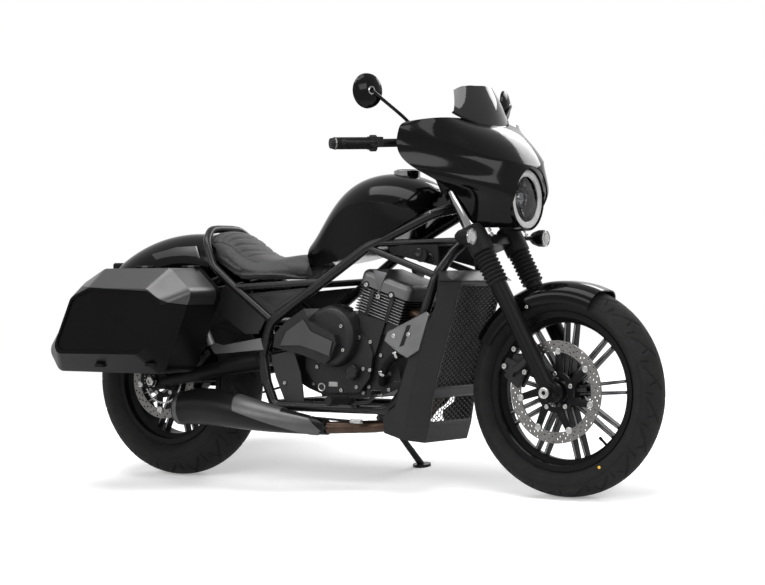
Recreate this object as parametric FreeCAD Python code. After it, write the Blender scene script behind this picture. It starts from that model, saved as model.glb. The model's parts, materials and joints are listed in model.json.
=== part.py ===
import FreeCAD, Part
import math
import os

# A touring cruiser motorcycle, in millimetres. +X is forward, +Y is the rider's left, +Z is up.
# The pieces are drawn with the machine upright. The ground then lies at height zero under the
# middle of the tyres. At the end everything is leaned to the left onto the side stand, and the
# origin is put on the ground under the middle of the whole machine.

V = FreeCAD.Vector
X_AXIS = V(1, 0, 0)
Y_AXIS = V(0, 1, 0)
Z_AXIS = V(0, 0, 1)
RIGHT = -1
LEFT = 1
SIDES = (RIGHT, LEFT)

# Whole machine
LEAN_ANGLE = 8.0
RAKE_ANGLE = 29.0
HEAD_X = 377.5
HEAD_Z = 880.0
FORK_OFFSET = 50.0
REAR_AXLE_X = -745.0
RUNNING_GAP = 0.3
OVERRUN = 20.0
BEND_ROOM_SHARE = 0.45

# Wheels and tyres
FRONT_TYRE_RADIUS = 320.0
FRONT_TYRE_WIDTH = 130.0
FRONT_CROWN_RADIUS = 75.0
FRONT_SEAT_RADIUS = 228.6
FRONT_RIM_HALF_WIDTH = 43.0
REAR_TYRE_RADIUS = 320.0
REAR_TYRE_WIDTH = 180.0
REAR_CROWN_RADIUS = 100.0
REAR_SEAT_RADIUS = 203.2
REAR_RIM_HALF_WIDTH = 66.0
TYRE_WALL = 11.0
SHOULDER_WIDTH_SHARE = 0.88
SIDEWALL_HEIGHT_SHARE = 0.52
RIM_WALL = 5.0
RIM_FLANGE_HEIGHT = 12.0
RIM_WELL_DEPTH = 17.0
BEAD_WIDTH = 14.0
SPOKE_PAIRS_COUNT = 9
SPOKE_START_ANGLE = 5.0
SPOKE_WIDTH_AT_HUB = 12.0
SPOKE_WIDTH_AT_RIM = 9.0
SPOKE_DEPTH_AT_HUB = 34.0
SPOKE_DEPTH_AT_RIM = 24.0
SPOKE_SPREAD_AT_HUB = 11.0
SPOKE_SPREAD_AT_RIM = 17.0
HUB_RADIUS = 42.0
HUB_WAIST_RADIUS = 32.0
FRONT_HUB_HALF_WIDTH = 60.0
REAR_HUB_HALF_WIDTH = 78.0
AXLE_RADIUS = 11.0

# Brake discs and calipers
FRONT_DISC_RADIUS = 154.5
FRONT_DISC_BAND = 30.0
FRONT_DISC_Y = -70.4
REAR_DISC_RADIUS = 128.0
REAR_DISC_BAND = 30.0
REAR_DISC_Y = -94.3
DISC_THICKNESS = 5.0
DISC_ARM_WIDTH = 13.0
DISC_ARMS_COUNT = 10
CARRIER_RADIUS = 62.0
CALIPER_DEPTH = 46.0
CALIPER_LENGTH = 96.0
CALIPER_HEIGHT = 52.0
CALIPER_GAP = 5.2
CALIPER_TAPER_SHARE = 0.8
CALIPER_ARM_SHARE = 0.8
FRONT_CALIPER_ANGLE = 152.0
REAR_CALIPER_ANGLE = 118.0
REAR_CALIPER_OUTSIDE = 19.0
REAR_BRACKET_WALL = 6.0

# Fork and steering head. Distances along a fork leg are measured up from the axle.
LEG_Y = 105.0
LEG_RADIUS = 26.0
LEG_BELOW_AXLE = 24.0
LEG_TOP_ALONG = 370.0
GAITER_TOP_ALONG = 476.0
COVER_TOP_ALONG = 566.0
TUBE_TOP_ALONG = 742.0
STANCHION_RADIUS = 21.5
GAITER_RADIUS = 34.0
GAITER_VALLEY_DEPTH = 7.0
GAITER_RIB_SHARE = 0.9
GAITER_RIBS_COUNT = 8
GAITER_WALL = 3.0
COVER_RADIUS = 37.0
AXLE_LUG_RADIUS = 31.0
AXLE_LUG_HALF_WIDTH = 19.0
AXLE_END_Y = 141.0
AXLE_NUT_RADIUS = 19.0
STEM_RADIUS = 15.0
HEAD_TUBE_RADIUS = 31.0
LOWER_YOKE_ALONG = 520.0
UPPER_YOKE_ALONG = 716.0
YOKE_THICKNESS = 34.0
UPPER_YOKE_THICKNESS = 26.0
YOKE_CLAMP_WALL = 12.0
YOKE_WAIST = 60.0

# Main frame
FRAME_TUBE_RADIUS = 16.0
BRACE_TUBE_RADIUS = 11.0
CROSS_TUBE_RADIUS = 14.0
FRAME_BEND_RADIUS = 70.0
FRAME_HALF_WIDTH = 150.0
FRAME_FRONT_HALF_WIDTH = 140.0
HEAD_JOINT_Y = 24.0
CRADLE_BOTTOM_Z = 254.0
PIVOT_X = -285.0
PIVOT_Z = 402.0

# Rear subframe
LOOP_TUBE_RADIUS = 13.0
STRUT_Y = 131.0
STRUT_RADIUS = 11.0
CASE_INNER_Y = 192.0
CASE_MOUNT_RADIUS = 13.0

# Swingarm, shocks, belt
ARM_Y = 137.0
ARM_HALF_THICKNESS = 17.0
ARM_FRONT_HALF_HEIGHT = 32.0
ARM_REAR_HALF_HEIGHT = 20.0
ARM_PLATE_LENGTH = 70.0
REAR_AXLE_END_Y = 162.0
SHOCK_Y = 156.0
SHOCK_TOP_X = -519.0
SHOCK_TOP_Z = 640.0
SHOCK_FOOT_X = -700.0
SHOCK_FOOT_Z = 366.0
SHOCK_EYE_RADIUS = 15.0
SHOCK_EYE_WIDTH = 26.0
SHOCK_PIN_RADIUS = 6.0
SHOCK_BODY_RADIUS = 17.0
SPRING_RADIUS = 23.0
SPRING_WIRE_RADIUS = 4.5
SPRING_TURNS_COUNT = 8
SPRING_COIL_SHARES = ((0, 0.15), (1, 0.35), (1, 0.65), (0, 0.85))
SHOCK_FOOT_EYES_SHARE = 2.5
SHOCK_NECK_SHARE = 0.9
SHOCK_NECK_FROM_SHARE = 0.6
BELT_Y = 104.5
BELT_WIDTH = 18.0
BELT_THICKNESS = 5.0
BELT_ROOM = 4.0
REAR_PULLEY_RADIUS = 104.0
FRONT_PULLEY_RADIUS = 40.0
FRONT_PULLEY_X = -178.0
FRONT_PULLEY_Z = 400.0
PULLEY_RIM_WALL = 10.0
PULLEY_ARMS_COUNT = 5


MADE = {}


def once(make):
    """Makes a piece a single time, however many neighbours ask for its shape."""
    def made():
        if make.__name__ not in MADE:
            MADE[make.__name__] = make()
        return MADE[make.__name__]

    made.__name__ = make.__name__
    made.__doc__ = make.__doc__
    return made


def lean_factor():
    """How far the leaned machine's lowest line of a crown rises, per unit of crown radius."""
    return 1 / math.cos(math.radians(LEAN_ANGLE)) - 1


FRONT_AXLE_Z = FRONT_TYRE_RADIUS + FRONT_CROWN_RADIUS * lean_factor()
REAR_AXLE_Z = REAR_TYRE_RADIUS + REAR_CROWN_RADIUS * lean_factor()
RAKE = math.radians(RAKE_ANGLE)
FORK_UP = V(-math.sin(RAKE), 0, math.cos(RAKE))
FORK_AHEAD = V(math.cos(RAKE), 0, math.sin(RAKE))
HEAD_POINT = V(HEAD_X, 0, HEAD_Z)
FORK_DROP = (HEAD_Z + FORK_OFFSET * math.sin(RAKE) - FRONT_AXLE_Z) / math.cos(RAKE)
FRONT_AXLE = HEAD_POINT + FORK_AHEAD * FORK_OFFSET - FORK_UP * FORK_DROP
REAR_AXLE = V(REAR_AXLE_X, 0, REAR_AXLE_Z)


def on_leg(along, side=0, ahead=0):
    """Point at a distance up a fork leg from the axle, or between the legs for side 0."""
    return FRONT_AXLE + FORK_UP * along + FORK_AHEAD * ahead + Y_AXIS * (LEG_Y * side)


def on_stem(along):
    """Point on the steering axis beside the same distance up the fork."""
    return on_leg(along, 0, -FORK_OFFSET)


def at_side(point, side):
    """The same point with its Y value on the given side."""
    return V(point.x, point.y * side, point.z)


def rod(start, end, radius):
    """Round bar between two points."""
    along = end - start
    return Part.makeCylinder(radius, along.Length, start, along)


def cone(start, end, radius, end_radius):
    """Round tapered bar between two points."""
    along = end - start
    return Part.makeCone(radius, end_radius, along.Length, start, along)


def cross_rod(x, z, y_from, y_to, radius):
    """Round bar across the machine."""
    low, high = min(y_from, y_to), max(y_from, y_to)
    return rod(V(x, low, z), V(x, high, z), radius)


def route_edges(points, bend_radius):
    """Straight runs joined by tangent arcs, each arc as large as its runs allow."""
    edges = []
    begin = points[0]
    for before, corner, after in zip(points, points[1:], points[2:]):
        run_in = (before - corner)
        run_out = (after - corner)
        half_turn = (math.pi - run_in.getAngle(run_out)) / 2
        reach = min(bend_radius * math.tan(half_turn), BEND_ROOM_SHARE * min(run_in.Length, run_out.Length))
        to_in = V(run_in).normalize()
        to_out = V(run_out).normalize()
        enter = corner + to_in * reach
        leave = corner + to_out * reach
        middle_way = (to_in + to_out).normalize()
        radius = reach / math.tan(half_turn)
        centre = corner + middle_way * (radius / math.cos(half_turn))
        middle = centre - middle_way * radius
        edges.append(Part.LineSegment(begin, enter).toShape())
        edges.append(Part.Arc(enter, middle, leave).toShape())
        begin = leave
    edges.append(Part.LineSegment(begin, points[-1]).toShape())
    return edges


def bent_tube(points, radius, bend_radius):
    """Round bar swept along straight runs joined by tangent arcs."""
    path = Part.Wire(route_edges(points, bend_radius))
    ring = Part.Wire([Part.makeCircle(radius, points[0], points[1] - points[0])])
    return path.makePipeShell([ring], True, True)


def fused(shapes):
    """One solid from solids that meet."""
    shapes = list(shapes)
    if len(shapes) == 1:
        return shapes[0]
    body = shapes[0].fuse(shapes[1:])
    refined = body.removeSplitter()
    return refined if refined.isValid() else body


def side_prism(outline, y_from, y_to):
    """Plate with an outline of x and z values, between two y values."""
    low, high = min(y_from, y_to), max(y_from, y_to)
    points = [V(x, low, z) for x, z in outline]
    face = Part.Face(Part.makePolygon(points + points[:1]))
    return face.extrude(V(0, high - low, 0))


def turned_about(points, centre, axis, closing=True):
    """Solid of revolution from a closed wire of points."""
    wire = Part.makePolygon(points + points[:1]) if closing else Part.Wire(points)
    return Part.Face(wire).revolve(centre, axis, 360)


def wheel_ring(section, centre):
    """Solid of revolution about a wheel's axle from y and radius values."""
    points = [V(centre.x, centre.y + y, centre.z + radius) for y, radius in section]
    return turned_about(points, centre, Y_AXIS)


def spline_edge(points):
    """Smooth curve through points."""
    curve = Part.BSplineCurve()
    curve.interpolate(points)
    return curve.toShape()


def rounded_wire(points, radius):
    """Closed polygon with a tangent arc at every corner."""
    edges = []
    arcs = []
    count = len(points)
    for index, corner in enumerate(points):
        before = points[index - 1] - corner
        after = points[(index + 1) % count] - corner
        half_turn = (math.pi - before.getAngle(after)) / 2
        reach = min(radius * math.tan(half_turn), BEND_ROOM_SHARE * min(before.Length, after.Length))
        to_before = V(before).normalize()
        to_after = V(after).normalize()
        middle_way = (to_before + to_after).normalize()
        arc_radius = reach / math.tan(half_turn)
        middle = corner + middle_way * (arc_radius / math.cos(half_turn) - arc_radius)
        arcs.append((corner + to_before * reach, middle, corner + to_after * reach))
    for index, arc in enumerate(arcs):
        edges.append(Part.Arc(*arc).toShape())
        edges.append(Part.LineSegment(arc[2], arcs[(index + 1) % count][0]).toShape())
    return Part.Wire(edges)


def loft(wires, ruled=False):
    """Solid through closed wires."""
    return Part.makeLoft(wires, True, ruled)


def scaled(shares, length, height):
    """Outline points from shares of a length and a height."""
    return [(share_x * length, share_z * height) for share_x, share_z in shares]


def placed(shares, left_x, low_z, length, height):
    """Outline points from shares, put at a corner."""
    return [(left_x + x, low_z + z) for x, z in scaled(shares, length, height)]


def both_sides(make):
    """Pieces made for the right and the left side, kept apart."""
    return Part.makeCompound([make(side) for side in SIDES])


# Tyres

def tyre(axle, radius, width, crown_radius, seat_radius, rim_half_width):
    """Hollow tyre: round crown, bulging sidewalls and two beads seated on the rim."""
    bead_y = rim_half_width - RIM_WALL - RUNNING_GAP
    bead_radius = seat_radius + RUNNING_GAP
    shoulder_y = width / 2 * SHOULDER_WIDTH_SHARE
    shoulder_drop = crown_radius - math.sqrt(crown_radius ** 2 - shoulder_y ** 2)
    shoulder_radius = radius - shoulder_drop
    lip_radius = seat_radius + RIM_FLANGE_HEIGHT + RIM_WALL / 2
    wide_radius = lip_radius + (shoulder_radius - lip_radius) * SIDEWALL_HEIGHT_SHARE

    def at(y, r):
        return axle + V(0, y, r)

    def arc(first, second, third):
        return Part.Arc(at(*first), at(*second), at(*third)).toShape()

    def line(first, second):
        return Part.LineSegment(at(*first), at(*second)).toShape()

    inner_shoulder_y = shoulder_y - TYRE_WALL
    inner_shoulder = shoulder_radius - TYRE_WALL / 2
    inner_crown = radius - TYRE_WALL
    inner_bead_y = bead_y - BEAD_WIDTH
    edges = [
        line((bead_y, bead_radius), (bead_y, lip_radius)),
        arc((bead_y, lip_radius), (width / 2, wide_radius), (shoulder_y, shoulder_radius)),
        arc((shoulder_y, shoulder_radius), (0, radius), (-shoulder_y, shoulder_radius)),
        arc((-shoulder_y, shoulder_radius), (-width / 2, wide_radius), (-bead_y, lip_radius)),
        line((-bead_y, lip_radius), (-bead_y, bead_radius)),
        line((-bead_y, bead_radius), (-inner_bead_y, bead_radius)),
        line((-inner_bead_y, bead_radius), (-inner_shoulder_y, inner_shoulder)),
        arc((-inner_shoulder_y, inner_shoulder), (0, inner_crown), (inner_shoulder_y, inner_shoulder)),
        line((inner_shoulder_y, inner_shoulder), (inner_bead_y, bead_radius)),
        line((inner_bead_y, bead_radius), (bead_y, bead_radius)),
    ]
    return Part.Face(Part.Wire(edges)).revolve(axle, Y_AXIS, 360)


@once
def front_tyre():
    """Front tyre."""
    return tyre(FRONT_AXLE, FRONT_TYRE_RADIUS, FRONT_TYRE_WIDTH, FRONT_CROWN_RADIUS,
                FRONT_SEAT_RADIUS, FRONT_RIM_HALF_WIDTH)


@once
def rear_tyre():
    """Rear tyre."""
    return tyre(REAR_AXLE, REAR_TYRE_RADIUS, REAR_TYRE_WIDTH, REAR_CROWN_RADIUS,
                REAR_SEAT_RADIUS, REAR_RIM_HALF_WIDTH)


# Rims

def rim_barrel(axle, seat_radius, half_width):
    """Rim with two flanges, bead seats and a drop well."""
    flange = seat_radius + RIM_FLANGE_HEIGHT
    well = seat_radius - RIM_WELL_DEPTH
    seat_y = half_width - RIM_WALL - BEAD_WIDTH - RIM_WALL
    well_y = seat_y - RIM_WELL_DEPTH / 2
    outside = [
        (half_width, flange), (half_width - RIM_WALL, flange), (half_width - RIM_WALL, seat_radius),
        (seat_y, seat_radius), (well_y, well),
    ]
    inside = [
        (well_y - RIM_WALL / 2, well - RIM_WALL), (seat_y, seat_radius - RIM_WALL),
        (half_width, seat_radius - RIM_WALL),
    ]
    right_outside = [(-y, r) for y, r in reversed(outside)]
    right_inside = [(-y, r) for y, r in reversed(inside)]
    return wheel_ring(outside + right_outside + right_inside + inside, axle)


def spoke_bar(axle, angle, shift_sign, hub_radius, outer_radius):
    """One bar of a twin-bar spoke, tapering from the hub to the rim."""
    turn = math.radians(angle)
    outward = V(math.cos(turn), 0, math.sin(turn))
    across = V(-math.sin(turn), 0, math.cos(turn))

    def section(reach, shift, width, depth):
        middle = axle + outward * reach + across * (shift * shift_sign)
        corners = [
            middle + across * (width / 2) + Y_AXIS * (depth / 2),
            middle - across * (width / 2) + Y_AXIS * (depth / 2),
            middle - across * (width / 2) - Y_AXIS * (depth / 2),
            middle + across * (width / 2) - Y_AXIS * (depth / 2),
        ]
        return Part.makePolygon(corners + corners[:1])

    at_hub = section(hub_radius, SPOKE_SPREAD_AT_HUB, SPOKE_WIDTH_AT_HUB, SPOKE_DEPTH_AT_HUB)
    at_rim = section(outer_radius, SPOKE_SPREAD_AT_RIM, SPOKE_WIDTH_AT_RIM, SPOKE_DEPTH_AT_RIM)
    return loft([at_hub, at_rim], True)


def cast_wheel(axle, seat_radius, half_width, hub_half_width):
    """Cast wheel: rim, hub and twin-bar spokes."""
    well = seat_radius - RIM_WELL_DEPTH
    hub = wheel_ring([
        (-hub_half_width, 0), (-hub_half_width, HUB_WAIST_RADIUS),
        (-SPOKE_DEPTH_AT_HUB, HUB_WAIST_RADIUS), (-SPOKE_DEPTH_AT_HUB / 2, HUB_RADIUS),
        (SPOKE_DEPTH_AT_HUB / 2, HUB_RADIUS), (SPOKE_DEPTH_AT_HUB, HUB_WAIST_RADIUS),
        (hub_half_width, HUB_WAIST_RADIUS), (hub_half_width, 0),
    ], axle)
    bars = []
    for pair in range(SPOKE_PAIRS_COUNT):
        angle = SPOKE_START_ANGLE + 360 / SPOKE_PAIRS_COUNT * pair
        for shift_sign in (-1, 1):
            reach = well - RIM_WALL / 2
            bars.append(spoke_bar(axle, angle, shift_sign, HUB_WAIST_RADIUS, reach))
    body = fused([rim_barrel(axle, seat_radius, half_width), hub] + bars)
    bore = cross_rod(axle.x, axle.z, -hub_half_width - OVERRUN, hub_half_width + OVERRUN,
                     AXLE_RADIUS + RUNNING_GAP)
    return body.cut(bore)


@once
def front_rim():
    """Front wheel casting."""
    return cast_wheel(FRONT_AXLE, FRONT_SEAT_RADIUS, FRONT_RIM_HALF_WIDTH, FRONT_HUB_HALF_WIDTH)


@once
def rear_rim():
    """Rear wheel casting."""
    return cast_wheel(REAR_AXLE, REAR_SEAT_RADIUS, REAR_RIM_HALF_WIDTH, REAR_HUB_HALF_WIDTH)


# Brake discs

def brake_disc(axle, radius, band, disc_y, hub_half_width):
    """Disc band on arms from a carrier that is seated on the hub's end."""
    half = DISC_THICKNESS / 2
    ring = wheel_ring([
        (disc_y - half, radius - band), (disc_y - half, radius),
        (disc_y + half, radius), (disc_y + half, radius - band),
    ], axle)
    carrier = wheel_ring([
        (disc_y - half, HUB_WAIST_RADIUS), (disc_y - half, CARRIER_RADIUS),
        (-hub_half_width + DISC_THICKNESS, CARRIER_RADIUS),
        (-hub_half_width + DISC_THICKNESS, HUB_WAIST_RADIUS),
    ], axle)
    arms = []
    for index in range(DISC_ARMS_COUNT):
        turn = 2 * math.pi * index / DISC_ARMS_COUNT
        outward = V(math.cos(turn), 0, math.sin(turn))
        across = V(-math.sin(turn), 0, math.cos(turn)) * (DISC_ARM_WIDTH / 2)
        near = axle + outward * (CARRIER_RADIUS - DISC_THICKNESS) + V(0, disc_y - half, 0)
        far = axle + outward * (radius - band + DISC_THICKNESS) + V(0, disc_y - half, 0)
        corners = [near + across, far + across, far - across, near - across]
        face = Part.Face(Part.makePolygon(corners + corners[:1]))
        arms.append(face.extrude(V(0, DISC_THICKNESS, 0)))
    return fused([ring, carrier] + arms)


@once
def front_disc():
    """Front brake disc, on the right of its hub."""
    return brake_disc(FRONT_AXLE, FRONT_DISC_RADIUS, FRONT_DISC_BAND, FRONT_DISC_Y,
                      FRONT_HUB_HALF_WIDTH)


@once
def rear_disc():
    """Rear brake disc, on the right of its hub."""
    return brake_disc(REAR_AXLE, REAR_DISC_RADIUS, REAR_DISC_BAND, REAR_DISC_Y,
                      REAR_HUB_HALF_WIDTH)


# Pulleys and belt

def pulley(centre, radius, bore_radius):
    """Belt pulley with a rim, five arms and a hub."""
    low = BELT_Y - BELT_WIDTH / 2
    rim = rod(centre + V(0, low, 0), centre + V(0, low + BELT_WIDTH, 0), radius)
    rim = rim.cut(rod(centre + V(0, low - OVERRUN, 0), centre + V(0, low + BELT_WIDTH + OVERRUN, 0),
                      radius - PULLEY_RIM_WALL))
    hub_radius = max(HUB_WAIST_RADIUS + PULLEY_RIM_WALL, bore_radius + PULLEY_RIM_WALL)
    hub = rod(centre + V(0, low, 0), centre + V(0, low + BELT_WIDTH, 0), hub_radius)
    arms = []
    for index in range(PULLEY_ARMS_COUNT):
        turn = 2 * math.pi * index / PULLEY_ARMS_COUNT
        outward = V(math.cos(turn), 0, math.sin(turn))
        across = V(-math.sin(turn), 0, math.cos(turn)) * PULLEY_RIM_WALL
        near = centre + outward * (hub_radius / 2) + V(0, low, 0)
        far = centre + outward * (radius - PULLEY_RIM_WALL / 2) + V(0, low, 0)
        corners = [near + across, far + across, far - across, near - across]
        face = Part.Face(Part.makePolygon(corners + corners[:1]))
        arms.append(face.extrude(V(0, BELT_WIDTH - PULLEY_RIM_WALL, 0)))
    body = fused([rim, hub] + arms)
    return body.cut(rod(centre + V(0, low - OVERRUN, 0), centre + V(0, low + BELT_WIDTH + OVERRUN, 0),
                        bore_radius))


@once
def rear_pulley():
    """Rear pulley, seated on the wheel's hub and reaching in to its end."""
    low = BELT_Y - BELT_WIDTH / 2
    body = pulley(REAR_AXLE, REAR_PULLEY_RADIUS, HUB_WAIST_RADIUS)
    sleeve = cross_rod(REAR_AXLE.x, REAR_AXLE.z, REAR_HUB_HALF_WIDTH - PULLEY_RIM_WALL, low,
                       HUB_WAIST_RADIUS + PULLEY_RIM_WALL)
    sleeve = sleeve.cut(cross_rod(REAR_AXLE.x, REAR_AXLE.z, 0, low + OVERRUN, HUB_WAIST_RADIUS))
    return fused([body, sleeve])


@once
def drive_belt():
    """Toothed belt as one fixed loop, with the front pulley inside its front bend."""
    front = V(FRONT_PULLEY_X, 0, FRONT_PULLEY_Z)
    rear = REAR_AXLE
    low = BELT_Y - BELT_WIDTH / 2
    span = front - rear
    tilt = math.atan2(span.z, span.x)

    def loop(rear_radius, front_radius):
        swing = math.asin((rear_radius - front_radius) / span.Length)
        edges = []
        ends = {}
        for sign in (1, -1):
            normal_angle = tilt + sign * (math.pi / 2 - swing)
            normal = V(math.cos(normal_angle), 0, math.sin(normal_angle))
            ends[sign] = (rear + normal * rear_radius, front + normal * front_radius)
        ahead = V(math.cos(tilt), 0, math.sin(tilt))
        edges.append(Part.LineSegment(ends[1][0], ends[1][1]).toShape())
        edges.append(Part.Arc(ends[1][1], front + ahead * front_radius, ends[-1][1]).toShape())
        edges.append(Part.LineSegment(ends[-1][1], ends[-1][0]).toShape())
        edges.append(Part.Arc(ends[-1][0], rear - ahead * rear_radius, ends[1][0]).toShape())
        face = Part.Face(Part.Wire(edges))
        face.translate(V(0, low, 0))
        return face.extrude(V(0, BELT_WIDTH, 0))

    inner_rear = REAR_PULLEY_RADIUS + RUNNING_GAP
    inner_front = FRONT_PULLEY_RADIUS
    outer = loop(inner_rear + BELT_THICKNESS, inner_front + BELT_THICKNESS)
    ring = outer.cut(loop(inner_rear, inner_front))
    drum = rod(front + V(0, CASE_HALF_WIDTH, 0), front + V(0, low + BELT_WIDTH, 0), FRONT_PULLEY_RADIUS)
    return fused([ring, drum])


# Fork

@once
def fork_legs():
    """Two fork legs with their tubes, the axle between them and its nut."""
    pieces = []
    for side in SIDES:
        leg = rod(on_leg(-LEG_BELOW_AXLE, side), on_leg(LEG_TOP_ALONG, side), LEG_RADIUS)
        tube = rod(on_leg(LEG_TOP_ALONG - OVERRUN, side), on_leg(TUBE_TOP_ALONG, side), STANCHION_RADIUS)
        lug = cross_rod(FRONT_AXLE.x, FRONT_AXLE.z, side * (LEG_Y - AXLE_LUG_HALF_WIDTH),
                        side * (LEG_Y + AXLE_LUG_HALF_WIDTH), AXLE_LUG_RADIUS)
        sleeve = cross_rod(FRONT_AXLE.x, FRONT_AXLE.z, side * (FRONT_HUB_HALF_WIDTH + RUNNING_GAP),
                           side * AXLE_END_Y, AXLE_NUT_RADIUS)
        pieces += [leg, tube, lug, sleeve]
    pieces.append(cross_rod(FRONT_AXLE.x, FRONT_AXLE.z, -LEG_Y, LEG_Y, AXLE_RADIUS))
    return fused(pieces)


def along_leg_ring(section, side):
    """Solid of revolution about a fork leg from radius and distance values."""
    points = [on_leg(along, side, radius) for radius, along in section]
    return turned_about(points, on_leg(0, side), FORK_UP)


@once
def fork_gaiters():
    """Ribbed gaiters and the smooth covers above them."""
    bottom = LEG_TOP_ALONG + RUNNING_GAP
    pitch = (GAITER_TOP_ALONG - bottom) / GAITER_RIBS_COUNT

    def one(side):
        outside = [(STANCHION_RADIUS, bottom), (GAITER_RADIUS - GAITER_VALLEY_DEPTH, bottom)]
        for rib in range(GAITER_RIBS_COUNT):
            begin = bottom + rib * pitch
            outside.append((GAITER_RADIUS, begin + pitch / 3))
            outside.append((GAITER_RADIUS, begin + pitch / 2))
            outside.append((GAITER_RADIUS - GAITER_VALLEY_DEPTH, begin + pitch * GAITER_RIB_SHARE))
        outside.append((COVER_RADIUS, GAITER_TOP_ALONG + GAITER_WALL))
        outside.append((COVER_RADIUS, COVER_TOP_ALONG - GAITER_WALL))
        outside.append((COVER_RADIUS - GAITER_WALL, COVER_TOP_ALONG))
        outside.append((STANCHION_RADIUS, COVER_TOP_ALONG))
        body = along_leg_ring(outside, side)
        return body.cut(yoke_block(LOWER_YOKE_ALONG, YOKE_THICKNESS))

    return both_sides(one)


def yoke_block(along, thickness):
    """Plate across both fork legs and the stem, with rounded clamps at the legs."""
    base = along - thickness / 2
    centre = on_leg(base, 0)
    pieces = []
    for side in SIDES:
        pieces.append(rod(on_leg(base, side), on_leg(base + thickness, side),
                          STANCHION_RADIUS + YOKE_CLAMP_WALL))
    front = YOKE_CLAMP_WALL
    corners = [
        centre + FORK_AHEAD * front + Y_AXIS * LEG_Y,
        centre + FORK_AHEAD * front - Y_AXIS * LEG_Y,
        centre - FORK_AHEAD * (FORK_OFFSET + YOKE_CLAMP_WALL + STEM_RADIUS) - Y_AXIS * (YOKE_WAIST / 2),
        centre - FORK_AHEAD * (FORK_OFFSET + YOKE_CLAMP_WALL + STEM_RADIUS) + Y_AXIS * (YOKE_WAIST / 2),
    ]
    face = Part.Face(Part.makePolygon(corners + corners[:1]))
    pieces.append(face.extrude(FORK_UP * thickness))
    return fused(pieces)


def stanchions(extra=0):
    """The two fork tubes, as far as the yokes and covers grip them."""
    return [rod(on_leg(LEG_TOP_ALONG - OVERRUN, side), on_leg(TUBE_TOP_ALONG + extra, side),
                STANCHION_RADIUS) for side in SIDES]


@once
def yokes():
    """Lower and upper yoke, joined by the steering stem."""
    lower = yoke_block(LOWER_YOKE_ALONG, YOKE_THICKNESS)
    upper = yoke_block(UPPER_YOKE_ALONG, UPPER_YOKE_THICKNESS)
    stem = rod(on_stem(LOWER_YOKE_ALONG), on_stem(UPPER_YOKE_ALONG + YOKE_THICKNESS), STEM_RADIUS)
    risers = [rod(on_stem(UPPER_YOKE_ALONG) + Y_AXIS * (RISER_Y * side),
                  BAR_CLAMP + Y_AXIS * (RISER_Y * side), RISER_RADIUS) for side in SIDES]
    clamps = [cross_rod(BAR_CLAMP.x, BAR_CLAMP.z, side * (RISER_Y - RISER_RADIUS),
                        side * (RISER_Y + RISER_RADIUS), RISER_RADIUS) for side in SIDES]
    body = fused([lower, upper, stem] + risers + clamps)
    return body.cut(stanchions(OVERRUN)).cut(handlebar())


# Handlebar, controls, mirrors

BAR_RADIUS = 12.7
RISER_Y = 55.0
RISER_RADIUS = 18.0
BAR_CLAMP_X = 292.0
BAR_CLAMP_Z = 1048.0
BAR_CLAMP = V(BAR_CLAMP_X, 0, BAR_CLAMP_Z)
BAR_BEND_RADIUS = 60.0
GRIP_RADIUS = 17.0
GRIP_LENGTH = 112.0
BAR_END_RADIUS = 19.0
BAR_END_TIP_SHARE = 0.8
BAR_MIDDLE_SHARE = 0.6
BAR_END_LENGTH = 16.0
BAR_TIP_X = 199.0
BAR_TIP_Y = 440.0
BAR_TIP_Z = 1065.0
BAR_TIP = V(BAR_TIP_X, BAR_TIP_Y, BAR_TIP_Z)
BAR_GRIP_START_X = 276.0
BAR_GRIP_START_Y = 336.0
BAR_GRIP_START_Z = 1068.0
BAR_GRIP_START = V(BAR_GRIP_START_X, BAR_GRIP_START_Y, BAR_GRIP_START_Z)
BAR_ELBOW_X = 336.0
BAR_ELBOW_Y = 250.0
BAR_ELBOW_Z = 1072.0
BAR_ELBOW = V(BAR_ELBOW_X, BAR_ELBOW_Y, BAR_ELBOW_Z)
BAR_SHOULDER_X = 318.0
BAR_SHOULDER_Y = 110.0
BAR_SHOULDER_Z = 1056.0
BAR_SHOULDER = V(BAR_SHOULDER_X, BAR_SHOULDER_Y, BAR_SHOULDER_Z)
SWITCH_RADIUS = 25.0
SWITCH_LENGTH = 46.0
MIRROR_RADIUS = 53.0
MIRROR_DEPTH = 26.0
MIRROR_CENTRE_X = 294.0
MIRROR_CENTRE_Y = 400.0
MIRROR_CENTRE_Z = 1221.0
MIRROR_CENTRE = V(MIRROR_CENTRE_X, MIRROR_CENTRE_Y, MIRROR_CENTRE_Z)
MIRROR_STEM_BEND_X = 356.0
MIRROR_STEM_BEND_Y = 268.0
MIRROR_STEM_BEND_Z = 1130.0
MIRROR_STEM_BEND = V(MIRROR_STEM_BEND_X, MIRROR_STEM_BEND_Y, MIRROR_STEM_BEND_Z)
MIRROR_STEM_RADIUS = 5.5
MIRROR_ROOT_SHARE = 0.6
LEVER_BALL_RADIUS = 8.0
LEVER_THICKNESS = 8.0
LEVER_REACH = 62.0
LEVER_BEND_SHARE = 1.05
MASTER_RADIUS = 19.0
MASTER_HEIGHT = 34.0


def bar_points():
    """Corner points of the handlebar from the right tip to the left tip."""
    middle = BAR_CLAMP + Y_AXIS * (RISER_Y * BAR_MIDDLE_SHARE)
    half = [BAR_TIP, BAR_GRIP_START, BAR_ELBOW, BAR_SHOULDER, middle]
    right = [at_side(point, RIGHT) for point in half]
    return right + list(reversed(half))


@once
def handlebar():
    """Pull-back handlebar of round tube."""
    return bent_tube(bar_points(), BAR_RADIUS, BAR_BEND_RADIUS)


def grip_line(side):
    """Unit vector along a grip towards its tip."""
    way = at_side(BAR_TIP, side) - at_side(BAR_GRIP_START, side)
    return way.normalize()


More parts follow.
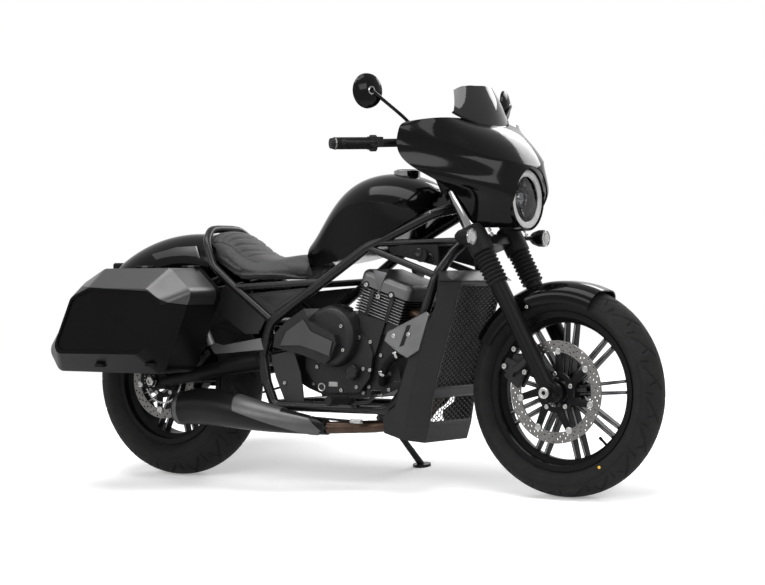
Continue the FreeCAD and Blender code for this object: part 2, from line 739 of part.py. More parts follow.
@once
def controls():
    """Grips, bar ends, switch housings, master cylinders and levers."""
    def one(side):
        tip = at_side(BAR_TIP, side)
        way = grip_line(side)
        grip_in = tip - way * GRIP_LENGTH
        grip = rod(grip_in, tip, GRIP_RADIUS)
        end = cone(tip, tip + way * BAR_END_LENGTH, BAR_END_RADIUS, BAR_END_RADIUS * BAR_END_TIP_SHARE)
        housing = rod(grip_in - way * (SWITCH_LENGTH / 3), grip_in, SWITCH_RADIUS)
        forward = way.cross(Z_AXIS).normalize() * (-side)
        if forward.x < 0:
            forward = forward * -1
        master_at = grip_in - way * (SWITCH_LENGTH / 4) + forward * (SWITCH_RADIUS)
        master = rod(master_at - Z_AXIS * (MASTER_HEIGHT / 3), master_at + Z_AXIS * (MASTER_HEIGHT / 2),
                     MASTER_RADIUS)
        pivot = master_at + forward * (MASTER_RADIUS / 2)
        lever_end = tip - way * (BAR_END_LENGTH / 2) + forward * LEVER_REACH
        bend = grip_in + way * (GRIP_LENGTH / 4) + forward * (LEVER_REACH * LEVER_BEND_SHARE)
        lever = bent_tube([pivot, bend, lever_end], LEVER_THICKNESS / 2, LEVER_REACH)
        ball = Part.makeSphere(LEVER_BALL_RADIUS, lever_end)
        return fused([grip, end, housing, master, lever, ball])

    pair = [one(side).cut(handlebar()) for side in SIDES]
    return Part.makeCompound(pair)


MIRROR_SHARES = [(0.50, 0.00), (0.50, 0.96), (0.38, 1.00), (0.12, 0.97), (-0.22, 0.74), (-0.44, 0.38),
                 (-0.50, 0.00)]


@once
def mirrors():
    """Round mirrors on bent stems that rise from the bar."""
    def one(side):
        centre = at_side(MIRROR_CENTRE, side)
        bend = at_side(MIRROR_STEM_BEND, side)
        on_bar = BAR_SHOULDER + (BAR_ELBOW - BAR_SHOULDER) * MIRROR_ROOT_SHARE
        foot = at_side(on_bar, side) + Z_AXIS * BAR_RADIUS
        facing = V(-1, 0, 0)
        profile = [centre + facing * (MIRROR_DEPTH * along) + Z_AXIS * (MIRROR_RADIUS * reach)
                   for along, reach in MIRROR_SHARES]
        shell = turned_about(profile, centre, facing)
        stem = bent_tube([foot - Z_AXIS * (BAR_RADIUS / 3), bend, centre - facing * (MIRROR_DEPTH / 4)],
                         MIRROR_STEM_RADIUS, MIRROR_RADIUS)
        return fused([shell, stem]).cut(handlebar())

    return both_sides(one)


# Front fender

FENDER_GAP = 9.0
FENDER_WALL = 4.0
FENDER_SIDE_GAP = 7.0
FENDER_SIDE_DROP = 62.0
FENDER_FRONT_ANGLE = 66.0
FENDER_REAR_ANGLE = 150.0
FENDER_STAY_WIDTH = 40.0
FENDER_CROWN_SHARES = [(0.93, 0.28), (0.55, 0.04)]


def fender_arch(axle, inner_radius, half_width, drop, wall, from_angle, to_angle):
    """Arched fender: a crowned section turned about a point over part of a circle."""
    def arch(radius, half, low):
        crown = [(half * across, radius - half * below) for across, below in FENDER_CROWN_SHARES]
        points = [(-half, low)] + [(-y, r) for y, r in crown] + [(0, radius)] + crown[::-1] + [(half, low)]
        return [V(axle.x + r, axle.y + y, axle.z) for y, r in points]

    low = inner_radius - drop
    outer_points = arch(inner_radius + wall, half_width + wall, low)
    inner_points = arch(inner_radius, half_width, low)
    outer = Part.BSplineCurve()
    outer.interpolate(outer_points)
    inner = Part.BSplineCurve()
    inner.interpolate(inner_points)
    wire = Part.Wire([outer.toShape(), Part.makeLine(outer_points[-1], inner_points[-1]),
                      inner.toShape(), Part.makeLine(inner_points[0], outer_points[0])])
    face = Part.Face(wire)
    face.rotate(axle, Y_AXIS, -from_angle)
    return face.revolve(axle, Y_AXIS, -(to_angle - from_angle))


@once
def front_fender():
    """Short front fender on two stays that are bolted to the fork legs."""
    inner_radius = FRONT_TYRE_RADIUS + FENDER_GAP
    half_width = FRONT_TYRE_WIDTH / 2 + FENDER_SIDE_GAP
    arch = fender_arch(FRONT_AXLE, inner_radius, half_width, FENDER_SIDE_DROP, FENDER_WALL,
                       FENDER_FRONT_ANGLE, FENDER_REAR_ANGLE)
    stays = []
    for side in SIDES:
        seat = side * (half_width + FENDER_WALL)
        leg_side = side * (LEG_Y - LEG_RADIUS)
        along = inner_radius - FENDER_SIDE_DROP / 2
        middle = on_leg(along)
        half = FENDER_STAY_WIDTH / 2
        block = [(middle.x - half, middle.z - half), (middle.x + half, middle.z - half),
                 (middle.x + half, middle.z + half), (middle.x - half, middle.z + half)]
        stays.append(side_prism(block, seat - side * FENDER_WALL, leg_side + side * LEG_RADIUS))
    body = fused([arch] + stays)
    legs = [rod(on_leg(-LEG_BELOW_AXLE, side), on_leg(LEG_TOP_ALONG, side), LEG_RADIUS) for side in SIDES]
    return body.cut(legs)


# Front caliper

def caliper(axle, disc_radius, disc_y, angle, hanger_y, hanger_to):
    """Brake caliper that straddles its disc, with a hanger to what carries it."""
    turn = math.radians(angle)
    outward = V(math.cos(turn), 0, math.sin(turn))
    across = V(-math.sin(turn), 0, math.cos(turn))
    reach = disc_radius - CALIPER_HEIGHT / 3

    def block(low, high, length, y_from, y_to):
        narrow = length / 2 * CALIPER_TAPER_SHARE
        corners = [outward * low + across * (length / 2), outward * high + across * narrow,
                   outward * high - across * narrow, outward * low - across * (length / 2)]
        points = [(axle.x + c.x, axle.z + c.z) for c in corners]
        return side_prism(points, y_from, y_to)

    body = block(reach - CALIPER_HEIGHT / 2, reach + CALIPER_HEIGHT / 2 + CALIPER_GAP, CALIPER_LENGTH,
                 disc_y - CALIPER_DEPTH / 2, disc_y + CALIPER_DEPTH / 2)
    half_slot = DISC_THICKNESS / 2 + CALIPER_GAP
    slot = wheel_ring([(disc_y - half_slot, 0), (disc_y - half_slot, disc_radius + CALIPER_GAP),
                       (disc_y + half_slot, disc_radius + CALIPER_GAP), (disc_y + half_slot, 0)], axle)
    hanger = block(reach, disc_radius + CALIPER_HEIGHT / 2, CALIPER_LENGTH / 2,
                   disc_y - CALIPER_DEPTH / 2, hanger_y)
    arm = rod(V(axle.x, hanger_y, axle.z) + outward * reach, hanger_to, CALIPER_DEPTH / 4)
    return fused([body, hanger, arm]).cut(slot)


@once
def front_caliper():
    """Caliper behind the right fork leg."""
    grip = on_leg(FRONT_DISC_RADIUS * CALIPER_ARM_SHARE, RIGHT) - Y_AXIS * (LEG_RADIUS / 4)
    body = caliper(FRONT_AXLE, FRONT_DISC_RADIUS, FRONT_DISC_Y, FRONT_CALIPER_ANGLE,
                   -LEG_Y, grip)
    return body.cut(rod(on_leg(-LEG_BELOW_AXLE, RIGHT), on_leg(LEG_TOP_ALONG, RIGHT), LEG_RADIUS))


# Headlight

LAMP_CENTRE_X = 587.0
LAMP_CENTRE_Z = 902.0
LAMP_CENTRE = V(LAMP_CENTRE_X, 0, LAMP_CENTRE_Z)
LAMP_BEZEL_RADIUS = 97.0
LAMP_RING_RADIUS = 84.0
LAMP_RING_WIDTH = 18.0
LAMP_RIM_DEPTH = 26.0
LAMP_BODY_DEPTH = 70.0
LAMP_LENS_RADIUS = 40.0


@once
def headlight():
    """Round headlight: bowl, deep bezel, raised light ring and domed lens."""
    centre = LAMP_CENTRE
    section = [
        (-LAMP_BODY_DEPTH, 0), (-LAMP_BODY_DEPTH, LAMP_LENS_RADIUS), (-LAMP_RIM_DEPTH, LAMP_BEZEL_RADIUS),
        (LAMP_RIM_DEPTH, LAMP_BEZEL_RADIUS), (LAMP_RIM_DEPTH, LAMP_BEZEL_RADIUS - FENDER_WALL),
        (0, LAMP_RING_RADIUS), (0, LAMP_RING_RADIUS - LAMP_RING_WIDTH),
        (-LAMP_RIM_DEPTH / 2, LAMP_LENS_RADIUS + FENDER_WALL), (-LAMP_RIM_DEPTH / 2, LAMP_LENS_RADIUS),
        (0, LAMP_LENS_RADIUS * 0.7), (LAMP_RIM_DEPTH / 4, 0),
    ]
    points = [centre + V(x, 0, r) for x, r in section]
    return turned_about(points, centre, X_AXIS)


# Fairing: tilted crescents from the chin to the crease, and from the crease to the roof

FAIRING_WALL = 5.0
FAIRING_HALF_SPAN = 335.0
FAIRING_HEIGHT = 330.0
FAIRING_CHIN_Z = 815.0
FAIRING_TIP_X = 358.0
FAIRING_DEPTH = 280.0
FAIRING_TIP_INSET_SHARE = 0.4
FAIRING_LOWER_SHARES = [
    # nose reach and height, tip reach and height, half span, shoulder reach, cheek reach
    (0.860, 0.000, 0.525, 0.000, 0.30, 0.58, 0.94), (0.940, 0.110, 0.446, 0.172, 0.46, 0.56, 0.92),
    (0.985, 0.225, 0.378, 0.350, 0.67, 0.52, 0.89), (0.995, 0.360, 0.171, 0.525, 0.95, 0.46, 0.86),
    (0.985, 0.480, 0.000, 0.670, 1.00, 0.42, 0.84), (0.950, 0.585, -0.008, 0.900, 0.99, 0.40, 0.85),
]
FAIRING_UPPER_SHARES = [
    FAIRING_LOWER_SHARES[-1], (0.730, 0.815, 0.004, 0.935, 0.965, 0.46, 0.84),
    (0.350, 1.010, 0.036, 0.960, 0.91, 0.82, 0.96),
]
CRESCENT_Y_SHARES = (1.00, 0.74, 0.42, 0.16)
CRESCENT_TIP_REACH_SHARE = 0.985


def fairing_crescent(nose, nose_height, tip, tip_height, span, shoulder, cheek):
    """Closed crescent wire in the plane through one nose point and both tips."""
    half = span * FAIRING_HALF_SPAN
    nose_x = FAIRING_TIP_X + nose * FAIRING_DEPTH
    tip_x = FAIRING_TIP_X + tip * FAIRING_DEPTH
    nose_z = FAIRING_CHIN_Z + nose_height * FAIRING_HEIGHT
    tip_z = FAIRING_CHIN_Z + tip_height * FAIRING_HEIGHT
    slope = (nose_z - tip_z) / (nose_x - tip_x)

    def curve(nose_at, tip_at, half_at):
        reaches = (0, shoulder, cheek, CRESCENT_TIP_REACH_SHARE)
        right = []
        for y_share, reach in zip(CRESCENT_Y_SHARES, reaches):
            x = tip_at + (nose_at - tip_at) * reach
            right.append(V(x, -half_at * y_share, nose_z + (x - nose_x) * slope))
        middle = [V(nose_at, 0, nose_z + (nose_at - nose_x) * slope)]
        points = right + middle + [at_side(point, -1) for point in reversed(right)]
        return spline_edge(points), points[0], points[-1]

    wall = FAIRING_WALL
    outer, outer_right, outer_left = curve(nose_x, tip_x, half)
    inner, inner_right, inner_left = curve(nose_x - wall, tip_x - wall * FAIRING_TIP_INSET_SHARE, half - wall)
    return Part.Wire([outer, Part.makeLine(outer_left, inner_left), inner,
                      Part.makeLine(inner_right, outer_right)])


@once
def fairing():
    """Batwing fairing shell with a crease from its tips to the headlight's opening."""
    lower = loft([fairing_crescent(*row) for row in FAIRING_LOWER_SHARES])
    upper = loft([fairing_crescent(*row) for row in FAIRING_UPPER_SHARES])
    mouth = rod(LAMP_CENTRE - X_AXIS * LAMP_BODY_DEPTH, LAMP_CENTRE + X_AXIS * (LAMP_BEZEL_RADIUS * 2),
                LAMP_BEZEL_RADIUS + RUNNING_GAP)
    return largest(fused([lower, upper]).cut([mouth, fork_gaiters(), yokes()]))


# Windscreen

SCREEN_WALL = 4.0
SCREEN_TOP_CENTRE_X = 400.0
SCREEN_TOP_CENTRE_Z = 1251.0
SCREEN_TOP_CENTRE = V(SCREEN_TOP_CENTRE_X, 0, SCREEN_TOP_CENTRE_Z)
SCREEN_TOP_CORNER_X = 352.0
SCREEN_TOP_CORNER_Y = 92.0
SCREEN_TOP_CORNER_Z = 1244.0
SCREEN_TOP_CORNER = V(SCREEN_TOP_CORNER_X, SCREEN_TOP_CORNER_Y, SCREEN_TOP_CORNER_Z)
SCREEN_FOOT_CENTRE_X = 500.0
SCREEN_FOOT_CENTRE_Z = 1116.0
SCREEN_FOOT_CENTRE = V(SCREEN_FOOT_CENTRE_X, 0, SCREEN_FOOT_CENTRE_Z)
SCREEN_FOOT_CORNER_X = 442.0
SCREEN_FOOT_CORNER_Y = 152.0
SCREEN_FOOT_CORNER_Z = 1143.0
SCREEN_FOOT_CORNER = V(SCREEN_FOOT_CORNER_X, SCREEN_FOOT_CORNER_Y, SCREEN_FOOT_CORNER_Z)


@once
def windscreen():
    """Short curved screen that stands on the fairing's roof."""
    def arc_wire(centre, corner):
        outer = Part.Arc(at_side(corner, RIGHT), centre, corner).toShape()
        middle = V(corner.x, 0, corner.z)
        back = (middle - centre).normalize() * SCREEN_WALL
        inner = Part.Arc(corner + back, centre + back, at_side(corner, RIGHT) + back).toShape()
        return Part.Wire([outer, Part.makeLine(corner, corner + back), inner,
                          Part.makeLine(at_side(corner, RIGHT) + back, at_side(corner, RIGHT))])

    screen = loft([arc_wire(SCREEN_FOOT_CENTRE, SCREEN_FOOT_CORNER),
                   arc_wire(SCREEN_TOP_CENTRE, SCREEN_TOP_CORNER)], True)
    return largest(screen.cut(fairing()))


# Front indicators

INDICATOR_CENTRE_X = 514.0
INDICATOR_CENTRE_Y = 222.0
INDICATOR_CENTRE_Z = 786.0
INDICATOR_CENTRE = V(INDICATOR_CENTRE_X, INDICATOR_CENTRE_Y, INDICATOR_CENTRE_Z)
INDICATOR_RADIUS = 27.0
INDICATOR_LENGTH = 58.0
INDICATOR_STALK_RADIUS = 7.0
LAMP_SHARES = [(0.5, 0.0), (0.5, 0.9), (0.42, 1.0), (0.1, 0.98), (-0.25, 0.72), (-0.45, 0.35), (-0.5, 0.0)]


def bullet_lamp(centre, facing, length, radius, stalk_to):
    """Bullet-shaped lamp with a stalk."""
    points = [centre + facing * (length * along) + Z_AXIS * (radius * out) for along, out in LAMP_SHARES]
    body = turned_about(points, centre, facing)
    stalk = rod(centre, stalk_to, INDICATOR_STALK_RADIUS)
    return fused([body, stalk])


@once
def front_indicators():
    """Bullet indicators on stalks from the fork covers."""
    def one(side):
        centre = at_side(INDICATOR_CENTRE, side)
        root = on_leg((INDICATOR_CENTRE.z - FRONT_AXLE.z) / math.cos(RAKE), side)
        lamp = bullet_lamp(centre, X_AXIS, INDICATOR_LENGTH, INDICATOR_RADIUS, root)
        grip = rod(on_leg(LEG_TOP_ALONG, side), on_leg(TUBE_TOP_ALONG, side), COVER_RADIUS)
        return lamp.cut(grip)

    return both_sides(one)


# Instrument

GAUGE_CENTRE_X = 352.0
GAUGE_CENTRE_Z = 1088.0
GAUGE_CENTRE = V(GAUGE_CENTRE_X, 0, GAUGE_CENTRE_Z)
GAUGE_RADIUS = 52.0
GAUGE_DEPTH = 34.0
GAUGE_TILT_SHARE = 0.5


@once
def instrument():
    """Round instrument on a stay from the upper yoke."""
    facing = (Z_AXIS * GAUGE_TILT_SHARE - X_AXIS).normalize()
    body = rod(GAUGE_CENTRE - facing * GAUGE_DEPTH, GAUGE_CENTRE, GAUGE_RADIUS)
    stay = rod(on_leg(UPPER_YOKE_ALONG + UPPER_YOKE_THICKNESS / 2), GAUGE_CENTRE - facing * (GAUGE_DEPTH / 2),
               BAR_RADIUS)
    return fused([body, stay]).cut([yokes(), handlebar()])


# Frame

FRAME_LENGTH = 700.0
FRAME_HEIGHT = 900.0
FRAME_ROUTE_SHARES = [
    (0.460, 0.560, 0.958), (0.134, 0.800, 0.841), (-0.367, 1.000, 0.579), (-0.413, 1.000, 0.464),
    (-0.390, 1.000, 0.363), (-0.345, 1.000, 0.284), (-0.285, 1.000, 0.282), (0.283, 0.933, 0.282),
    (0.346, 0.933, 0.344), (0.467, 0.933, 0.627), (0.512, 0.860, 0.744), (0.552, 0.500, 0.824),
]
LOOP_ROUTE_SHARES = [
    (-0.367, 0.973, 0.586), (-0.577, 0.973, 0.702), (-0.709, 0.953, 0.780), (-0.767, 0.853, 0.871),
    (-0.794, 0.533, 0.912), (-0.797, 0.250, 0.916), (-0.797, 0.000, 0.916),
]
SEAT_RAIL_SHARES = [(-0.577, 0.973, 0.702), (-0.099, 0.893, 0.722)]
UPPER_BRACE_SHARES = [(0.574, 0.380, 0.862), (0.200, 0.770, 0.856)]
LOWER_BRACE_SHARES = [(0.507, 0.890, 0.745), (0.140, 0.800, 0.842)]
STRUT_ROUTE_SHARES = [(-0.643, 0.955, 0.742), (-0.730, 0.873, 0.722), (-1.171, 0.873, 0.667)]
CASE_MOUNT_X_SHARES = (-0.857, -1.129)
CASE_MOUNT_Z_SHARE = 0.680
CROSS_TUBE_SHARES = [(-0.367, 0.579), (-0.366, 0.522), (-0.340, 0.288), (0.304, 0.366)]
HANGER_PLATE_SHARES = [(0.296, 0.352), (0.352, 0.352), (0.368, 0.380), (0.296, 0.380)]
HANGER_PLATE_THICKNESS = 10.0
HEAD_TUBE_LOW_ALONG = 541.0
HEAD_TUBE_HIGH_ALONG = 698.0
PIVOT_TUBE_RADIUS = 24.0
PIVOT_TUBE_HALF_WIDTH = 128.0


def frame_point(share_x, share_y, share_z, side):
    """Point of the frame from shares of its length, half width and height."""
    return V(share_x * FRAME_LENGTH, share_y * FRAME_HALF_WIDTH * side, share_z * FRAME_HEIGHT)


def frame_route(shares, side):
    """Points of a frame tube on one side."""
    return [frame_point(*share, side) for share in shares]


def cradle_tube(side, extra=0):
    """One side's tube: from the head's top round under the engine to the head's foot."""
    points = [on_stem(HEAD_TUBE_HIGH_ALONG - HEAD_TUBE_RADIUS) + Y_AXIS * (HEAD_JOINT_Y * side)]
    points += frame_route(FRAME_ROUTE_SHARES, side)
    points += [on_stem(HEAD_TUBE_LOW_ALONG + HEAD_TUBE_RADIUS) + Y_AXIS * (HEAD_JOINT_Y * side)]
    return bent_tube(points, FRAME_TUBE_RADIUS + extra, FRAME_BEND_RADIUS)


@once
def main_frame():
    """Double cradle of round tube with the head tube, braces and cross tubes."""
    pieces = [rod(on_stem(HEAD_TUBE_LOW_ALONG), on_stem(HEAD_TUBE_HIGH_ALONG), HEAD_TUBE_RADIUS)]
    for side in SIDES:
        pieces.append(cradle_tube(side))
        pieces.append(bent_tube(frame_route(UPPER_BRACE_SHARES, side), BRACE_TUBE_RADIUS, FRAME_BEND_RADIUS))
        pieces.append(bent_tube(frame_route(LOWER_BRACE_SHARES, side), BRACE_TUBE_RADIUS, FRAME_BEND_RADIUS))
        boss_from = PIVOT_TUBE_HALF_WIDTH + RUNNING_GAP
        pieces.append(cross_rod(PIVOT_X, PIVOT_Z, side * boss_from, side * FRAME_HALF_WIDTH,
                                PIVOT_TUBE_RADIUS))
        plate = scaled(HANGER_PLATE_SHARES, FRAME_LENGTH, FRAME_HEIGHT)
        pieces.append(side_prism(plate, side * (FRAME_FRONT_HALF_WIDTH - HANGER_PLATE_THICKNESS / 2),
                                 side * (FRAME_FRONT_HALF_WIDTH + HANGER_PLATE_THICKNESS / 2)))
    for share_x, share_z in CROSS_TUBE_SHARES:
        pieces.append(cross_rod(share_x * FRAME_LENGTH, share_z * FRAME_HEIGHT, -FRAME_FRONT_HALF_WIDTH,
                                FRAME_FRONT_HALF_WIDTH, CROSS_TUBE_RADIUS))
    pieces.append(stand_bracket())
    body = fused(pieces)
    return body.cut(rod(on_stem(HEAD_TUBE_LOW_ALONG - OVERRUN), on_stem(HEAD_TUBE_HIGH_ALONG + OVERRUN),
                        STEM_RADIUS + RUNNING_GAP))


@once
def rear_subframe():
    """Seat loop, seat rails and the struts that carry the fender and the side cases."""
    pieces = []
    loop_right = frame_route(LOOP_ROUTE_SHARES, RIGHT)
    loop_left = frame_route(LOOP_ROUTE_SHARES[:-1], LEFT)
    pieces.append(bent_tube(loop_right[:-1] + list(reversed(loop_left)), LOOP_TUBE_RADIUS, FRAME_BEND_RADIUS))
    for side in SIDES:
        pieces.append(bent_tube(frame_route(SEAT_RAIL_SHARES, side), BRACE_TUBE_RADIUS, FRAME_BEND_RADIUS))
        strut = frame_route(STRUT_ROUTE_SHARES, side)
        pieces.append(bent_tube(strut, STRUT_RADIUS, FRAME_BEND_RADIUS))
        pieces.append(cross_rod(SHOCK_TOP_X, SHOCK_TOP_Z, side * STRUT_Y,
                                side * (SHOCK_Y + SHOCK_EYE_WIDTH / 2), SHOCK_PIN_RADIUS))
        for share_x in CASE_MOUNT_X_SHARES:
            pieces.append(cross_rod(share_x * FRAME_LENGTH, CASE_MOUNT_Z_SHARE * FRAME_HEIGHT,
                                    side * (FENDER_HALF_WIDTH + FENDER_WALL), side * CASE_INNER_Y,
                                    CASE_MOUNT_RADIUS))
    return fused(pieces).cut(main_frame())


# Swingarm and shocks

def oval_wire(centre, half_y, half_z):
    """Upright oval across the machine."""
    if half_z > half_y:
        ring = Part.Ellipse(centre + V(0, 0, half_z), centre + V(0, half_y, 0), centre)
    else:
        ring = Part.Ellipse(centre + V(0, half_y, 0), centre + V(0, 0, half_z), centre)
    return Part.Wire([ring.toShape()])


ARM_FRONT_Y = 110.0
ARM_PLATE_HALF_HEIGHT = 27.0
ARM_PLATE_HALF_THICKNESS = 12.0
ARM_BRACE_RADIUS = 17.0
ARM_BRACE_SHARE = 0.20
ARM_ROUTE_SHARES = [
    # along, outward, slimming
    (0.00, 0.00, 0.00), (0.12, 0.08, 0.10), (0.42, 1.00, 0.45), (1.00, 1.00, 1.00),
]


def arm_point(along, outward, side):
    """Point on an arm's centre line from shares of its length and of its outward step."""
    end_x = REAR_AXLE.x + ARM_PLATE_LENGTH / 2
    return V(PIVOT_X + (end_x - PIVOT_X) * along, (ARM_FRONT_Y + (ARM_Y - ARM_FRONT_Y) * outward) * side,
             PIVOT_Z + (REAR_AXLE.z - PIVOT_Z) * along)


@once
def swingarm():
    """Two tapering arms on a pivot tube, with a brace, end plates and the rear axle."""
    side = RIGHT
    wires = []
    for along, outward, slimming in ARM_ROUTE_SHARES:
        half_height = ARM_FRONT_HALF_HEIGHT + (ARM_REAR_HALF_HEIGHT - ARM_FRONT_HALF_HEIGHT) * slimming
        wires.append(oval_wire(arm_point(along, outward, side), ARM_HALF_THICKNESS, half_height))
    brace = arm_point(ARM_BRACE_SHARE, 0, side)
    half = ARM_PLATE_LENGTH / 2
    rear_x = REAR_AXLE.x - half
    front_x = REAR_AXLE.x + half * 1.5
    low = REAR_AXLE.z - ARM_PLATE_HALF_HEIGHT
    high = REAR_AXLE.z + ARM_PLATE_HALF_HEIGHT
    plate = [(rear_x, low), (front_x, low), (front_x, high), (rear_x, high)]
    lug = [(SHOCK_FOOT_X - SHOCK_EYE_RADIUS, REAR_AXLE.z), (SHOCK_FOOT_X + SHOCK_EYE_RADIUS * 2, REAR_AXLE.z),
           (SHOCK_FOOT_X + SHOCK_EYE_RADIUS, SHOCK_FOOT_Z + SHOCK_EYE_RADIUS * 0.8),
           (SHOCK_FOOT_X - SHOCK_EYE_RADIUS, SHOCK_FOOT_Z + SHOCK_EYE_RADIUS * 0.8)]
    half_arm = fused([
        loft(wires, True),
        cross_rod(PIVOT_X, PIVOT_Z, 0, side * PIVOT_TUBE_HALF_WIDTH, PIVOT_TUBE_RADIUS),
        cross_rod(brace.x, brace.z, 0, side * (ARM_FRONT_Y + ARM_HALF_THICKNESS / 3), ARM_BRACE_RADIUS),
        side_prism(plate, side * (ARM_Y - ARM_PLATE_HALF_THICKNESS), side * (ARM_Y + ARM_PLATE_HALF_THICKNESS)),
        cross_rod(REAR_AXLE.x, REAR_AXLE.z, side * (REAR_HUB_HALF_WIDTH + RUNNING_GAP), side * REAR_AXLE_END_Y,
                  AXLE_NUT_RADIUS),
        cross_rod(REAR_AXLE.x, REAR_AXLE.z, 0, side * ARM_Y, AXLE_RADIUS),
        side_prism(lug, side * (ARM_Y - ARM_HALF_THICKNESS / 2), side * (SHOCK_Y - SHOCK_EYE_WIDTH / 2)),
        cross_rod(SHOCK_FOOT_X, SHOCK_FOOT_Z, side * ARM_Y, side * (SHOCK_Y + SHOCK_EYE_WIDTH / 2),
                  SHOCK_PIN_RADIUS),
    ])
    return fused([half_arm, half_arm.mirror(V(0, 0, 0), Y_AXIS)])


@once
def shocks():
    """Two spring units with eyes on the frame's and the swingarm's pins."""
    def one(side):
        top = V(SHOCK_TOP_X, SHOCK_Y * side, SHOCK_TOP_Z)
        foot = V(SHOCK_FOOT_X, SHOCK_Y * side, SHOCK_FOOT_Z)
        way = foot - top
        length = way.Length
        unit = V(way).normalize()
        across = unit.cross(Y_AXIS)
        half_eye = SHOCK_EYE_WIDTH / 2
        pieces = []
        for centre in (top, foot):
            pieces.append(rod(centre - Y_AXIS * half_eye, centre + Y_AXIS * half_eye, SHOCK_EYE_RADIUS))
        spring_from = SHOCK_EYE_RADIUS * 2
        spring_to = length - SHOCK_EYE_RADIUS * SHOCK_FOOT_EYES_SHARE
        pitch = (spring_to - spring_from) / SPRING_TURNS_COUNT
        valley = SPRING_RADIUS - SPRING_WIRE_RADIUS
        neck = min(SHOCK_BODY_RADIUS, half_eye * SHOCK_NECK_SHARE)
        neck_from = SHOCK_EYE_RADIUS * SHOCK_NECK_FROM_SHARE
        section = [(0, neck_from), (neck, neck_from), (neck, spring_from - pitch / 3),
                   (SPRING_RADIUS + SPRING_WIRE_RADIUS, spring_from - pitch / 3),
                   (SPRING_RADIUS + SPRING_WIRE_RADIUS, spring_from)]
        for turn in range(SPRING_TURNS_COUNT):
            begin = spring_from + turn * pitch
            section += [(SPRING_RADIUS if high else valley, begin + pitch * share)
                        for high, share in SPRING_COIL_SHARES]
        section += [(SPRING_RADIUS + SPRING_WIRE_RADIUS, spring_to),
                    (SPRING_RADIUS + SPRING_WIRE_RADIUS, spring_to + pitch / 3),
                    (neck, spring_to + pitch / 3), (neck, length - neck_from), (0, length - neck_from)]
        points = [top + unit * along + across * radius for radius, along in section]
        pieces.append(turned_about(points, top, unit))
        body = fused(pieces)
        for centre in (top, foot):
            body = body.cut(rod(centre - Y_AXIS * SHOCK_EYE_WIDTH, centre + Y_AXIS * SHOCK_EYE_WIDTH,
                                SHOCK_PIN_RADIUS))
        return largest(body.cut([rear_subframe(), swingarm()]))

    return both_sides(one)


@once
def rear_caliper():
    """Caliper over the rear disc, on a bracket that reaches the arm's end plate."""
    turn = math.radians(REAR_CALIPER_ANGLE)
    outward = V(math.cos(turn), 0, math.sin(turn))
    across = V(-math.sin(turn), 0, math.cos(turn))
    outer_y = REAR_DISC_Y - REAR_CALIPER_OUTSIDE
    inner_y = REAR_DISC_Y + CALIPER_DEPTH / 2

    def block(low, high, length, y_from, y_to):
        narrow = length / 2 * CALIPER_TAPER_SHARE
        corners = [outward * low + across * (length / 2), outward * high + across * narrow,
                   outward * high - across * narrow, outward * low - across * (length / 2)]
        return side_prism([(REAR_AXLE.x + c.x, REAR_AXLE.z + c.z) for c in corners], y_from, y_to)

    reach = REAR_DISC_RADIUS - CALIPER_HEIGHT / 3
    body = block(reach - CALIPER_HEIGHT / 2, reach + CALIPER_HEIGHT / 2, CALIPER_LENGTH, outer_y, inner_y)
    half_slot = DISC_THICKNESS / 2 + CALIPER_GAP
    slot = wheel_ring([(REAR_DISC_Y - half_slot, 0), (REAR_DISC_Y - half_slot, REAR_DISC_RADIUS + CALIPER_GAP),
                       (REAR_DISC_Y + half_slot, REAR_DISC_RADIUS + CALIPER_GAP), (REAR_DISC_Y + half_slot, 0)],
                      REAR_AXLE)
    bracket = block(AXLE_NUT_RADIUS, reach, CALIPER_LENGTH / 2, outer_y, outer_y + REAR_BRACKET_WALL)
    return fused([body.cut(slot), bracket]).cut(swingarm())


# Rear fender, lamp and plate

FENDER_HALF_WIDTH = 104.0
REAR_FENDER_TOP_X = -640.0
REAR_FENDER_TOP_Z = 810.0
REAR_FENDER_RADIUS = 560.0
REAR_FENDER_FROM_ANGLE = 76.0
REAR_FENDER_TO_ANGLE = 133.0
REAR_FENDER_DROP = 150.0


def fender_centre():
    """Centre that the rear fender's crown is turned about."""
    return V(REAR_FENDER_TOP_X, 0, REAR_FENDER_TOP_Z - REAR_FENDER_RADIUS)


@once
def rear_fender():
    """Deep rear fender, turned about its own centre below the crown."""
    body = fender_arch(fender_centre(), REAR_FENDER_RADIUS - FENDER_WALL, FENDER_HALF_WIDTH, REAR_FENDER_DROP,
                       FENDER_WALL, REAR_FENDER_FROM_ANGLE, REAR_FENDER_TO_ANGLE)
    return body.cut(rear_subframe())


TAIL_LIGHT_WIDTH = 120.0
TAIL_LIGHT_HEIGHT = 34.0
TAIL_LIGHT_DEPTH = 22.0
TAIL_LIGHT_ANGLE_UP = 6.0
PLATE_WIDTH = 180.0
PLATE_HEIGHT = 110.0
PLATE_HOLE_SPACING = 146.0
PLATE_HOLE_RADIUS = 3.5
PLATE_HOLE_DROP = 14.0
PLATE_CARRIER_THICKNESS = 8.0
PLATE_NECK_HEIGHT_SHARE = 1.6
PLATE_NECK_DROP_SHARE = 1.4
REAR_LAMP_Y = 130.0
REAR_LAMP_RADIUS = 20.0
REAR_LAMP_LENGTH = 44.0
REAR_LAMP_DROP_SHARE = 1.6


def fender_tail(radius, angle):
    """Point on the rear fender's crown line."""
    turn = math.radians(angle)
    return fender_centre() + V(-math.cos(math.pi - turn), 0, math.sin(turn)) * radius


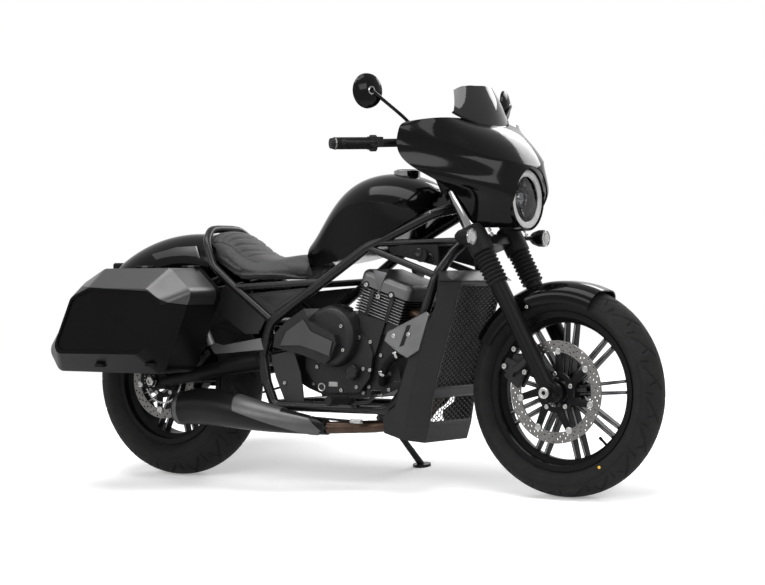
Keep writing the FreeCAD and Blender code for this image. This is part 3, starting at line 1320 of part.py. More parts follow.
@once
def tail_light():
    """Low tail light on the fender's end."""
    spot = fender_tail(REAR_FENDER_RADIUS, REAR_FENDER_TO_ANGLE - TAIL_LIGHT_ANGLE_UP)
    block = Part.makeBox(TAIL_LIGHT_DEPTH * 2, TAIL_LIGHT_WIDTH, TAIL_LIGHT_HEIGHT,
                         V(spot.x - TAIL_LIGHT_DEPTH, -TAIL_LIGHT_WIDTH / 2, spot.z - TAIL_LIGHT_HEIGHT / 2))
    block = block.makeFillet(TAIL_LIGHT_HEIGHT / 4, block.Edges)
    inside = rod(fender_centre() - Y_AXIS * TAIL_LIGHT_WIDTH, fender_centre() + Y_AXIS * TAIL_LIGHT_WIDTH,
                 REAR_FENDER_RADIUS - FENDER_WALL / 2)
    return block.cut(inside).cut(rear_fender())


def plate_hole(side):
    """Middle of one of the two holes that hold the plate."""
    spot = fender_tail(REAR_FENDER_RADIUS, REAR_FENDER_TO_ANGLE)
    return V(spot.x - PLATE_CARRIER_THICKNESS, PLATE_HOLE_SPACING / 2 * side,
             spot.z - TAIL_LIGHT_HEIGHT - PLATE_HOLE_DROP)


@once
def plate_bracket():
    """Plate carrier below the tail light, with two small rear indicators."""
    spot = fender_tail(REAR_FENDER_RADIUS, REAR_FENDER_TO_ANGLE)
    carrier_x = spot.x - PLATE_CARRIER_THICKNESS
    plate = Part.makeBox(PLATE_CARRIER_THICKNESS, PLATE_WIDTH, PLATE_HEIGHT,
                         V(carrier_x, -PLATE_WIDTH / 2, spot.z - PLATE_HEIGHT - TAIL_LIGHT_HEIGHT))
    neck = Part.makeBox(PLATE_HEIGHT / 2, PLATE_WIDTH / 4, TAIL_LIGHT_HEIGHT * PLATE_NECK_HEIGHT_SHARE,
                        V(carrier_x, -PLATE_WIDTH / 8, spot.z - TAIL_LIGHT_HEIGHT * PLATE_NECK_DROP_SHARE))
    pieces = [plate, neck]
    for side in SIDES:
        centre = V(carrier_x, REAR_LAMP_Y * side, spot.z - TAIL_LIGHT_HEIGHT * REAR_LAMP_DROP_SHARE)
        pieces.append(bullet_lamp(centre, V(-1, 0, 0), REAR_LAMP_LENGTH, REAR_LAMP_RADIUS,
                                  V(carrier_x + PLATE_CARRIER_THICKNESS / 2, 0, centre.z)))
    holes = [rod(plate_hole(side) - X_AXIS * OVERRUN, plate_hole(side) + X_AXIS * OVERRUN, PLATE_HOLE_RADIUS)
             for side in SIDES]
    return fused(pieces).cut([rear_fender()] + holes)


# Tank, cap and seat

TANK_HALF_WIDTH = 150.0
TANK_REAR_X = -166.0
TANK_LENGTH = 464.0
TANK_BASE_Z = 690.0
TANK_HEIGHT = 300.0
TANK_SHARES = [
    # along, half width, crease height, top height, bottom height
    (0.00, 0.50, 0.14, 0.32, 0.02),
    (0.18, 0.68, 0.38, 0.67, 0.06),
    (0.36, 0.84, 0.62, 0.90, 0.12),
    (0.58, 0.99, 0.70, 1.00, 0.24),
    (0.80, 0.97, 0.66, 0.97, 0.42),
    (0.95, 0.74, 0.62, 0.86, 0.56),
    (1.00, 0.40, 0.63, 0.76, 0.60),
]
CAP_RADIUS = 42.0
CAP_HEIGHT = 14.0
CAP_X = 168.0
CAP_BELOW = 12.0


SECTION_DOME_SHARES = [(1.00, 1.00), (0.85, 0.52), (0.48, 0.11), (0.00, 0.00)]
TANK_SIDE_SHARES = [(1.00, 0.00), (0.90, 0.50), (0.84, 1.00)]
SEAT_SIDE_SHARES = [(1.00, 0.00), (0.97, 0.40), (0.84, 1.00)]


def crowned_section(x, half_width, crease, top, bottom, side_shares):
    """Section across the tank or seat: domed top, a crease at each side and a flat bottom."""
    dome = [(half_width * across, top - (top - crease) * down) for across, down in SECTION_DOME_SHARES]
    side = [(half_width * across, crease - (crease - bottom) * down) for across, down in side_shares]
    over = [V(x, -y, z) for y, z in dome] + [V(x, y, z) for y, z in reversed(dome[:-1])]
    left = [V(x, y, z) for y, z in side]
    right = [V(x, -y, z) for y, z in reversed(side)]
    return Part.Wire([spline_edge(over), spline_edge(left), Part.makeLine(left[-1], right[0]),
                      spline_edge(right)])


@once
def fuel_tank():
    """Long tank: domed top, creased sides and a saddle over the frame tubes."""
    wires = []
    for along, width, crease, top, bottom in TANK_SHARES:
        wires.append(crowned_section(TANK_REAR_X + along * TANK_LENGTH, width * TANK_HALF_WIDTH,
                                     TANK_BASE_Z + crease * TANK_HEIGHT, TANK_BASE_Z + top * TANK_HEIGHT,
                                     TANK_BASE_Z + bottom * TANK_HEIGHT, TANK_SIDE_SHARES))
    body = loft(wires)
    body = body.cut([cradle_tube(side, RUNNING_GAP) for side in SIDES])
    body = largest(body)
    return body.cut(filler_cap())


def largest(shape):
    """The largest solid of a shape."""
    return max(shape.Solids, key=lambda solid: solid.Volume)


@once
def filler_cap():
    """Low round filler cap set into the tank's top."""
    top = TANK_BASE_Z + TANK_HEIGHT
    body = rod(V(CAP_X, 0, top - CAP_BELOW), V(CAP_X, 0, top + CAP_HEIGHT - CAP_BELOW / 4), CAP_RADIUS)
    return body.makeFillet(CAP_HEIGHT / 4, [body.Edges[0]])


SEAT_HALF_WIDTH = 140.0
SEAT_REAR_X = -566.0
SEAT_LENGTH = 410.0
SEAT_BASE_Z = 632.0
SEAT_HEIGHT = 190.0
SEAT_SHARES = [
    # along, half width, edge height, top height, bottom height
    (0.00, 0.60, 0.88, 0.97, 0.78),
    (0.07, 0.74, 0.78, 1.00, 0.52),
    (0.22, 0.88, 0.60, 0.92, 0.34),
    (0.38, 0.96, 0.38, 0.66, 0.16),
    (0.54, 0.96, 0.28, 0.52, 0.14),
    (0.76, 0.86, 0.28, 0.53, 0.15),
    (1.00, 0.62, 0.34, 0.55, 0.17),
]


@once
def seat():
    """Solo seat with an upswept back, seated on the rails and against the tank."""
    wires = []
    for along, width, edge, top, bottom in SEAT_SHARES:
        wires.append(crowned_section(SEAT_REAR_X + along * SEAT_LENGTH, width * SEAT_HALF_WIDTH,
                                     SEAT_BASE_Z + edge * SEAT_HEIGHT, SEAT_BASE_Z + top * SEAT_HEIGHT,
                                     SEAT_BASE_Z + bottom * SEAT_HEIGHT, SEAT_SIDE_SHARES))
    body = loft(wires)
    for neighbour in [main_frame(), rear_subframe(), fuel_tank(), rear_fender()]:
        body = largest(body.cut(neighbour))
    return body


# Side panels

PANEL_THICKNESS = 6.0
SIDE_PANEL_SHARES = [(-0.530, 0.678), (-0.130, 0.704), (-0.358, 0.600)]
LOWER_PANEL_SHARES = [(-0.627, 0.714), (-0.403, 0.591), (-0.449, 0.536), (-0.523, 0.535), (-0.690, 0.617),
                      (-0.724, 0.668)]
PANEL_SET_IN_SHARE = 0.955
PIVOT_COVER_SHARES = [(-0.377, 0.460), (-0.246, 0.481), (-0.207, 0.400), (-0.190, 0.296), (-0.290, 0.290),
                      (-0.345, 0.381)]


@once
def side_panels():
    """Panels in the frame's triangle, covers behind the seat loop and covers over the arm's pivot."""
    frame = main_frame()
    subframe = rear_subframe()
    pieces = []
    for side in SIDES:
        low = side * FRAME_HALF_WIDTH * PANEL_SET_IN_SHARE
        for shares in (SIDE_PANEL_SHARES, LOWER_PANEL_SHARES, PIVOT_COVER_SHARES):
            plate = side_prism(scaled(shares, FRAME_LENGTH, FRAME_HEIGHT), low - side * PANEL_THICKNESS, low)
            plate = plate.cut([frame, subframe, engine_covers()])
            pieces.append(largest(plate))
    return Part.makeCompound(pieces)


# Engine

CASE_HALF_WIDTH = 92.0
ENGINE_REAR_X = -255.0
ENGINE_LENGTH = 458.0
ENGINE_LOW_Z = 280.0
ENGINE_HEIGHT = 290.0
BARREL_FOOT_SHARE = 0.12
CASE_SHARES = [
    (0.011, 0.552), (0.043, 0.793), (0.228, 0.862), (0.511, 0.930), (0.880, 0.828), (0.967, 0.517),
    (1.000, 0.224), (1.000, 0.131), (0.880, 0.069), (0.685, 0.007), (0.424, 0.000), (0.228, 0.103), (0.087, 0.224),
]
CASE_COVER_HALF_WIDTH = 112.0
CASE_COVER_SHARES = [
    (0.360, 0.952), (0.513, 0.938), (0.655, 0.759), (0.758, 0.655), (0.801, 0.503), (0.775, 0.241), (0.688, 0.076),
    (0.426, 0.062), (0.317, 0.145), (0.229, 0.328), (0.251, 0.552),
]
CAM_COVER_HALF_WIDTH = 106.0
CAM_COVER_SHARES = [(0.690, 0.930), (0.895, 0.850), (0.812, 0.500), (0.755, 0.360), (0.670, 0.450)]
END_COVER_SHARES = (0.644, 0.297)
END_COVER_RADIUS = 25.0
END_COVER_Y = 132.0
CYLINDER_TILT_ANGLE = 18.0
CYLINDER_FOOT_X = 121.0
CYLINDER_FOOT_Z = 530.0
BARREL_LENGTH = 158.0
BARREL_HEIGHT = 93.0
BARREL_HALF_WIDTH = 98.0
FIN_COUNT = 9
FIN_THICKNESS = 3.0
FIN_REACH = 9.0
FIN_FROM_SHARE = 0.12
VALVE_COVER_LENGTH = 196.0
VALVE_COVER_HEIGHT = 50.0
VALVE_COVER_HALF_WIDTH = 110.0
VALVE_COVER_ROUNDING = 22.0
CLUTCH_X = -35.0
CLUTCH_Z = 478.0
CLUTCH_RADIUS = 92.0
CLUTCH_Y = 152.0
CLUTCH_COLLAR = 10.0
CLUTCH_ROUNDING = 20.0
ALTERNATOR_X = 40.0
ALTERNATOR_Z = 420.0
ALTERNATOR_RADIUS = 84.0
ALTERNATOR_Y = 150.0
TRIM_Y = 176.0
TRIM_SHARES = [(0.057, 0.559), (0.070, 0.710), (0.183, 0.862), (0.319, 0.983), (0.365, 0.848), (0.572, 0.703),
               (0.590, 0.607), (0.539, 0.438), (0.493, 0.386), (0.299, 0.483)]
PLATE_SHARES = [(0.124, 0.579), (0.177, 0.731), (0.321, 0.866), (0.386, 0.734), (0.565, 0.631), (0.539, 0.472),
                (0.450, 0.521), (0.295, 0.583)]
PLATE_RAISE = 5.0


def engine_outline(shares):
    """Outline points of an engine piece from shares of the engine's length and height."""
    return placed(shares, ENGINE_REAR_X, ENGINE_LOW_Z, ENGINE_LENGTH, ENGINE_HEIGHT)


@once
def engine_case():
    """Crankcase with its raised side covers, between the frame tubes."""
    body = side_prism(engine_outline(CASE_SHARES), -CASE_HALF_WIDTH, CASE_HALF_WIDTH)
    cover = side_prism(engine_outline(CASE_COVER_SHARES), -CASE_COVER_HALF_WIDTH, CASE_COVER_HALF_WIDTH)
    cam_cover = side_prism(engine_outline(CAM_COVER_SHARES), -CAM_COVER_HALF_WIDTH, CAM_COVER_HALF_WIDTH)
    end_x, end_z = engine_outline([END_COVER_SHARES])[0]
    end_cover = cross_rod(end_x, end_z, 0, -END_COVER_Y, END_COVER_RADIUS)
    drum_room = cross_rod(FRONT_PULLEY_X, FRONT_PULLEY_Z, CASE_HALF_WIDTH, CASE_COVER_HALF_WIDTH + OVERRUN,
                          FRONT_PULLEY_RADIUS + BELT_THICKNESS + BELT_ROOM)
    return fused([body, cover, cam_cover, end_cover]).cut([main_frame(), drum_room])


@once
def engine_covers():
    """Clutch cover on the right and alternator cover on the left."""
    clutch = cone(V(CLUTCH_X, -CASE_HALF_WIDTH, CLUTCH_Z), V(CLUTCH_X, -CLUTCH_Y, CLUTCH_Z),
                  CLUTCH_RADIUS + CLUTCH_COLLAR, CLUTCH_RADIUS)
    outer_rim = min(clutch.Edges, key=lambda edge: edge.CenterOfMass.y)
    clutch = clutch.makeFillet(CLUTCH_ROUNDING, [outer_rim])
    trim = side_prism(engine_outline(TRIM_SHARES), -CASE_HALF_WIDTH, -TRIM_Y)
    alternator = cone(V(ALTERNATOR_X, CASE_HALF_WIDTH, ALTERNATOR_Z), V(ALTERNATOR_X, ALTERNATOR_Y, ALTERNATOR_Z),
                      ALTERNATOR_RADIUS + CLUTCH_COLLAR, ALTERNATOR_RADIUS)
    outer_rim = max(alternator.Edges, key=lambda edge: edge.CenterOfMass.y)
    alternator = alternator.makeFillet(CLUTCH_ROUNDING, [outer_rim])
    frame = main_frame()
    case = engine_case()
    return Part.makeCompound([fused([clutch, trim]).cut(frame).cut(case), alternator.cut(frame).cut(case)])


@once
def clutch_plate():
    """Raised satin plate on the clutch side's trim."""
    body = side_prism(engine_outline(PLATE_SHARES), -TRIM_Y, -TRIM_Y - PLATE_RAISE)
    return body.cut(main_frame())


def tilted(along, up):
    """Point in the cylinders' leaning plane: along the row across the axis and up the axis."""
    turn = math.radians(CYLINDER_TILT_ANGLE)
    return (CYLINDER_FOOT_X + along * math.cos(turn) + up * math.sin(turn),
            CYLINDER_FOOT_Z - along * math.sin(turn) + up * math.cos(turn))


def tilted_block(length, low, high, half_width):
    """Block in the cylinders' leaning plane."""
    outline = [tilted(-length / 2, low), tilted(length / 2, low), tilted(length / 2, high),
               tilted(-length / 2, high)]
    return side_prism(outline, -half_width, half_width)


@once
def cylinders():
    """Cylinder block and head with rows of cooling fins."""
    foot = -ENGINE_HEIGHT * BARREL_FOOT_SHARE
    pieces = [tilted_block(BARREL_LENGTH, foot, BARREL_HEIGHT, BARREL_HALF_WIDTH)]
    fin_from = BARREL_HEIGHT * FIN_FROM_SHARE
    pitch = (BARREL_HEIGHT - fin_from) / FIN_COUNT
    for index in range(FIN_COUNT):
        low = fin_from + index * pitch
        pieces.append(tilted_block(BARREL_LENGTH + FIN_REACH * 2, low, low + FIN_THICKNESS,
                                   BARREL_HALF_WIDTH + FIN_REACH))
    return fused(pieces).cut([engine_case(), engine_covers()])


@once
def valve_cover():
    """Rounded valve cover across both cylinders."""
    body = tilted_block(VALVE_COVER_LENGTH, BARREL_HEIGHT, BARREL_HEIGHT + VALVE_COVER_HEIGHT,
                        VALVE_COVER_HALF_WIDTH)
    up = V(math.sin(math.radians(CYLINDER_TILT_ANGLE)), 0, math.cos(math.radians(CYLINDER_TILT_ANGLE)))
    foot = V(*[tilted(0, BARREL_HEIGHT)[0], 0, tilted(0, BARREL_HEIGHT)[1]])
    upper = [edge for edge in body.Edges
             if (edge.CenterOfMass - foot).dot(up) > VALVE_COVER_HEIGHT / 3]
    return body.makeFillet(VALVE_COVER_ROUNDING, upper)


# Exhaust

PIPE_RADIUS = 19.0
PIPE_BEND_RADIUS = 60.0
PORT_Y = 52.0
PIPE_SHARES = [(0.271, 0.622), (0.374, 0.606), (0.374, 0.333), (0.336, 0.236), (0.171, 0.219), (0.000, 0.217)]
PIPE_DOWN_COUNT = 2
COLLECTOR_Y = -146.0
MUFFLER_SHARES = [
    # along, outward, height, radius
    (0.00, 1.00, 1.00, 1.00), (0.44, 1.08, 0.98, 1.00), (0.66, 1.04, 0.91, 0.80), (0.85, 0.80, 0.85, 0.60),
    (0.99, 0.50, 0.80, 0.43),
]
MUFFLER_REAR_X = -574.0
MUFFLER_LENGTH = 545.0
MUFFLER_Y = -202.0
MUFFLER_Z = 238.0
MUFFLER_RADIUS = 54.0
MUFFLER_INWARD = 104.0
MUFFLER_END_RING = 10.0
MUFFLER_MOUTH_RADIUS = 34.0
SHIELD_GAP = 0.3
SHIELD_WALL = 2.5
SHIELD_SHARES = [(0.420, 1.300), (0.660, 1.300), (0.748, 1.010), (0.906, 0.930), (0.975, 0.760), (0.930, 0.690),
                 (0.850, 0.740), (0.455, 1.010)]


def muffler_rings(extra=0):
    """Round sections of the muffler from its open end forward."""
    rings = []
    for along, outward, height, size in MUFFLER_SHARES:
        centre = V(MUFFLER_REAR_X + along * MUFFLER_LENGTH, MUFFLER_Y + (1 - outward) * MUFFLER_INWARD,
                   MUFFLER_Z * height)
        rings.append(Part.Wire([Part.makeCircle(MUFFLER_RADIUS * size + extra, centre, X_AXIS)]))
    return rings


@once
def muffler():
    """Tapering muffler with a ringed open end."""
    body = loft(muffler_rings())
    centre = V(MUFFLER_REAR_X, MUFFLER_Y, MUFFLER_Z)
    ring = rod(centre - X_AXIS * MUFFLER_END_RING, centre, MUFFLER_RADIUS)
    mouth = rod(centre - X_AXIS * OVERRUN, centre + X_AXIS * MUFFLER_RADIUS, MUFFLER_MOUTH_RADIUS)
    return fused([body, ring]).cut(mouth)


@once
def heat_shields():
    """Pointed heat shield over the upper front of the muffler."""
    outer = loft(muffler_rings(SHIELD_GAP + SHIELD_WALL))
    inner = loft(muffler_rings(SHIELD_GAP))
    skin = outer.cut(inner)
    region = placed(SHIELD_SHARES, MUFFLER_REAR_X, 0, MUFFLER_LENGTH, MUFFLER_Z)
    block = side_prism(region, MUFFLER_Y - MUFFLER_RADIUS * 2, MUFFLER_Y + MUFFLER_INWARD / 2)
    return largest(skin.common(block).cut(main_frame()))


@once
def exhaust_pipes():
    """Two header pipes down the engine's front, merging under it into the muffler."""
    pieces = []
    for side in SIDES:
        points = []
        last = len(PIPE_SHARES) - 1
        for index, (share_x, share_z) in enumerate(PIPE_SHARES):
            merge = max(0, (index - PIPE_DOWN_COUNT) / (last - PIPE_DOWN_COUNT))
            y = side * PORT_Y * (1 - merge) + COLLECTOR_Y * merge
            points.append(V(share_x * FRAME_LENGTH, y, share_z * FRAME_HEIGHT))
        along, outward, height, size = MUFFLER_SHARES[-1]
        points[-1] = V(MUFFLER_REAR_X + MUFFLER_LENGTH * along, MUFFLER_Y + MUFFLER_INWARD * (1 - outward),
                       MUFFLER_Z * height)
        pieces.append(bent_tube(points, PIPE_RADIUS, PIPE_BEND_RADIUS))
    body = fused(pieces)
    for neighbour in (muffler(), cylinders(), engine_case(), main_frame()):
        body = body.cut(neighbour)
    return largest(body)


# Radiator and shroud

SHROUD_HALF_WIDTH = 176.0
SHROUD_WALL = 5.0
SHROUD_FLOOR_SHARE = 0.09
SHROUD_FRONT_WALLS_SHARE = 1.2
SHROUD_BACK_WALLS_SHARE = 0.2
SHROUD_CORE_WALLS_SHARE = 1.5
SHROUD_LENGTH = 275.0
SHROUD_HEIGHT = 540.0
SHROUD_REAR_X = 191.0
SHROUD_LOW_Z = 154.0
SHROUD_SIDE_SHARES = [
    (0.760, 0.985), (0.930, 0.925), (0.560, 0.290), (0.500, 0.100), (0.440, 0.000), (0.300, 0.015), (0.020, 0.055),
    (0.000, 0.150), (0.160, 0.210), (0.325, 0.461), (0.580, 0.672), (0.680, 0.776),
]
SHROUD_CHAMFER = 52.0
MESH_HALF_WIDTH = 122.0
MESH_TOP_SHARE = 0.905
MESH_SPLIT_HIGH_SHARE = 0.310
MESH_SPLIT_LOW_SHARE = 0.265
MESH_BOTTOM_SHARE = 0.110
MESH_WINDOW_SHARES = ((MESH_SPLIT_HIGH_SHARE, MESH_TOP_SHARE), (MESH_BOTTOM_SHARE, MESH_SPLIT_LOW_SHARE))
MESH_PITCH = 34.0
MESH_ANGLE = 58.0
MESH_BAR_WIDTH = 5.0
MESH_RIM_WIDTH = 8.0
MESH_DEPTH = 3.0
MESH_SET_BACK = 1.0
RADIATOR_THICKNESS = 34.0
RADIATOR_HALF_WIDTH = 164.0


def shroud_outline():
    """Side outline of the radiator shroud."""
    return placed(SHROUD_SIDE_SHARES, SHROUD_REAR_X, SHROUD_LOW_Z, SHROUD_LENGTH, SHROUD_HEIGHT)


def shroud_block(inset):
    """Whole shroud block with chamfered front corners, drawn in by a wall."""
    outline = shroud_outline()
    if inset:
        outline = [(x - inset * SHROUD_FRONT_WALLS_SHARE, z) for x, z in outline]
        low = min(z for x, z in outline)
        outline = [(x, z if z > low + SHROUD_HEIGHT * SHROUD_FLOOR_SHARE else z + inset) for x, z in outline]
    half = SHROUD_HALF_WIDTH - inset
    return side_prism(outline, -half, half)


def shroud_front_line(height_share):
    """Point on the shroud's front face at a share of its height."""
    top = SHROUD_SIDE_SHARES[1]
    knee = SHROUD_SIDE_SHARES[2]
    foot = SHROUD_SIDE_SHARES[3]
    upper, lower = (top, knee) if height_share > knee[1] else (knee, foot)
    part = (height_share - lower[1]) / (upper[1] - lower[1])
    share_x = lower[0] + (upper[0] - lower[0]) * part
    return (SHROUD_REAR_X + share_x * SHROUD_LENGTH, SHROUD_LOW_Z + height_share * SHROUD_HEIGHT)


@once
def radiator_shroud():
    """Scoop-shaped shroud, open at the back, with two windows in its face."""
    block = shroud_block(0)
    wedges = []
    for side in SIDES:
        cuts = []
        for share_x, share_z in (SHROUD_SIDE_SHARES[1], SHROUD_SIDE_SHARES[2], SHROUD_SIDE_SHARES[3],
                                 SHROUD_SIDE_SHARES[4]):
            x = SHROUD_REAR_X + share_x * SHROUD_LENGTH
            z = SHROUD_LOW_Z + share_z * SHROUD_HEIGHT
            reach = SHROUD_CHAMFER
            edge_y = side * SHROUD_HALF_WIDTH
            cuts.append(Part.makePolygon([V(x - reach, edge_y, z), V(x, edge_y - side * reach, z),
                                          V(x + reach, edge_y - side * reach, z), V(x + reach, edge_y + side * reach, z),
                                          V(x - reach, edge_y + side * reach, z), V(x - reach, edge_y, z)]))
        wedges.append(cuts)
    for cuts in wedges:
        block = block.cut(loft(cuts, True))
    inner = shroud_block(SHROUD_WALL)
    grown = inner.copy()
    grown.translate(V(-SHROUD_WALL * 2, 0, 0))
    core = inner.fuse(grown)
    for cuts in wedges:
        core_cut = loft(cuts, True)
        core_cut.translate(V(-SHROUD_WALL * SHROUD_CORE_WALLS_SHARE, 0, 0))
        core = core.cut(core_cut)
    shell = block.cut(core)
    shell = shell.cut(shroud_back())
    windows = []
    for low_share, high_share in MESH_WINDOW_SHARES:
        low_x, low_z = shroud_front_line(low_share)
        high_x, high_z = shroud_front_line(high_share)
        outline = [(low_x - SHROUD_WALL * 3, low_z), (low_x + OVERRUN, low_z), (high_x + OVERRUN, high_z),
                   (high_x - SHROUD_WALL * 3, high_z)]
        windows.append(side_prism(outline, -MESH_HALF_WIDTH, MESH_HALF_WIDTH))
    return largest(shell.cut(windows))


def shroud_back():
    """Room behind the shroud, which is open towards the engine."""
    outline = shroud_outline()
    rear = outline[7:] + outline[:1]
    shifted = [(x + SHROUD_WALL * SHROUD_BACK_WALLS_SHARE, z) for x, z in rear]
    far = SHROUD_REAR_X - OVERRUN
    points = [(far, shifted[0][1])] + shifted + [(far, shifted[-1][1])]
    return side_prism(points, -SHROUD_HALF_WIDTH + SHROUD_WALL, SHROUD_HALF_WIDTH - SHROUD_WALL)


def mesh_panel(low_share, high_share):
    """Diamond mesh in a rim that fits one window of the shroud."""
    low_x, low_z = shroud_front_line(low_share)
    high_x, high_z = shroud_front_line(high_share)
    foot = V(low_x, 0, low_z)
    up = V(high_x, 0, high_z) - foot
    height = up.Length
    up.normalize()
    back = up.cross(Y_AXIS)
    half = MESH_HALF_WIDTH

    def at(across, along):
        return foot + Y_AXIS * across + up * along + back * MESH_SET_BACK

    def sheet(corners):
        points = [at(*corner) for corner in corners]
        return Part.Face(Part.makePolygon(points + points[:1])).extrude(back * MESH_DEPTH)

    rim = MESH_RIM_WIDTH
    outside = sheet([(-half, 0), (half, 0), (half, height), (-half, height)])
    opening = sheet([(rim - half, rim), (half - rim, rim), (half - rim, height - rim),
                     (rim - half, height - rim)])
    bars = []
    step = height / math.tan(math.radians(MESH_ANGLE))
    count = math.ceil((2 * half + step) / MESH_PITCH)
    for index in range(count):
        for sign in (-1, 1):
            start = sign * (-half - step + index * MESH_PITCH)
            wide = sign * MESH_BAR_WIDTH
            lean = sign * step
            bars.append(sheet([(start, 0), (start + wide, 0), (start + wide + lean, height),
                               (start + lean, height)]))
    lattice = bars[0].fuse(bars[1:]).common(opening)
    return largest(fused([outside.cut(opening), lattice]))


@once
def shroud_mesh():
    """Mesh panels in the shroud's two windows."""
    return Part.makeCompound([mesh_panel(*window).cut(radiator_shroud()) for window in MESH_WINDOW_SHARES])


@once
def radiator():
    """Radiator core between its side tanks, behind the upper window."""
    low_x, low_z = shroud_front_line(MESH_SPLIT_HIGH_SHARE)
    high_x, high_z = shroud_front_line(MESH_TOP_SHARE)
    back = SHROUD_WALL * 3
    outline = [(low_x - back - RADIATOR_THICKNESS, low_z), (low_x - back, low_z), (high_x - back, high_z),
               (high_x - back - RADIATOR_THICKNESS, high_z)]
    body = side_prism(outline, -RADIATOR_HALF_WIDTH, RADIATOR_HALF_WIDTH)
    for neighbour in (main_frame(), radiator_shroud(), shroud_mesh()):
        body = body.cut(neighbour)
    return largest(body)


BRACKET_SHARES = [(0.290, 0.522), (0.306, 0.551), (0.506, 0.621), (0.523, 0.611), (0.470, 0.491), (0.410, 0.464),
                  (0.370, 0.479)]
BRACKET_FOOT_SHARES = [(0.374, 0.522), (0.471, 0.556), (0.451, 0.502), (0.400, 0.489)]
BRACKET_THICKNESS = 8.0


@once
def shroud_brackets():
    """Pointed side brackets between the shroud's edges and the frame's front tubes."""
    def one(side):
        inner = side * SHROUD_HALF_WIDTH
        plate = side_prism(scaled(BRACKET_SHARES, FRAME_LENGTH, FRAME_HEIGHT), inner,
                           inner + side * BRACKET_THICKNESS)
        block = side_prism(scaled(BRACKET_FOOT_SHARES, FRAME_LENGTH, FRAME_HEIGHT),
                           side * FRAME_FRONT_HALF_WIDTH, inner + side)
        body = fused([plate, block]).cut(main_frame()).cut(radiator_shroud())
        return largest(body)

    return both_sides(one)


HORN_X = 300.0
HORN_Z = 731.0
HORN_RADIUS = 20.0
HORN_Y = 118.0
HORN_DEPTH = 16.0
HORN_PLATE_SHARES = [(0.230, 0.850), (0.500, 0.850), (0.505, 0.775), (0.250, 0.822)]


@once
def horn():
    """Two small round sounders on a plate between the frame's front braces."""
    def one(side):
        outline = scaled(HORN_PLATE_SHARES, FRAME_LENGTH, FRAME_HEIGHT)
        inner = HORN_Y - HORN_DEPTH
        plate = side_prism(outline, side * inner, side * (inner + PANEL_THICKNESS))
        front = cross_rod(HORN_X, HORN_Z, side * inner, side * (HORN_Y + HORN_DEPTH / 2), HORN_RADIUS)
        body = fused([plate, front]).cut(main_frame()).cut(fuel_tank())
        return largest(body)

    return both_sides(one)


# Foot controls

PEG_RADIUS = 13.0
PEG_X = 74.0
PEG_Z = 284.0
PEG_INNER_Y = 166.0
PEG_OUTER_Y = 302.0
PEDAL_RADIUS = 6.0
PEDAL_SHARES = ((0, -1.0), (5.0, -0.5), (8.0, 2.0))
PEDAL_PAD_SHARES = (4.0, 0.7)


@once
def foot_controls():
    """Rider's pegs on the lower tubes, with the brake pedal and the gear lever."""
    def one(side):
        root = V(PEG_X, FRAME_FRONT_HALF_WIDTH * side, CRADLE_BOTTOM_Z)
        knee = V(PEG_X, PEG_INNER_Y * side, PEG_Z - PEG_RADIUS / 2)
        end = V(PEG_X, PEG_OUTER_Y * side, PEG_Z)
        block = bent_tube([root, knee + Y_AXIS * (PEG_RADIUS * side / 2), end], PEG_RADIUS, PEG_RADIUS * 2)
        arm_points = [V(PEG_X + PEG_RADIUS * ahead, (PEG_INNER_Y + PEG_RADIUS) * side, PEG_Z + PEG_RADIUS * up)
                      for ahead, up in PEDAL_SHARES]
        arm = bent_tube(arm_points, PEDAL_RADIUS, PEG_RADIUS * 3)
        pad_length, pad_radius = (PEG_RADIUS * share for share in PEDAL_PAD_SHARES)
        pad = rod(arm_points[-1], arm_points[-1] + Y_AXIS * (side * pad_length), pad_radius)
        return largest(fused([block, arm, pad]).cut(main_frame()))

    return both_sides(one)


PILLION_BRACKET_SHARES = [(-0.409, 0.522), (-0.391, 0.481), (-0.674, 0.462), (-0.700, 0.489), (-0.691, 0.502),
                          (-0.631, 0.493)]
PILLION_PEG_X = -484.0
PILLION_PEG_Z = 446.0
PILLION_SET_OUT_SHARE = 0.4
PILLION_PLATE_SHARE = 1.4
PILLION_TIP_SHARES = (-2.0, 2.0, 6.0)
PILLION_TAPER_SHARE = 0.7


@once
def passenger_pegs():
    """Folded passenger pegs on brackets from the frame's rear tubes."""
    def one(side):
        outline = scaled(PILLION_BRACKET_SHARES, FRAME_LENGTH, FRAME_HEIGHT)
        low = side * (FRAME_HALF_WIDTH + FRAME_TUBE_RADIUS * PILLION_SET_OUT_SHARE)
        plate = side_prism(outline, low, low + side * BRACKET_THICKNESS * PILLION_PLATE_SHARE)
        peg_root = V(PILLION_PEG_X, low + side * PEG_RADIUS, PILLION_PEG_Z)
        back, out, up = (PEG_RADIUS * share for share in PILLION_TIP_SHARES)
        peg_tip = V(PILLION_PEG_X + back, low + side * out, PILLION_PEG_Z + up)
        peg = cone(peg_root, peg_tip, PEG_RADIUS, PEG_RADIUS * PILLION_TAPER_SHARE)
        return largest(fused([plate, peg]).cut(main_frame()).cut(shocks()))

    return both_sides(one)


# Side cases and their lids

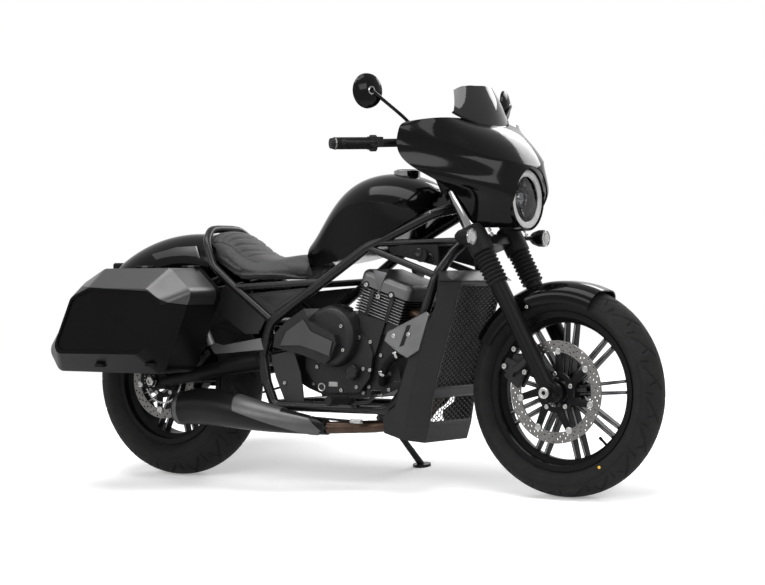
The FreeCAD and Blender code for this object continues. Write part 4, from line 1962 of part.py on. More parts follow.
SIDE_CASE_LENGTH = 604.0
SIDE_CASE_HEIGHT = 340.0
SIDE_CASE_REAR_X = -1024.0
SIDE_CASE_LOW_Z = 355.0
SIDE_CASE_OUTER_Y = 428.0
SIDE_CASE_WALL = 4.0
SIDE_CASE_ROUNDING = 34.0
SIDE_CASE_RECESS = 5.0
SIDE_CASE_FRAME_WIDTH = 12.0
SIDE_CASE_SHARES = [(0.252, 0.855), (0.404, 0.997), (0.859, 1.000), (1.000, 0.776), (0.825, 0.047),
                    (0.776, 0.000), (0.073, 0.003), (0.000, 0.209)]
SIDE_CASE_FACE_SHARES = [(0.270, 0.724), (0.392, 0.812), (0.798, 0.806), (0.911, 0.676), (0.790, 0.253),
                         (0.727, 0.188), (0.171, 0.182), (0.150, 0.262)]
CHAMFER_FROM_Y = 350.0
LID_SEAM_SHARES = [(-0.100, 0.830), (0.268, 0.829), (0.805, 0.785), (0.912, 0.682), (1.100, 0.600)]
LID_GAP = 0.6
LID_EDGE_Y = 216.0
HINGE_RADIUS = 5.0
HINGE_PIN_RADIUS = 2.5
HINGE_KNUCKLE_LENGTH = 24.0
HINGE_X_SHARES = (0.48, 0.80)
HINGE_RAISE_SHARE = 0.6
LID_ROOM_SHARE = 1.2
CASE_SHRINK_X = 2.6
CASE_SHRINK_Z = 2.2


def side_case_outline(shares, inset=0.0):
    """Outline of a side case, drawn in towards its middle by about a wall."""
    points = placed(shares, SIDE_CASE_REAR_X, SIDE_CASE_LOW_Z, SIDE_CASE_LENGTH, SIDE_CASE_HEIGHT)
    if not inset:
        return points
    middle_x = SIDE_CASE_REAR_X + SIDE_CASE_LENGTH / 2
    middle_z = SIDE_CASE_LOW_Z + SIDE_CASE_HEIGHT / 2
    shrink_x = 1 - inset * CASE_SHRINK_X / SIDE_CASE_LENGTH
    shrink_z = 1 - inset * CASE_SHRINK_Z / SIDE_CASE_HEIGHT
    return [(middle_x + (x - middle_x) * shrink_x, middle_z + (z - middle_z) * shrink_z) for x, z in points]


def side_case_block(side, inset=0.0):
    """Whole form of a side case with its lid: straight back, rounded corners, recessed outer face."""
    rounding = SIDE_CASE_ROUNDING - inset

    def wire(shares, y, drawn_in=inset):
        return rounded_wire([V(x, y * side, z) for x, z in side_case_outline(shares, drawn_in)], rounding)

    outer_y = SIDE_CASE_OUTER_Y - inset
    if inset:
        outer_y -= SIDE_CASE_RECESS
    body = loft([wire(SIDE_CASE_SHARES, CASE_INNER_Y + inset), wire(SIDE_CASE_SHARES, CHAMFER_FROM_Y),
                 wire(SIDE_CASE_FACE_SHARES, outer_y)], True)
    if inset:
        return body
    panel = Part.Face(wire(SIDE_CASE_FACE_SHARES, outer_y - SIDE_CASE_RECESS, SIDE_CASE_FRAME_WIDTH))
    return body.cut(panel.extrude(Y_AXIS * (side * OVERRUN)))


def lid_room(side, grow):
    """Region of a side case that belongs to its lid."""
    seam = placed(LID_SEAM_SHARES, SIDE_CASE_REAR_X, SIDE_CASE_LOW_Z, SIDE_CASE_LENGTH, SIDE_CASE_HEIGHT)
    seam = [(x, z - grow) for x, z in seam]
    roof = SIDE_CASE_LOW_Z + SIDE_CASE_HEIGHT * LID_ROOM_SHARE
    outline = seam + [(seam[-1][0], roof), (seam[0][0], roof)]
    return side_prism(outline, side * (LID_EDGE_Y - grow), side * (SIDE_CASE_OUTER_Y + OVERRUN))


def hinge_line():
    """Height of the lid hinge's axis."""
    return SIDE_CASE_LOW_Z + SIDE_CASE_HEIGHT + HINGE_RADIUS * HINGE_RAISE_SHARE


def hinge_pieces(side, radius, shift, length):
    """Knuckle cylinders on the lid's hinge line."""
    pieces = []
    for share in HINGE_X_SHARES:
        x = SIDE_CASE_REAR_X + share * SIDE_CASE_LENGTH + shift
        start = V(x, LID_EDGE_Y * side, hinge_line())
        pieces.append(rod(start, start + X_AXIS * length, radius))
    return pieces


def side_case(side):
    """Open case below its lid, with the hinge's outer knuckles and pins."""
    shell = side_case_block(side).cut(side_case_block(side, SIDE_CASE_WALL))
    body = shell.cut(lid_room(side, LID_GAP))
    reach = HINGE_KNUCKLE_LENGTH
    gap = RUNNING_GAP
    body = body.cut(hinge_pieces(side, HINGE_RADIUS + LID_GAP, -gap, reach + gap * 2))
    knuckles = hinge_pieces(side, HINGE_RADIUS, -reach - gap, reach)
    knuckles += hinge_pieces(side, HINGE_RADIUS, reach + gap, reach)
    pins = hinge_pieces(side, HINGE_PIN_RADIUS, -reach, reach * 3)
    return fused([body] + knuckles + pins)


def lid(side):
    """Hinged lid of a side case, with the hinge's middle knuckles."""
    shell = side_case_block(side).cut(side_case_block(side, SIDE_CASE_WALL))
    body = shell.common(lid_room(side, 0))
    reach = HINGE_KNUCKLE_LENGTH
    gap = RUNNING_GAP
    room = hinge_pieces(side, HINGE_RADIUS + LID_GAP, -reach - gap * 2, reach + gap * 2) + \
        hinge_pieces(side, HINGE_RADIUS + LID_GAP, reach, reach + gap * 2)
    body = body.cut(room)
    body = fused([body] + hinge_pieces(side, HINGE_RADIUS, 0, reach))
    body = body.cut(hinge_pieces(side, HINGE_PIN_RADIUS + RUNNING_GAP, -reach * 2, reach * 5))
    return largest(body)


@once
def pannier_cases():
    """The two hollow side cases."""
    return both_sides(side_case)


@once
def lid_right():
    """Lid of the right case."""
    return lid(RIGHT)


@once
def lid_left():
    """Lid of the left case."""
    return lid(LEFT)


# Side stand

STAND_PIVOT_X = -40.0
STAND_PIVOT_Y = 184.0
STAND_PIVOT_Z = 214.0
STAND_FOOT_X = 34.0
STAND_FOOT_Y = 292.0
STAND_LEG_RADIUS = 11.0
STAND_FOOT_RADIUS = 30.0
STAND_FOOT_THICKNESS = 9.0
STAND_PIN_RADIUS = 6.0
STAND_EYE_RADIUS = 17.0
STAND_EYE_WIDTH = 18.0
STAND_ROOT_SHARE = 0.95
STAND_ARM_SHARE = 0.7
STAND_HEAD_SHARE = 1.8
STAND_FOLDED = V(-1, 0.10, 0.04)


def ground_height(y):
    """Height of the leaned machine's ground under a Y value."""
    return y * math.tan(math.radians(LEAN_ANGLE))


def stand_pivot():
    """Middle of the stand's pivot pin."""
    return V(STAND_PIVOT_X, STAND_PIVOT_Y, STAND_PIVOT_Z)


def stand_foot():
    """Point on the ground under the middle of the stand's foot."""
    return V(STAND_FOOT_X, STAND_FOOT_Y, ground_height(STAND_FOOT_Y))


def stand_axis():
    """Axis that takes the stand's leg from its parked place to its folded place."""
    down = (stand_foot() - stand_pivot()).normalize()
    return down.cross(V(STAND_FOLDED)).normalize()


def ground_up():
    """Unit vector square to the leaned machine's ground."""
    turn = math.radians(LEAN_ANGLE)
    return V(0, -math.sin(turn), math.cos(turn))


@once
def side_stand():
    """Side stand: eye on the pivot, round leg and a flat round foot on the ground."""
    axis = stand_axis()
    pivot = stand_pivot()
    foot = stand_foot()
    up = ground_up()
    eye = rod(pivot - axis * (STAND_EYE_WIDTH / 2), pivot + axis * (STAND_EYE_WIDTH / 2), STAND_EYE_RADIUS)
    leg = cone(pivot, foot + up * (STAND_FOOT_THICKNESS / 2), STAND_EYE_WIDTH / 2, STAND_LEG_RADIUS)
    pad = rod(foot, foot + up * STAND_FOOT_THICKNESS, STAND_FOOT_RADIUS)
    body = fused([eye, leg, pad])
    under = rod(foot - up * OVERRUN, foot, STAND_FOOT_RADIUS * 2)
    through = axis * STAND_EYE_WIDTH * 2
    hole = rod(pivot - through, pivot + through, STAND_PIN_RADIUS + RUNNING_GAP)
    return largest(body.cut(under).cut(hole))


def stand_bracket():
    """Lug on the left lower tube with the stand's pivot pin."""
    axis = stand_axis()
    pivot = stand_pivot()
    inner = pivot - axis * (STAND_EYE_WIDTH / 2 + RUNNING_GAP)
    outer = pivot + axis * (STAND_EYE_WIDTH / 2 + RUNNING_GAP)
    root = V(STAND_PIVOT_X, FRAME_HALF_WIDTH * STAND_ROOT_SHARE, CRADLE_BOTTOM_Z)
    lug = rod(inner - axis * STAND_EYE_WIDTH, inner, STAND_EYE_RADIUS)
    arm = rod(root, inner - axis * (STAND_EYE_WIDTH / 2), STAND_EYE_RADIUS * STAND_ARM_SHARE)
    swing = rod(inner, outer + axis * STAND_EYE_WIDTH, STAND_EYE_RADIUS * 2)
    pin = rod(inner - axis, outer + axis * STAND_PIN_RADIUS, STAND_PIN_RADIUS)
    head = rod(outer, outer + axis * STAND_PIN_RADIUS, STAND_PIN_RADIUS * STAND_HEAD_SHARE)
    return fused([fused([lug, arm]).cut(swing), pin, head])


NODES = (
    front_tyre, rear_tyre, front_rim, rear_rim, front_disc, rear_disc, rear_pulley, drive_belt,
    fork_legs, fork_gaiters, yokes, handlebar, controls, mirrors, front_fender, front_caliper,
    headlight, fairing, windscreen, front_indicators, instrument,
    main_frame, rear_subframe, swingarm, shocks, rear_caliper, rear_fender, tail_light, plate_bracket,
    fuel_tank, filler_cap, seat, side_panels, engine_case, engine_covers, clutch_plate, cylinders,
    valve_cover, exhaust_pipes, muffler, heat_shields, radiator, radiator_shroud, shroud_mesh,
    shroud_brackets, horn,
    foot_controls, passenger_pegs, pannier_cases, lid_right, lid_left, side_stand,
)


def leaned(shape):
    """The shape with the machine leaned over to its left."""
    copy = shape.copy()
    copy.rotate(V(0, 0, 0), X_AXIS, -LEAN_ANGLE)
    return copy


def main():
    """Leans every piece onto the stand, puts the origin under the machine's middle and exports."""
    shapes = {make.__name__: leaned(make()) for make in NODES}
    box = Part.makeCompound(list(shapes.values())).optimalBoundingBox(False, False)
    shift = V(-(box.XMin + box.XMax) / 2, -(box.YMin + box.YMax) / 2, 0)
    os.makedirs("parts", exist_ok=True)
    for name, shape in shapes.items():
        shape.translate(shift)
        shape.exportStep("parts/" + name + ".step")
    print("shift", shift.x, shift.y, "bottom", box.ZMin, "size", box.XLength, box.YLength, box.ZLength)


if __name__ == "__main__":
    main()
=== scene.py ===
"""Dresses the touring cruiser motorcycle: finishes, tread, drilled discs, seat cover, mesh and small parts.

Everything is drawn with the machine upright and in millimetres, as its maker would, and is then put
onto the leaning frame with one matrix that is read from the front wheel's joint.
"""

import json
import logging
import math
from collections.abc import Iterable, Sequence
from dataclasses import dataclass, field
from enum import Enum

import bmesh
import bpy
from mathutils import Matrix, Vector
from mathutils.bvhtree import BVHTree

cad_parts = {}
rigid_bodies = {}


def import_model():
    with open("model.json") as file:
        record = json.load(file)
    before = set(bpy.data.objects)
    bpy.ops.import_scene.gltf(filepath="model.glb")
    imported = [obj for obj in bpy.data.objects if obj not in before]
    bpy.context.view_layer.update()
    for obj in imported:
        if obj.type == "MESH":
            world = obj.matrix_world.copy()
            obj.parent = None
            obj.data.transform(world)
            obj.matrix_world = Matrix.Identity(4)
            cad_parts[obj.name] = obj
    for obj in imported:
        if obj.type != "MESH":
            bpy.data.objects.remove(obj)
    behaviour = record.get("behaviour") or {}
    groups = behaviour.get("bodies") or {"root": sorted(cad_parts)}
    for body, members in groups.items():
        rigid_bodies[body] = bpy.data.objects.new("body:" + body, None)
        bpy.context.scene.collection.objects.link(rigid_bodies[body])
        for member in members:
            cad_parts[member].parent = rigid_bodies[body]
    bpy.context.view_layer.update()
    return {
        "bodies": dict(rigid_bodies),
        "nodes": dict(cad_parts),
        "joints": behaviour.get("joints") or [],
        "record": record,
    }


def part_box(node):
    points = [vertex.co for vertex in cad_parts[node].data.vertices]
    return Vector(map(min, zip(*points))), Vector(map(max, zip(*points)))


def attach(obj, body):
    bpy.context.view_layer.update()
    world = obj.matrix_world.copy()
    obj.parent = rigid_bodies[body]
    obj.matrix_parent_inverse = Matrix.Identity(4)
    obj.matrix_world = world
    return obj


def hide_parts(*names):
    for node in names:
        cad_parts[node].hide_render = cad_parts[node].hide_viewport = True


LOG = logging.getLogger("motorcycle")
MM = 0.001
SIDES = (-1, 1)
X_AXIS = Vector((1, 0, 0))
Y_AXIS = Vector((0, 1, 0))
Z_AXIS = Vector((0, 0, 1))
FRONT_AXLE = Vector((744.67, 0, 320.74))
REAR_AXLE = Vector((-745.0, 0, 320.98))
RAKE = math.radians(29)
FORK_UP = Vector((-math.sin(RAKE), 0, math.cos(RAKE)))
FORK_AHEAD = Vector((math.cos(RAKE), 0, math.sin(RAKE)))
LEG_Y = 105.0
CYLINDER_FOOT = Vector((121, 0, 530))
CYLINDER_LEAN = math.radians(18)
Colour = tuple[float, float, float]
Outline = Sequence[tuple[float, float]]
Line = Sequence[tuple[float, float, float]]
Shape = bmesh.types.BMesh


class Body(Enum):
    """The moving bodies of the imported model."""

    FRAME = "frame"
    STEERING = "steering"
    FRONT_WHEEL = "front_wheel"
    REAR_WHEEL = "rear_wheel"
    SIDE_STAND = "side_stand"
    LID_RIGHT = "lid_right"
    LID_LEFT = "lid_left"


class Grain(Enum):
    """How the fine relief of a finish is made."""

    NOISE = "noise"
    BRUSHED = "brushed"
    LEATHER = "leather"


def point_at(x: float, y: float, z: float) -> Vector:
    """Starts a dataclass field as a point of its own."""
    return field(default_factory=lambda: Vector((x, y, z)))


def set_inputs(node: bpy.types.ShaderNode, **values: float) -> None:
    """Sets a node's inputs, named in lower case with underscores, to constant values."""
    titles = {title.lower().replace(" ", "_"): title for title in node.inputs.keys()}
    for name, value in values.items():
        node.inputs[titles[name]].default_value = value


def mixed(tree: bpy.types.NodeTree, share: bpy.types.NodeSocket, first: bpy.types.ShaderNode,
          second: bpy.types.ShaderNode) -> bpy.types.ShaderNode:
    """Mixes two shaders by a value.

    Args:
        tree: The node tree to add to.
        share: Socket of the value, 0 for the first shader and 1 for the second.
        first: One shader.
        second: The other shader.

    Returns:
        The mix.
    """
    made = tree.nodes.new("ShaderNodeMixShader")
    for socket, place in zip((share, first.outputs[0], second.outputs[0]), made.inputs):
        tree.links.new(socket, place)
    return made


@dataclass(frozen=True)
class Finish:
    """A procedural finish: two close colours, a roughness range and a fine relief.

    Scales are per metre, relief is in metres, and every other value is a shader setting.
    """

    name: str
    colour: Colour
    second: Colour
    roughness: tuple[float, float]
    metallic: float = 0.0
    patch_scale: float = 9.0
    grain: Grain = Grain.NOISE
    grain_scale: float = 900.0
    relief: float = 0.0001
    strength: float = 0.15
    coat: float = 0.0
    coat_roughness: float = 0.03
    specular: float = 0.5
    transmission: float = 0.0
    ior: float = 1.5
    sheen: float = 0.0
    edge: float = 0.0012

    def material(self) -> bpy.types.Material:
        """Makes the material once and returns it after that.

        Returns:
            The node material of this finish.
        """
        found = bpy.data.materials.get("finish_" + self.name)
        if found is not None:
            return found
        made = bpy.data.materials.new("finish_" + self.name)
        made.use_nodes = True
        nodes = made.node_tree.nodes
        links = made.node_tree.links
        shader = nodes["Principled BSDF"]
        set_inputs(shader, metallic=self.metallic, specular_ior_level=self.specular, ior=self.ior,
                   coat_weight=self.coat, coat_roughness=self.coat_roughness,
                   transmission_weight=self.transmission, sheen_weight=self.sheen)
        place = nodes.new("ShaderNodeTexCoord")
        patches = nodes.new("ShaderNodeTexNoise")
        set_inputs(patches, scale=self.patch_scale, detail=5.0)
        links.new(place.outputs["Object"], patches.inputs["Vector"])
        tint = nodes.new("ShaderNodeValToRGB")
        tint.color_ramp.elements[0].position = 0.3
        tint.color_ramp.elements[0].color = (*self.colour, 1)
        tint.color_ramp.elements[1].position = 0.7
        tint.color_ramp.elements[1].color = (*self.second, 1)
        links.new(patches.outputs["Fac"], tint.inputs["Fac"])
        links.new(tint.outputs["Color"], shader.inputs["Base Color"])
        smudge = nodes.new("ShaderNodeTexNoise")
        set_inputs(smudge, scale=self.patch_scale * 5, detail=6.0)
        links.new(place.outputs["Object"], smudge.inputs["Vector"])
        span = nodes.new("ShaderNodeMapRange")
        set_inputs(span, from_min=0.3, from_max=0.7, to_min=self.roughness[0], to_max=self.roughness[1])
        links.new(smudge.outputs["Fac"], span.inputs["Value"])
        links.new(span.outputs["Result"], shader.inputs["Roughness"])
        self._add_relief(nodes, links, place, shader)
        return made

    def _add_relief(self, nodes: bpy.types.Nodes, links: bpy.types.NodeLinks, place: bpy.types.ShaderNode,
                    shader: bpy.types.ShaderNode) -> None:
        """Adds the fine bump of this finish.

        Args:
            nodes: The material's nodes.
            links: The material's links.
            place: The texture coordinate node.
            shader: The principled shader.
        """
        spread = nodes.new("ShaderNodeMapping")
        if self.grain is Grain.BRUSHED:
            spread.inputs["Scale"].default_value = (0.04, 1.0, 1.0)
        links.new(place.outputs["Object"], spread.inputs["Vector"])
        if self.grain is Grain.LEATHER:
            fine = nodes.new("ShaderNodeTexVoronoi")
            fine.feature = "SMOOTH_F1"
            height = fine.outputs["Distance"]
        else:
            fine = nodes.new("ShaderNodeTexNoise")
            set_inputs(fine, detail=3.0)
            height = fine.outputs["Fac"]
        set_inputs(fine, scale=self.grain_scale)
        links.new(spread.outputs["Vector"], fine.inputs["Vector"])
        bump = nodes.new("ShaderNodeBump")
        if self.edge:
            rounded = nodes.new("ShaderNodeBevel")
            rounded.samples = 4
            set_inputs(rounded, radius=self.edge)
            links.new(rounded.outputs["Normal"], bump.inputs["Normal"])
        set_inputs(bump, strength=self.strength, distance=self.relief)
        links.new(height, bump.inputs["Height"])
        links.new(bump.outputs["Normal"], shader.inputs["Normal"])


GLOSS_BLACK = Finish("gloss_black", (0.0016, 0.0016, 0.0017), (0.0024, 0.0024, 0.0026), (0.1, 0.16),
                     coat=0.1, coat_roughness=0.05, specular=0.06, grain_scale=260, relief=0.0003,
                     strength=0.02)
SATIN_BLACK = Finish("satin_black", (0.0036, 0.0036, 0.0038), (0.0052, 0.0052, 0.0055), (0.36, 0.46),
                     specular=0.08)
FRAME_BLACK = Finish("frame_black", (0.004, 0.004, 0.0043), (0.006, 0.006, 0.0063), (0.24, 0.34),
                     specular=0.2, grain_scale=500)
MATT_BLACK = Finish("matt_black", (0.006, 0.006, 0.0063), (0.009, 0.009, 0.0093), (0.55, 0.7), specular=0.14,
                    strength=0.3)
MOULDED_BLACK = Finish("moulded_black", (0.0065, 0.0065, 0.0068), (0.0085, 0.0085, 0.0088), (0.4, 0.48),
                       grain_scale=1500, relief=0.0002, strength=0.3, specular=0.2, edge=0.007)
NET_BLACK = Finish("net_black", (0.016, 0.016, 0.0165), (0.021, 0.021, 0.0215), (0.4, 0.5), grain_scale=1500,
                   relief=0.0002, strength=0.3, specular=0.3)
CASE_BLACK = Finish("case_black", (0.0024, 0.0024, 0.0026), (0.003, 0.003, 0.0032), (0.3, 0.36),
                    specular=0.05, patch_scale=5, grain_scale=1200, strength=0.08)
# Painted highlight: the lids are the cases' own black, painted lighter than the cases for the light that
# falls on them from above.
LID_BLACK_PAINTED_HIGHLIGHT = Finish("lid_black_painted_highlight", (0.008, 0.008, 0.0083), (0.0095, 0.0095, 0.0098), (0.3, 0.36), specular=0.5,
                   patch_scale=5, grain_scale=1200, strength=0.08)
PANEL_BLACK = Finish("panel_black", (0.0085, 0.0085, 0.0088), (0.0105, 0.0105, 0.0108), (0.34, 0.4),
                     specular=0.35, grain_scale=1300, strength=0.15)
PANEL_EDGE = Finish("panel_edge", (0.022, 0.022, 0.0225), (0.028, 0.028, 0.0285), (0.32, 0.38), specular=0.4,
                    grain_scale=1300, strength=0.15)
PLATE_GREY = Finish("plate_grey", (0.034, 0.034, 0.035), (0.043, 0.043, 0.044), (0.36, 0.42), metallic=0.5,
                    grain_scale=1500, strength=0.2)
RUBBER = Finish("rubber", (0.0052, 0.0052, 0.0052), (0.0078, 0.0077, 0.0076), (0.62, 0.8), patch_scale=14,
                grain_scale=1400, relief=0.0003, strength=0.4, specular=0.07)
TREAD_RUBBER = Finish("tread_rubber", (0.0095, 0.0095, 0.0094), (0.0135, 0.0133, 0.013), (0.7, 0.86),
                      patch_scale=22, grain_scale=1100, relief=0.0003, strength=0.35, specular=0.12)
VINYL = Finish("vinyl", (0.026, 0.026, 0.0265), (0.034, 0.034, 0.0345), (0.5, 0.62), patch_scale=12,
               grain=Grain.LEATHER, grain_scale=520, relief=0.0005, strength=0.3, specular=0.18, sheen=0.08)
STEEL = Finish("steel", (0.115, 0.111, 0.107), (0.145, 0.14, 0.135), (0.32, 0.42), metallic=0.9,
               patch_scale=20, grain=Grain.BRUSHED, grain_scale=1800, strength=0.2)
CHROME = Finish("chrome", (0.2, 0.2, 0.203), (0.24, 0.24, 0.243), (0.06, 0.12), metallic=1.0)
ZINC = Finish("zinc", (0.3, 0.3, 0.295), (0.38, 0.38, 0.37), (0.25, 0.36), metallic=1.0, patch_scale=60)
MACHINED = Finish("machined", (0.13, 0.13, 0.132), (0.17, 0.17, 0.172), (0.26, 0.36), metallic=1.0,
                  grain=Grain.BRUSHED, grain_scale=2200, strength=0.2)
GUNMETAL = Finish("gunmetal", (0.06, 0.06, 0.061), (0.078, 0.078, 0.079), (0.36, 0.44), metallic=0.6,
                  grain=Grain.BRUSHED, grain_scale=1600, strength=0.25, specular=0.25)
COVER_GREY = Finish("cover_grey", (0.078, 0.078, 0.080), (0.098, 0.098, 0.1), (0.36, 0.44), metallic=0.6,
                    grain_scale=1300, strength=0.2)
CAST_BLACK = Finish("cast_black", (0.0065, 0.0065, 0.0068), (0.0105, 0.0105, 0.0108), (0.4, 0.55),
                    patch_scale=30, grain_scale=700, relief=0.0004, strength=0.4, specular=0.2)
BRACKET_GREY = Finish("bracket_grey", (0.11, 0.11, 0.112), (0.14, 0.14, 0.142), (0.34, 0.44), metallic=0.8,
                      grain_scale=1300, strength=0.2)
# Painted highlight: a lighter copy of the bracket grey, for the light that the brackets' edges catch.
BRACKET_PAINTED_HIGHLIGHT = Finish("bracket_painted_highlight", (0.2, 0.2, 0.202), (0.25, 0.25, 0.252), (0.3, 0.4), metallic=0.9,
                      grain_scale=1300, strength=0.2)
MUFFLER_BLACK = Finish("muffler_black", (0.0036, 0.0036, 0.0038), (0.0046, 0.0046, 0.0049), (0.3, 0.34),
                       patch_scale=4, specular=0.12, strength=0.05)
BRONZE = Finish("bronze", (0.035, 0.022, 0.016), (0.06, 0.04, 0.029), (0.34, 0.5), metallic=0.9,
                patch_scale=35)
SMOKED = Finish("smoked", (0.004, 0.004, 0.0043), (0.006, 0.006, 0.0063), (0.05, 0.09), coat=0.3,
                specular=0.15)
LAMP_WHITE = Finish("lamp_white", (0.36, 0.36, 0.36), (0.44, 0.44, 0.435), (0.25, 0.35), patch_scale=40,
                    relief=0.0004, strength=0.3)
LAMP_DARK = Finish("lamp_dark", (0.018, 0.018, 0.019), (0.032, 0.032, 0.034), (0.14, 0.22), metallic=0.8)
CLEAR = Finish("clear", (0.93, 0.93, 0.93), (0.96, 0.96, 0.96), (0.02, 0.05), transmission=1.0, ior=1.15,
               relief=0.0, specular=0.2, edge=0.0)
RED_LENS = Finish("red_lens", (0.16, 0.008, 0.007), (0.22, 0.011, 0.009), (0.1, 0.16), coat=0.4)
MIRROR_GLASS = Finish("mirror_glass", (0.5, 0.51, 0.52), (0.54, 0.55, 0.56), (0.01, 0.03), metallic=1.0)
LABEL_GREY = Finish("label_grey", (0.3, 0.3, 0.295), (0.36, 0.36, 0.355), (0.4, 0.5), specular=0.3)
CORE_GREY = Finish("core_grey", (0.004, 0.004, 0.004), (0.008, 0.008, 0.008), (0.5, 0.7), grain_scale=400,
                   strength=0.5, specular=0.2)
LAMP_LENS = Finish("lamp_lens", (0.06, 0.062, 0.066), (0.09, 0.093, 0.098), (0.05, 0.09), metallic=0.7,
                   coat=0.6)
LENS_PALE = Finish("lens_pale", (0.34, 0.34, 0.335), (0.42, 0.42, 0.415), (0.1, 0.18), coat=0.6, specular=0.5,
                   patch_scale=60, metallic=0.2, relief=0.0006, strength=0.5)
YELLOW_DOT = Finish("yellow_dot", (0.62, 0.34, 0.02), (0.68, 0.39, 0.03), (0.5, 0.6))


@dataclass
class Stance:
    """Takes an upright point in millimetres to the leaning frame in metres."""

    matrix: Matrix = field(default_factory=Matrix)

    @classmethod
    def from_joints(cls, joints: Sequence[dict]) -> "Stance":
        """Reads the lean and the place from the front wheel's joint.

        Args:
            joints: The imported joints.

        Returns:
            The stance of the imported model.
        """
        wheel = next(joint for joint in joints if joint["name"] == "front_wheel_spin")
        axis = Vector(wheel["axis"])
        lean = Matrix.Rotation(math.atan2(axis.z, axis.y), 4, "X")
        axle = lean @ (FRONT_AXLE * MM)
        shift = Vector(wheel["pos_m"]) - axle
        return cls(Matrix.Translation(shift) @ lean @ Matrix.Scale(MM, 4))


STANCE = Stance()


def on_leg(along: float, side: float = 0, ahead: float = 0) -> Vector:
    """Point at a distance up a fork leg from the axle, or between the legs for side 0."""
    return FRONT_AXLE + FORK_UP * along + FORK_AHEAD * ahead + Y_AXIS * (LEG_Y * side)


def towards(direction: Vector, centre: Vector) -> Matrix:
    """Matrix that puts a shape's own Z axis along a direction, at a centre."""
    return Matrix.Translation(centre) @ direction.to_track_quat("Z", "Y").to_matrix().to_4x4()


def mesh_of(bm: Shape, name: str) -> bpy.types.Mesh:
    """Puts a drawn shape into a new mesh and frees the shape."""
    mesh = bpy.data.meshes.new(name)
    bm.to_mesh(mesh)
    bm.free()
    return mesh


def add_object(name: str, data: bpy.types.ID) -> bpy.types.Object:
    """Makes an object of some data and links it to the scene."""
    made = bpy.data.objects.new(name, data)
    bpy.context.scene.collection.objects.link(made)
    return made


def finish_piece(bm: Shape, name: str, finish: Finish, body: Body, crease: float = 35.0,
                 stands_for: Sequence[str] = (), outward: bool = True) -> bpy.types.Object:
    """Puts a drawn shape onto the frame as a finished piece.

    Args:
        bm: The shape, upright and in millimetres. It is freed.
        name: The piece's name.
        finish: Its finish.
        body: The body that it rides on.
        crease: Edges sharper than this many degrees stay sharp.
        stands_for: CAD nodes that it replaces.
        outward: Whether its doubles are merged and its faces are turned outwards here.

    Returns:
        The new object.
    """
    if outward:
        bmesh.ops.remove_doubles(bm, verts=bm.verts, dist=0.01)
        bmesh.ops.recalc_face_normals(bm, faces=bm.faces)
    bm.transform(STANCE.matrix)
    mesh = mesh_of(bm, name)
    mesh.shade_smooth()
    mesh.set_sharp_from_angle(angle=math.radians(crease))
    piece = add_object(name, mesh)
    mesh.materials.append(finish.material())
    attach(piece, body.value)
    if stands_for:
        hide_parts(*stands_for)
    LOG.info("piece %s: %d faces", name, len(mesh.polygons))
    return piece


def dress(frame: dict, finish: Finish, *nodes: str) -> None:
    """Gives carried-over CAD nodes their finish.

    Args:
        frame: The loaded frame.
        finish: The finish.
        *nodes: The nodes' names.
    """
    for node in nodes:
        mesh = frame["nodes"][node].data
        mesh.materials.clear()
        mesh.materials.append(finish.material())


def round_edges(bm: Shape, edges: Iterable[bmesh.types.BMEdge], radius: float) -> None:
    """Rounds edges of a shape, or leaves them sharp for a radius of 0.

    Args:
        bm: The shape.
        edges: Its edges to round.
        radius: How far the rounding reaches on each side.
    """
    if radius:
        bmesh.ops.bevel(bm, geom=list(edges), offset=radius, offset_type="OFFSET", segments=2, profile=0.5,
                        affect="EDGES", material=-1, clamp_overlap=True)


def corners_of(made: dict) -> list[bmesh.types.BMVert]:
    """The vertices among what an operator made."""
    return [item for item in made["geom"] if isinstance(item, bmesh.types.BMVert)]


def add_rod(bm: Shape, start: Vector, end: Vector, radius: float, end_radius: float | None = None,
            segments: int = 24, bevel: float = 0.0) -> None:
    """Adds a round bar between two points.

    Args:
        bm: The shape to add to.
        start: Middle of one end.
        end: Middle of the other end.
        radius: Radius at the start.
        end_radius: Radius at the end, or the same.
        segments: Sides of the bar.
        bevel: Rounding of both end rims.
    """
    along = end - start
    made = bmesh.ops.create_cone(bm, cap_ends=True, segments=segments, radius1=radius,
                                 radius2=radius if end_radius is None else end_radius, depth=along.length,
                                 matrix=towards(along, (start + end) / 2))
    rims = {edge for vert in made["verts"] for edge in vert.link_edges
            if any(len(face.verts) > 4 for face in edge.link_faces)}
    round_edges(bm, rims, bevel)


def add_block(bm: Shape, centre: Vector, size: Vector, turn: Matrix | None = None,
              bevel: float = 0.0) -> None:
    """Adds a box with rounded edges.

    Args:
        bm: The shape to add to.
        centre: Middle of the box.
        size: Its three lengths.
        turn: Its rotation.
        bevel: Rounding of its edges.
    """
    matrix = Matrix.Translation(centre) @ (turn or Matrix()) @ Matrix.Diagonal((*size, 1))
    made = bmesh.ops.create_cube(bm, size=1.0, matrix=matrix)
    round_edges(bm, {edge for vert in made["verts"] for edge in vert.link_edges}, bevel)


def add_turned(bm: Shape, profile: Iterable[Vector], centre: Vector, axis: Vector, steps: int = 64,
               closed: bool = False) -> None:
    """Turns a line of points once round an axis.

    Args:
        bm: The shape to add to.
        profile: The line's points.
        centre: A point on the axis.
        axis: The axis.
        steps: Faces round the turn.
        closed: Whether the line's ends are joined.
    """
    verts = [bm.verts.new(point) for point in profile]
    pairs = list(zip(verts, verts[1:]))
    if closed:
        pairs.append((verts[-1], verts[0]))
    edges = [bm.edges.new(pair) for pair in pairs]
    bmesh.ops.spin(bm, geom=verts + edges, cent=centre, axis=axis, angle=math.tau, steps=steps,
                   use_merge=True, use_normal_flip=False)


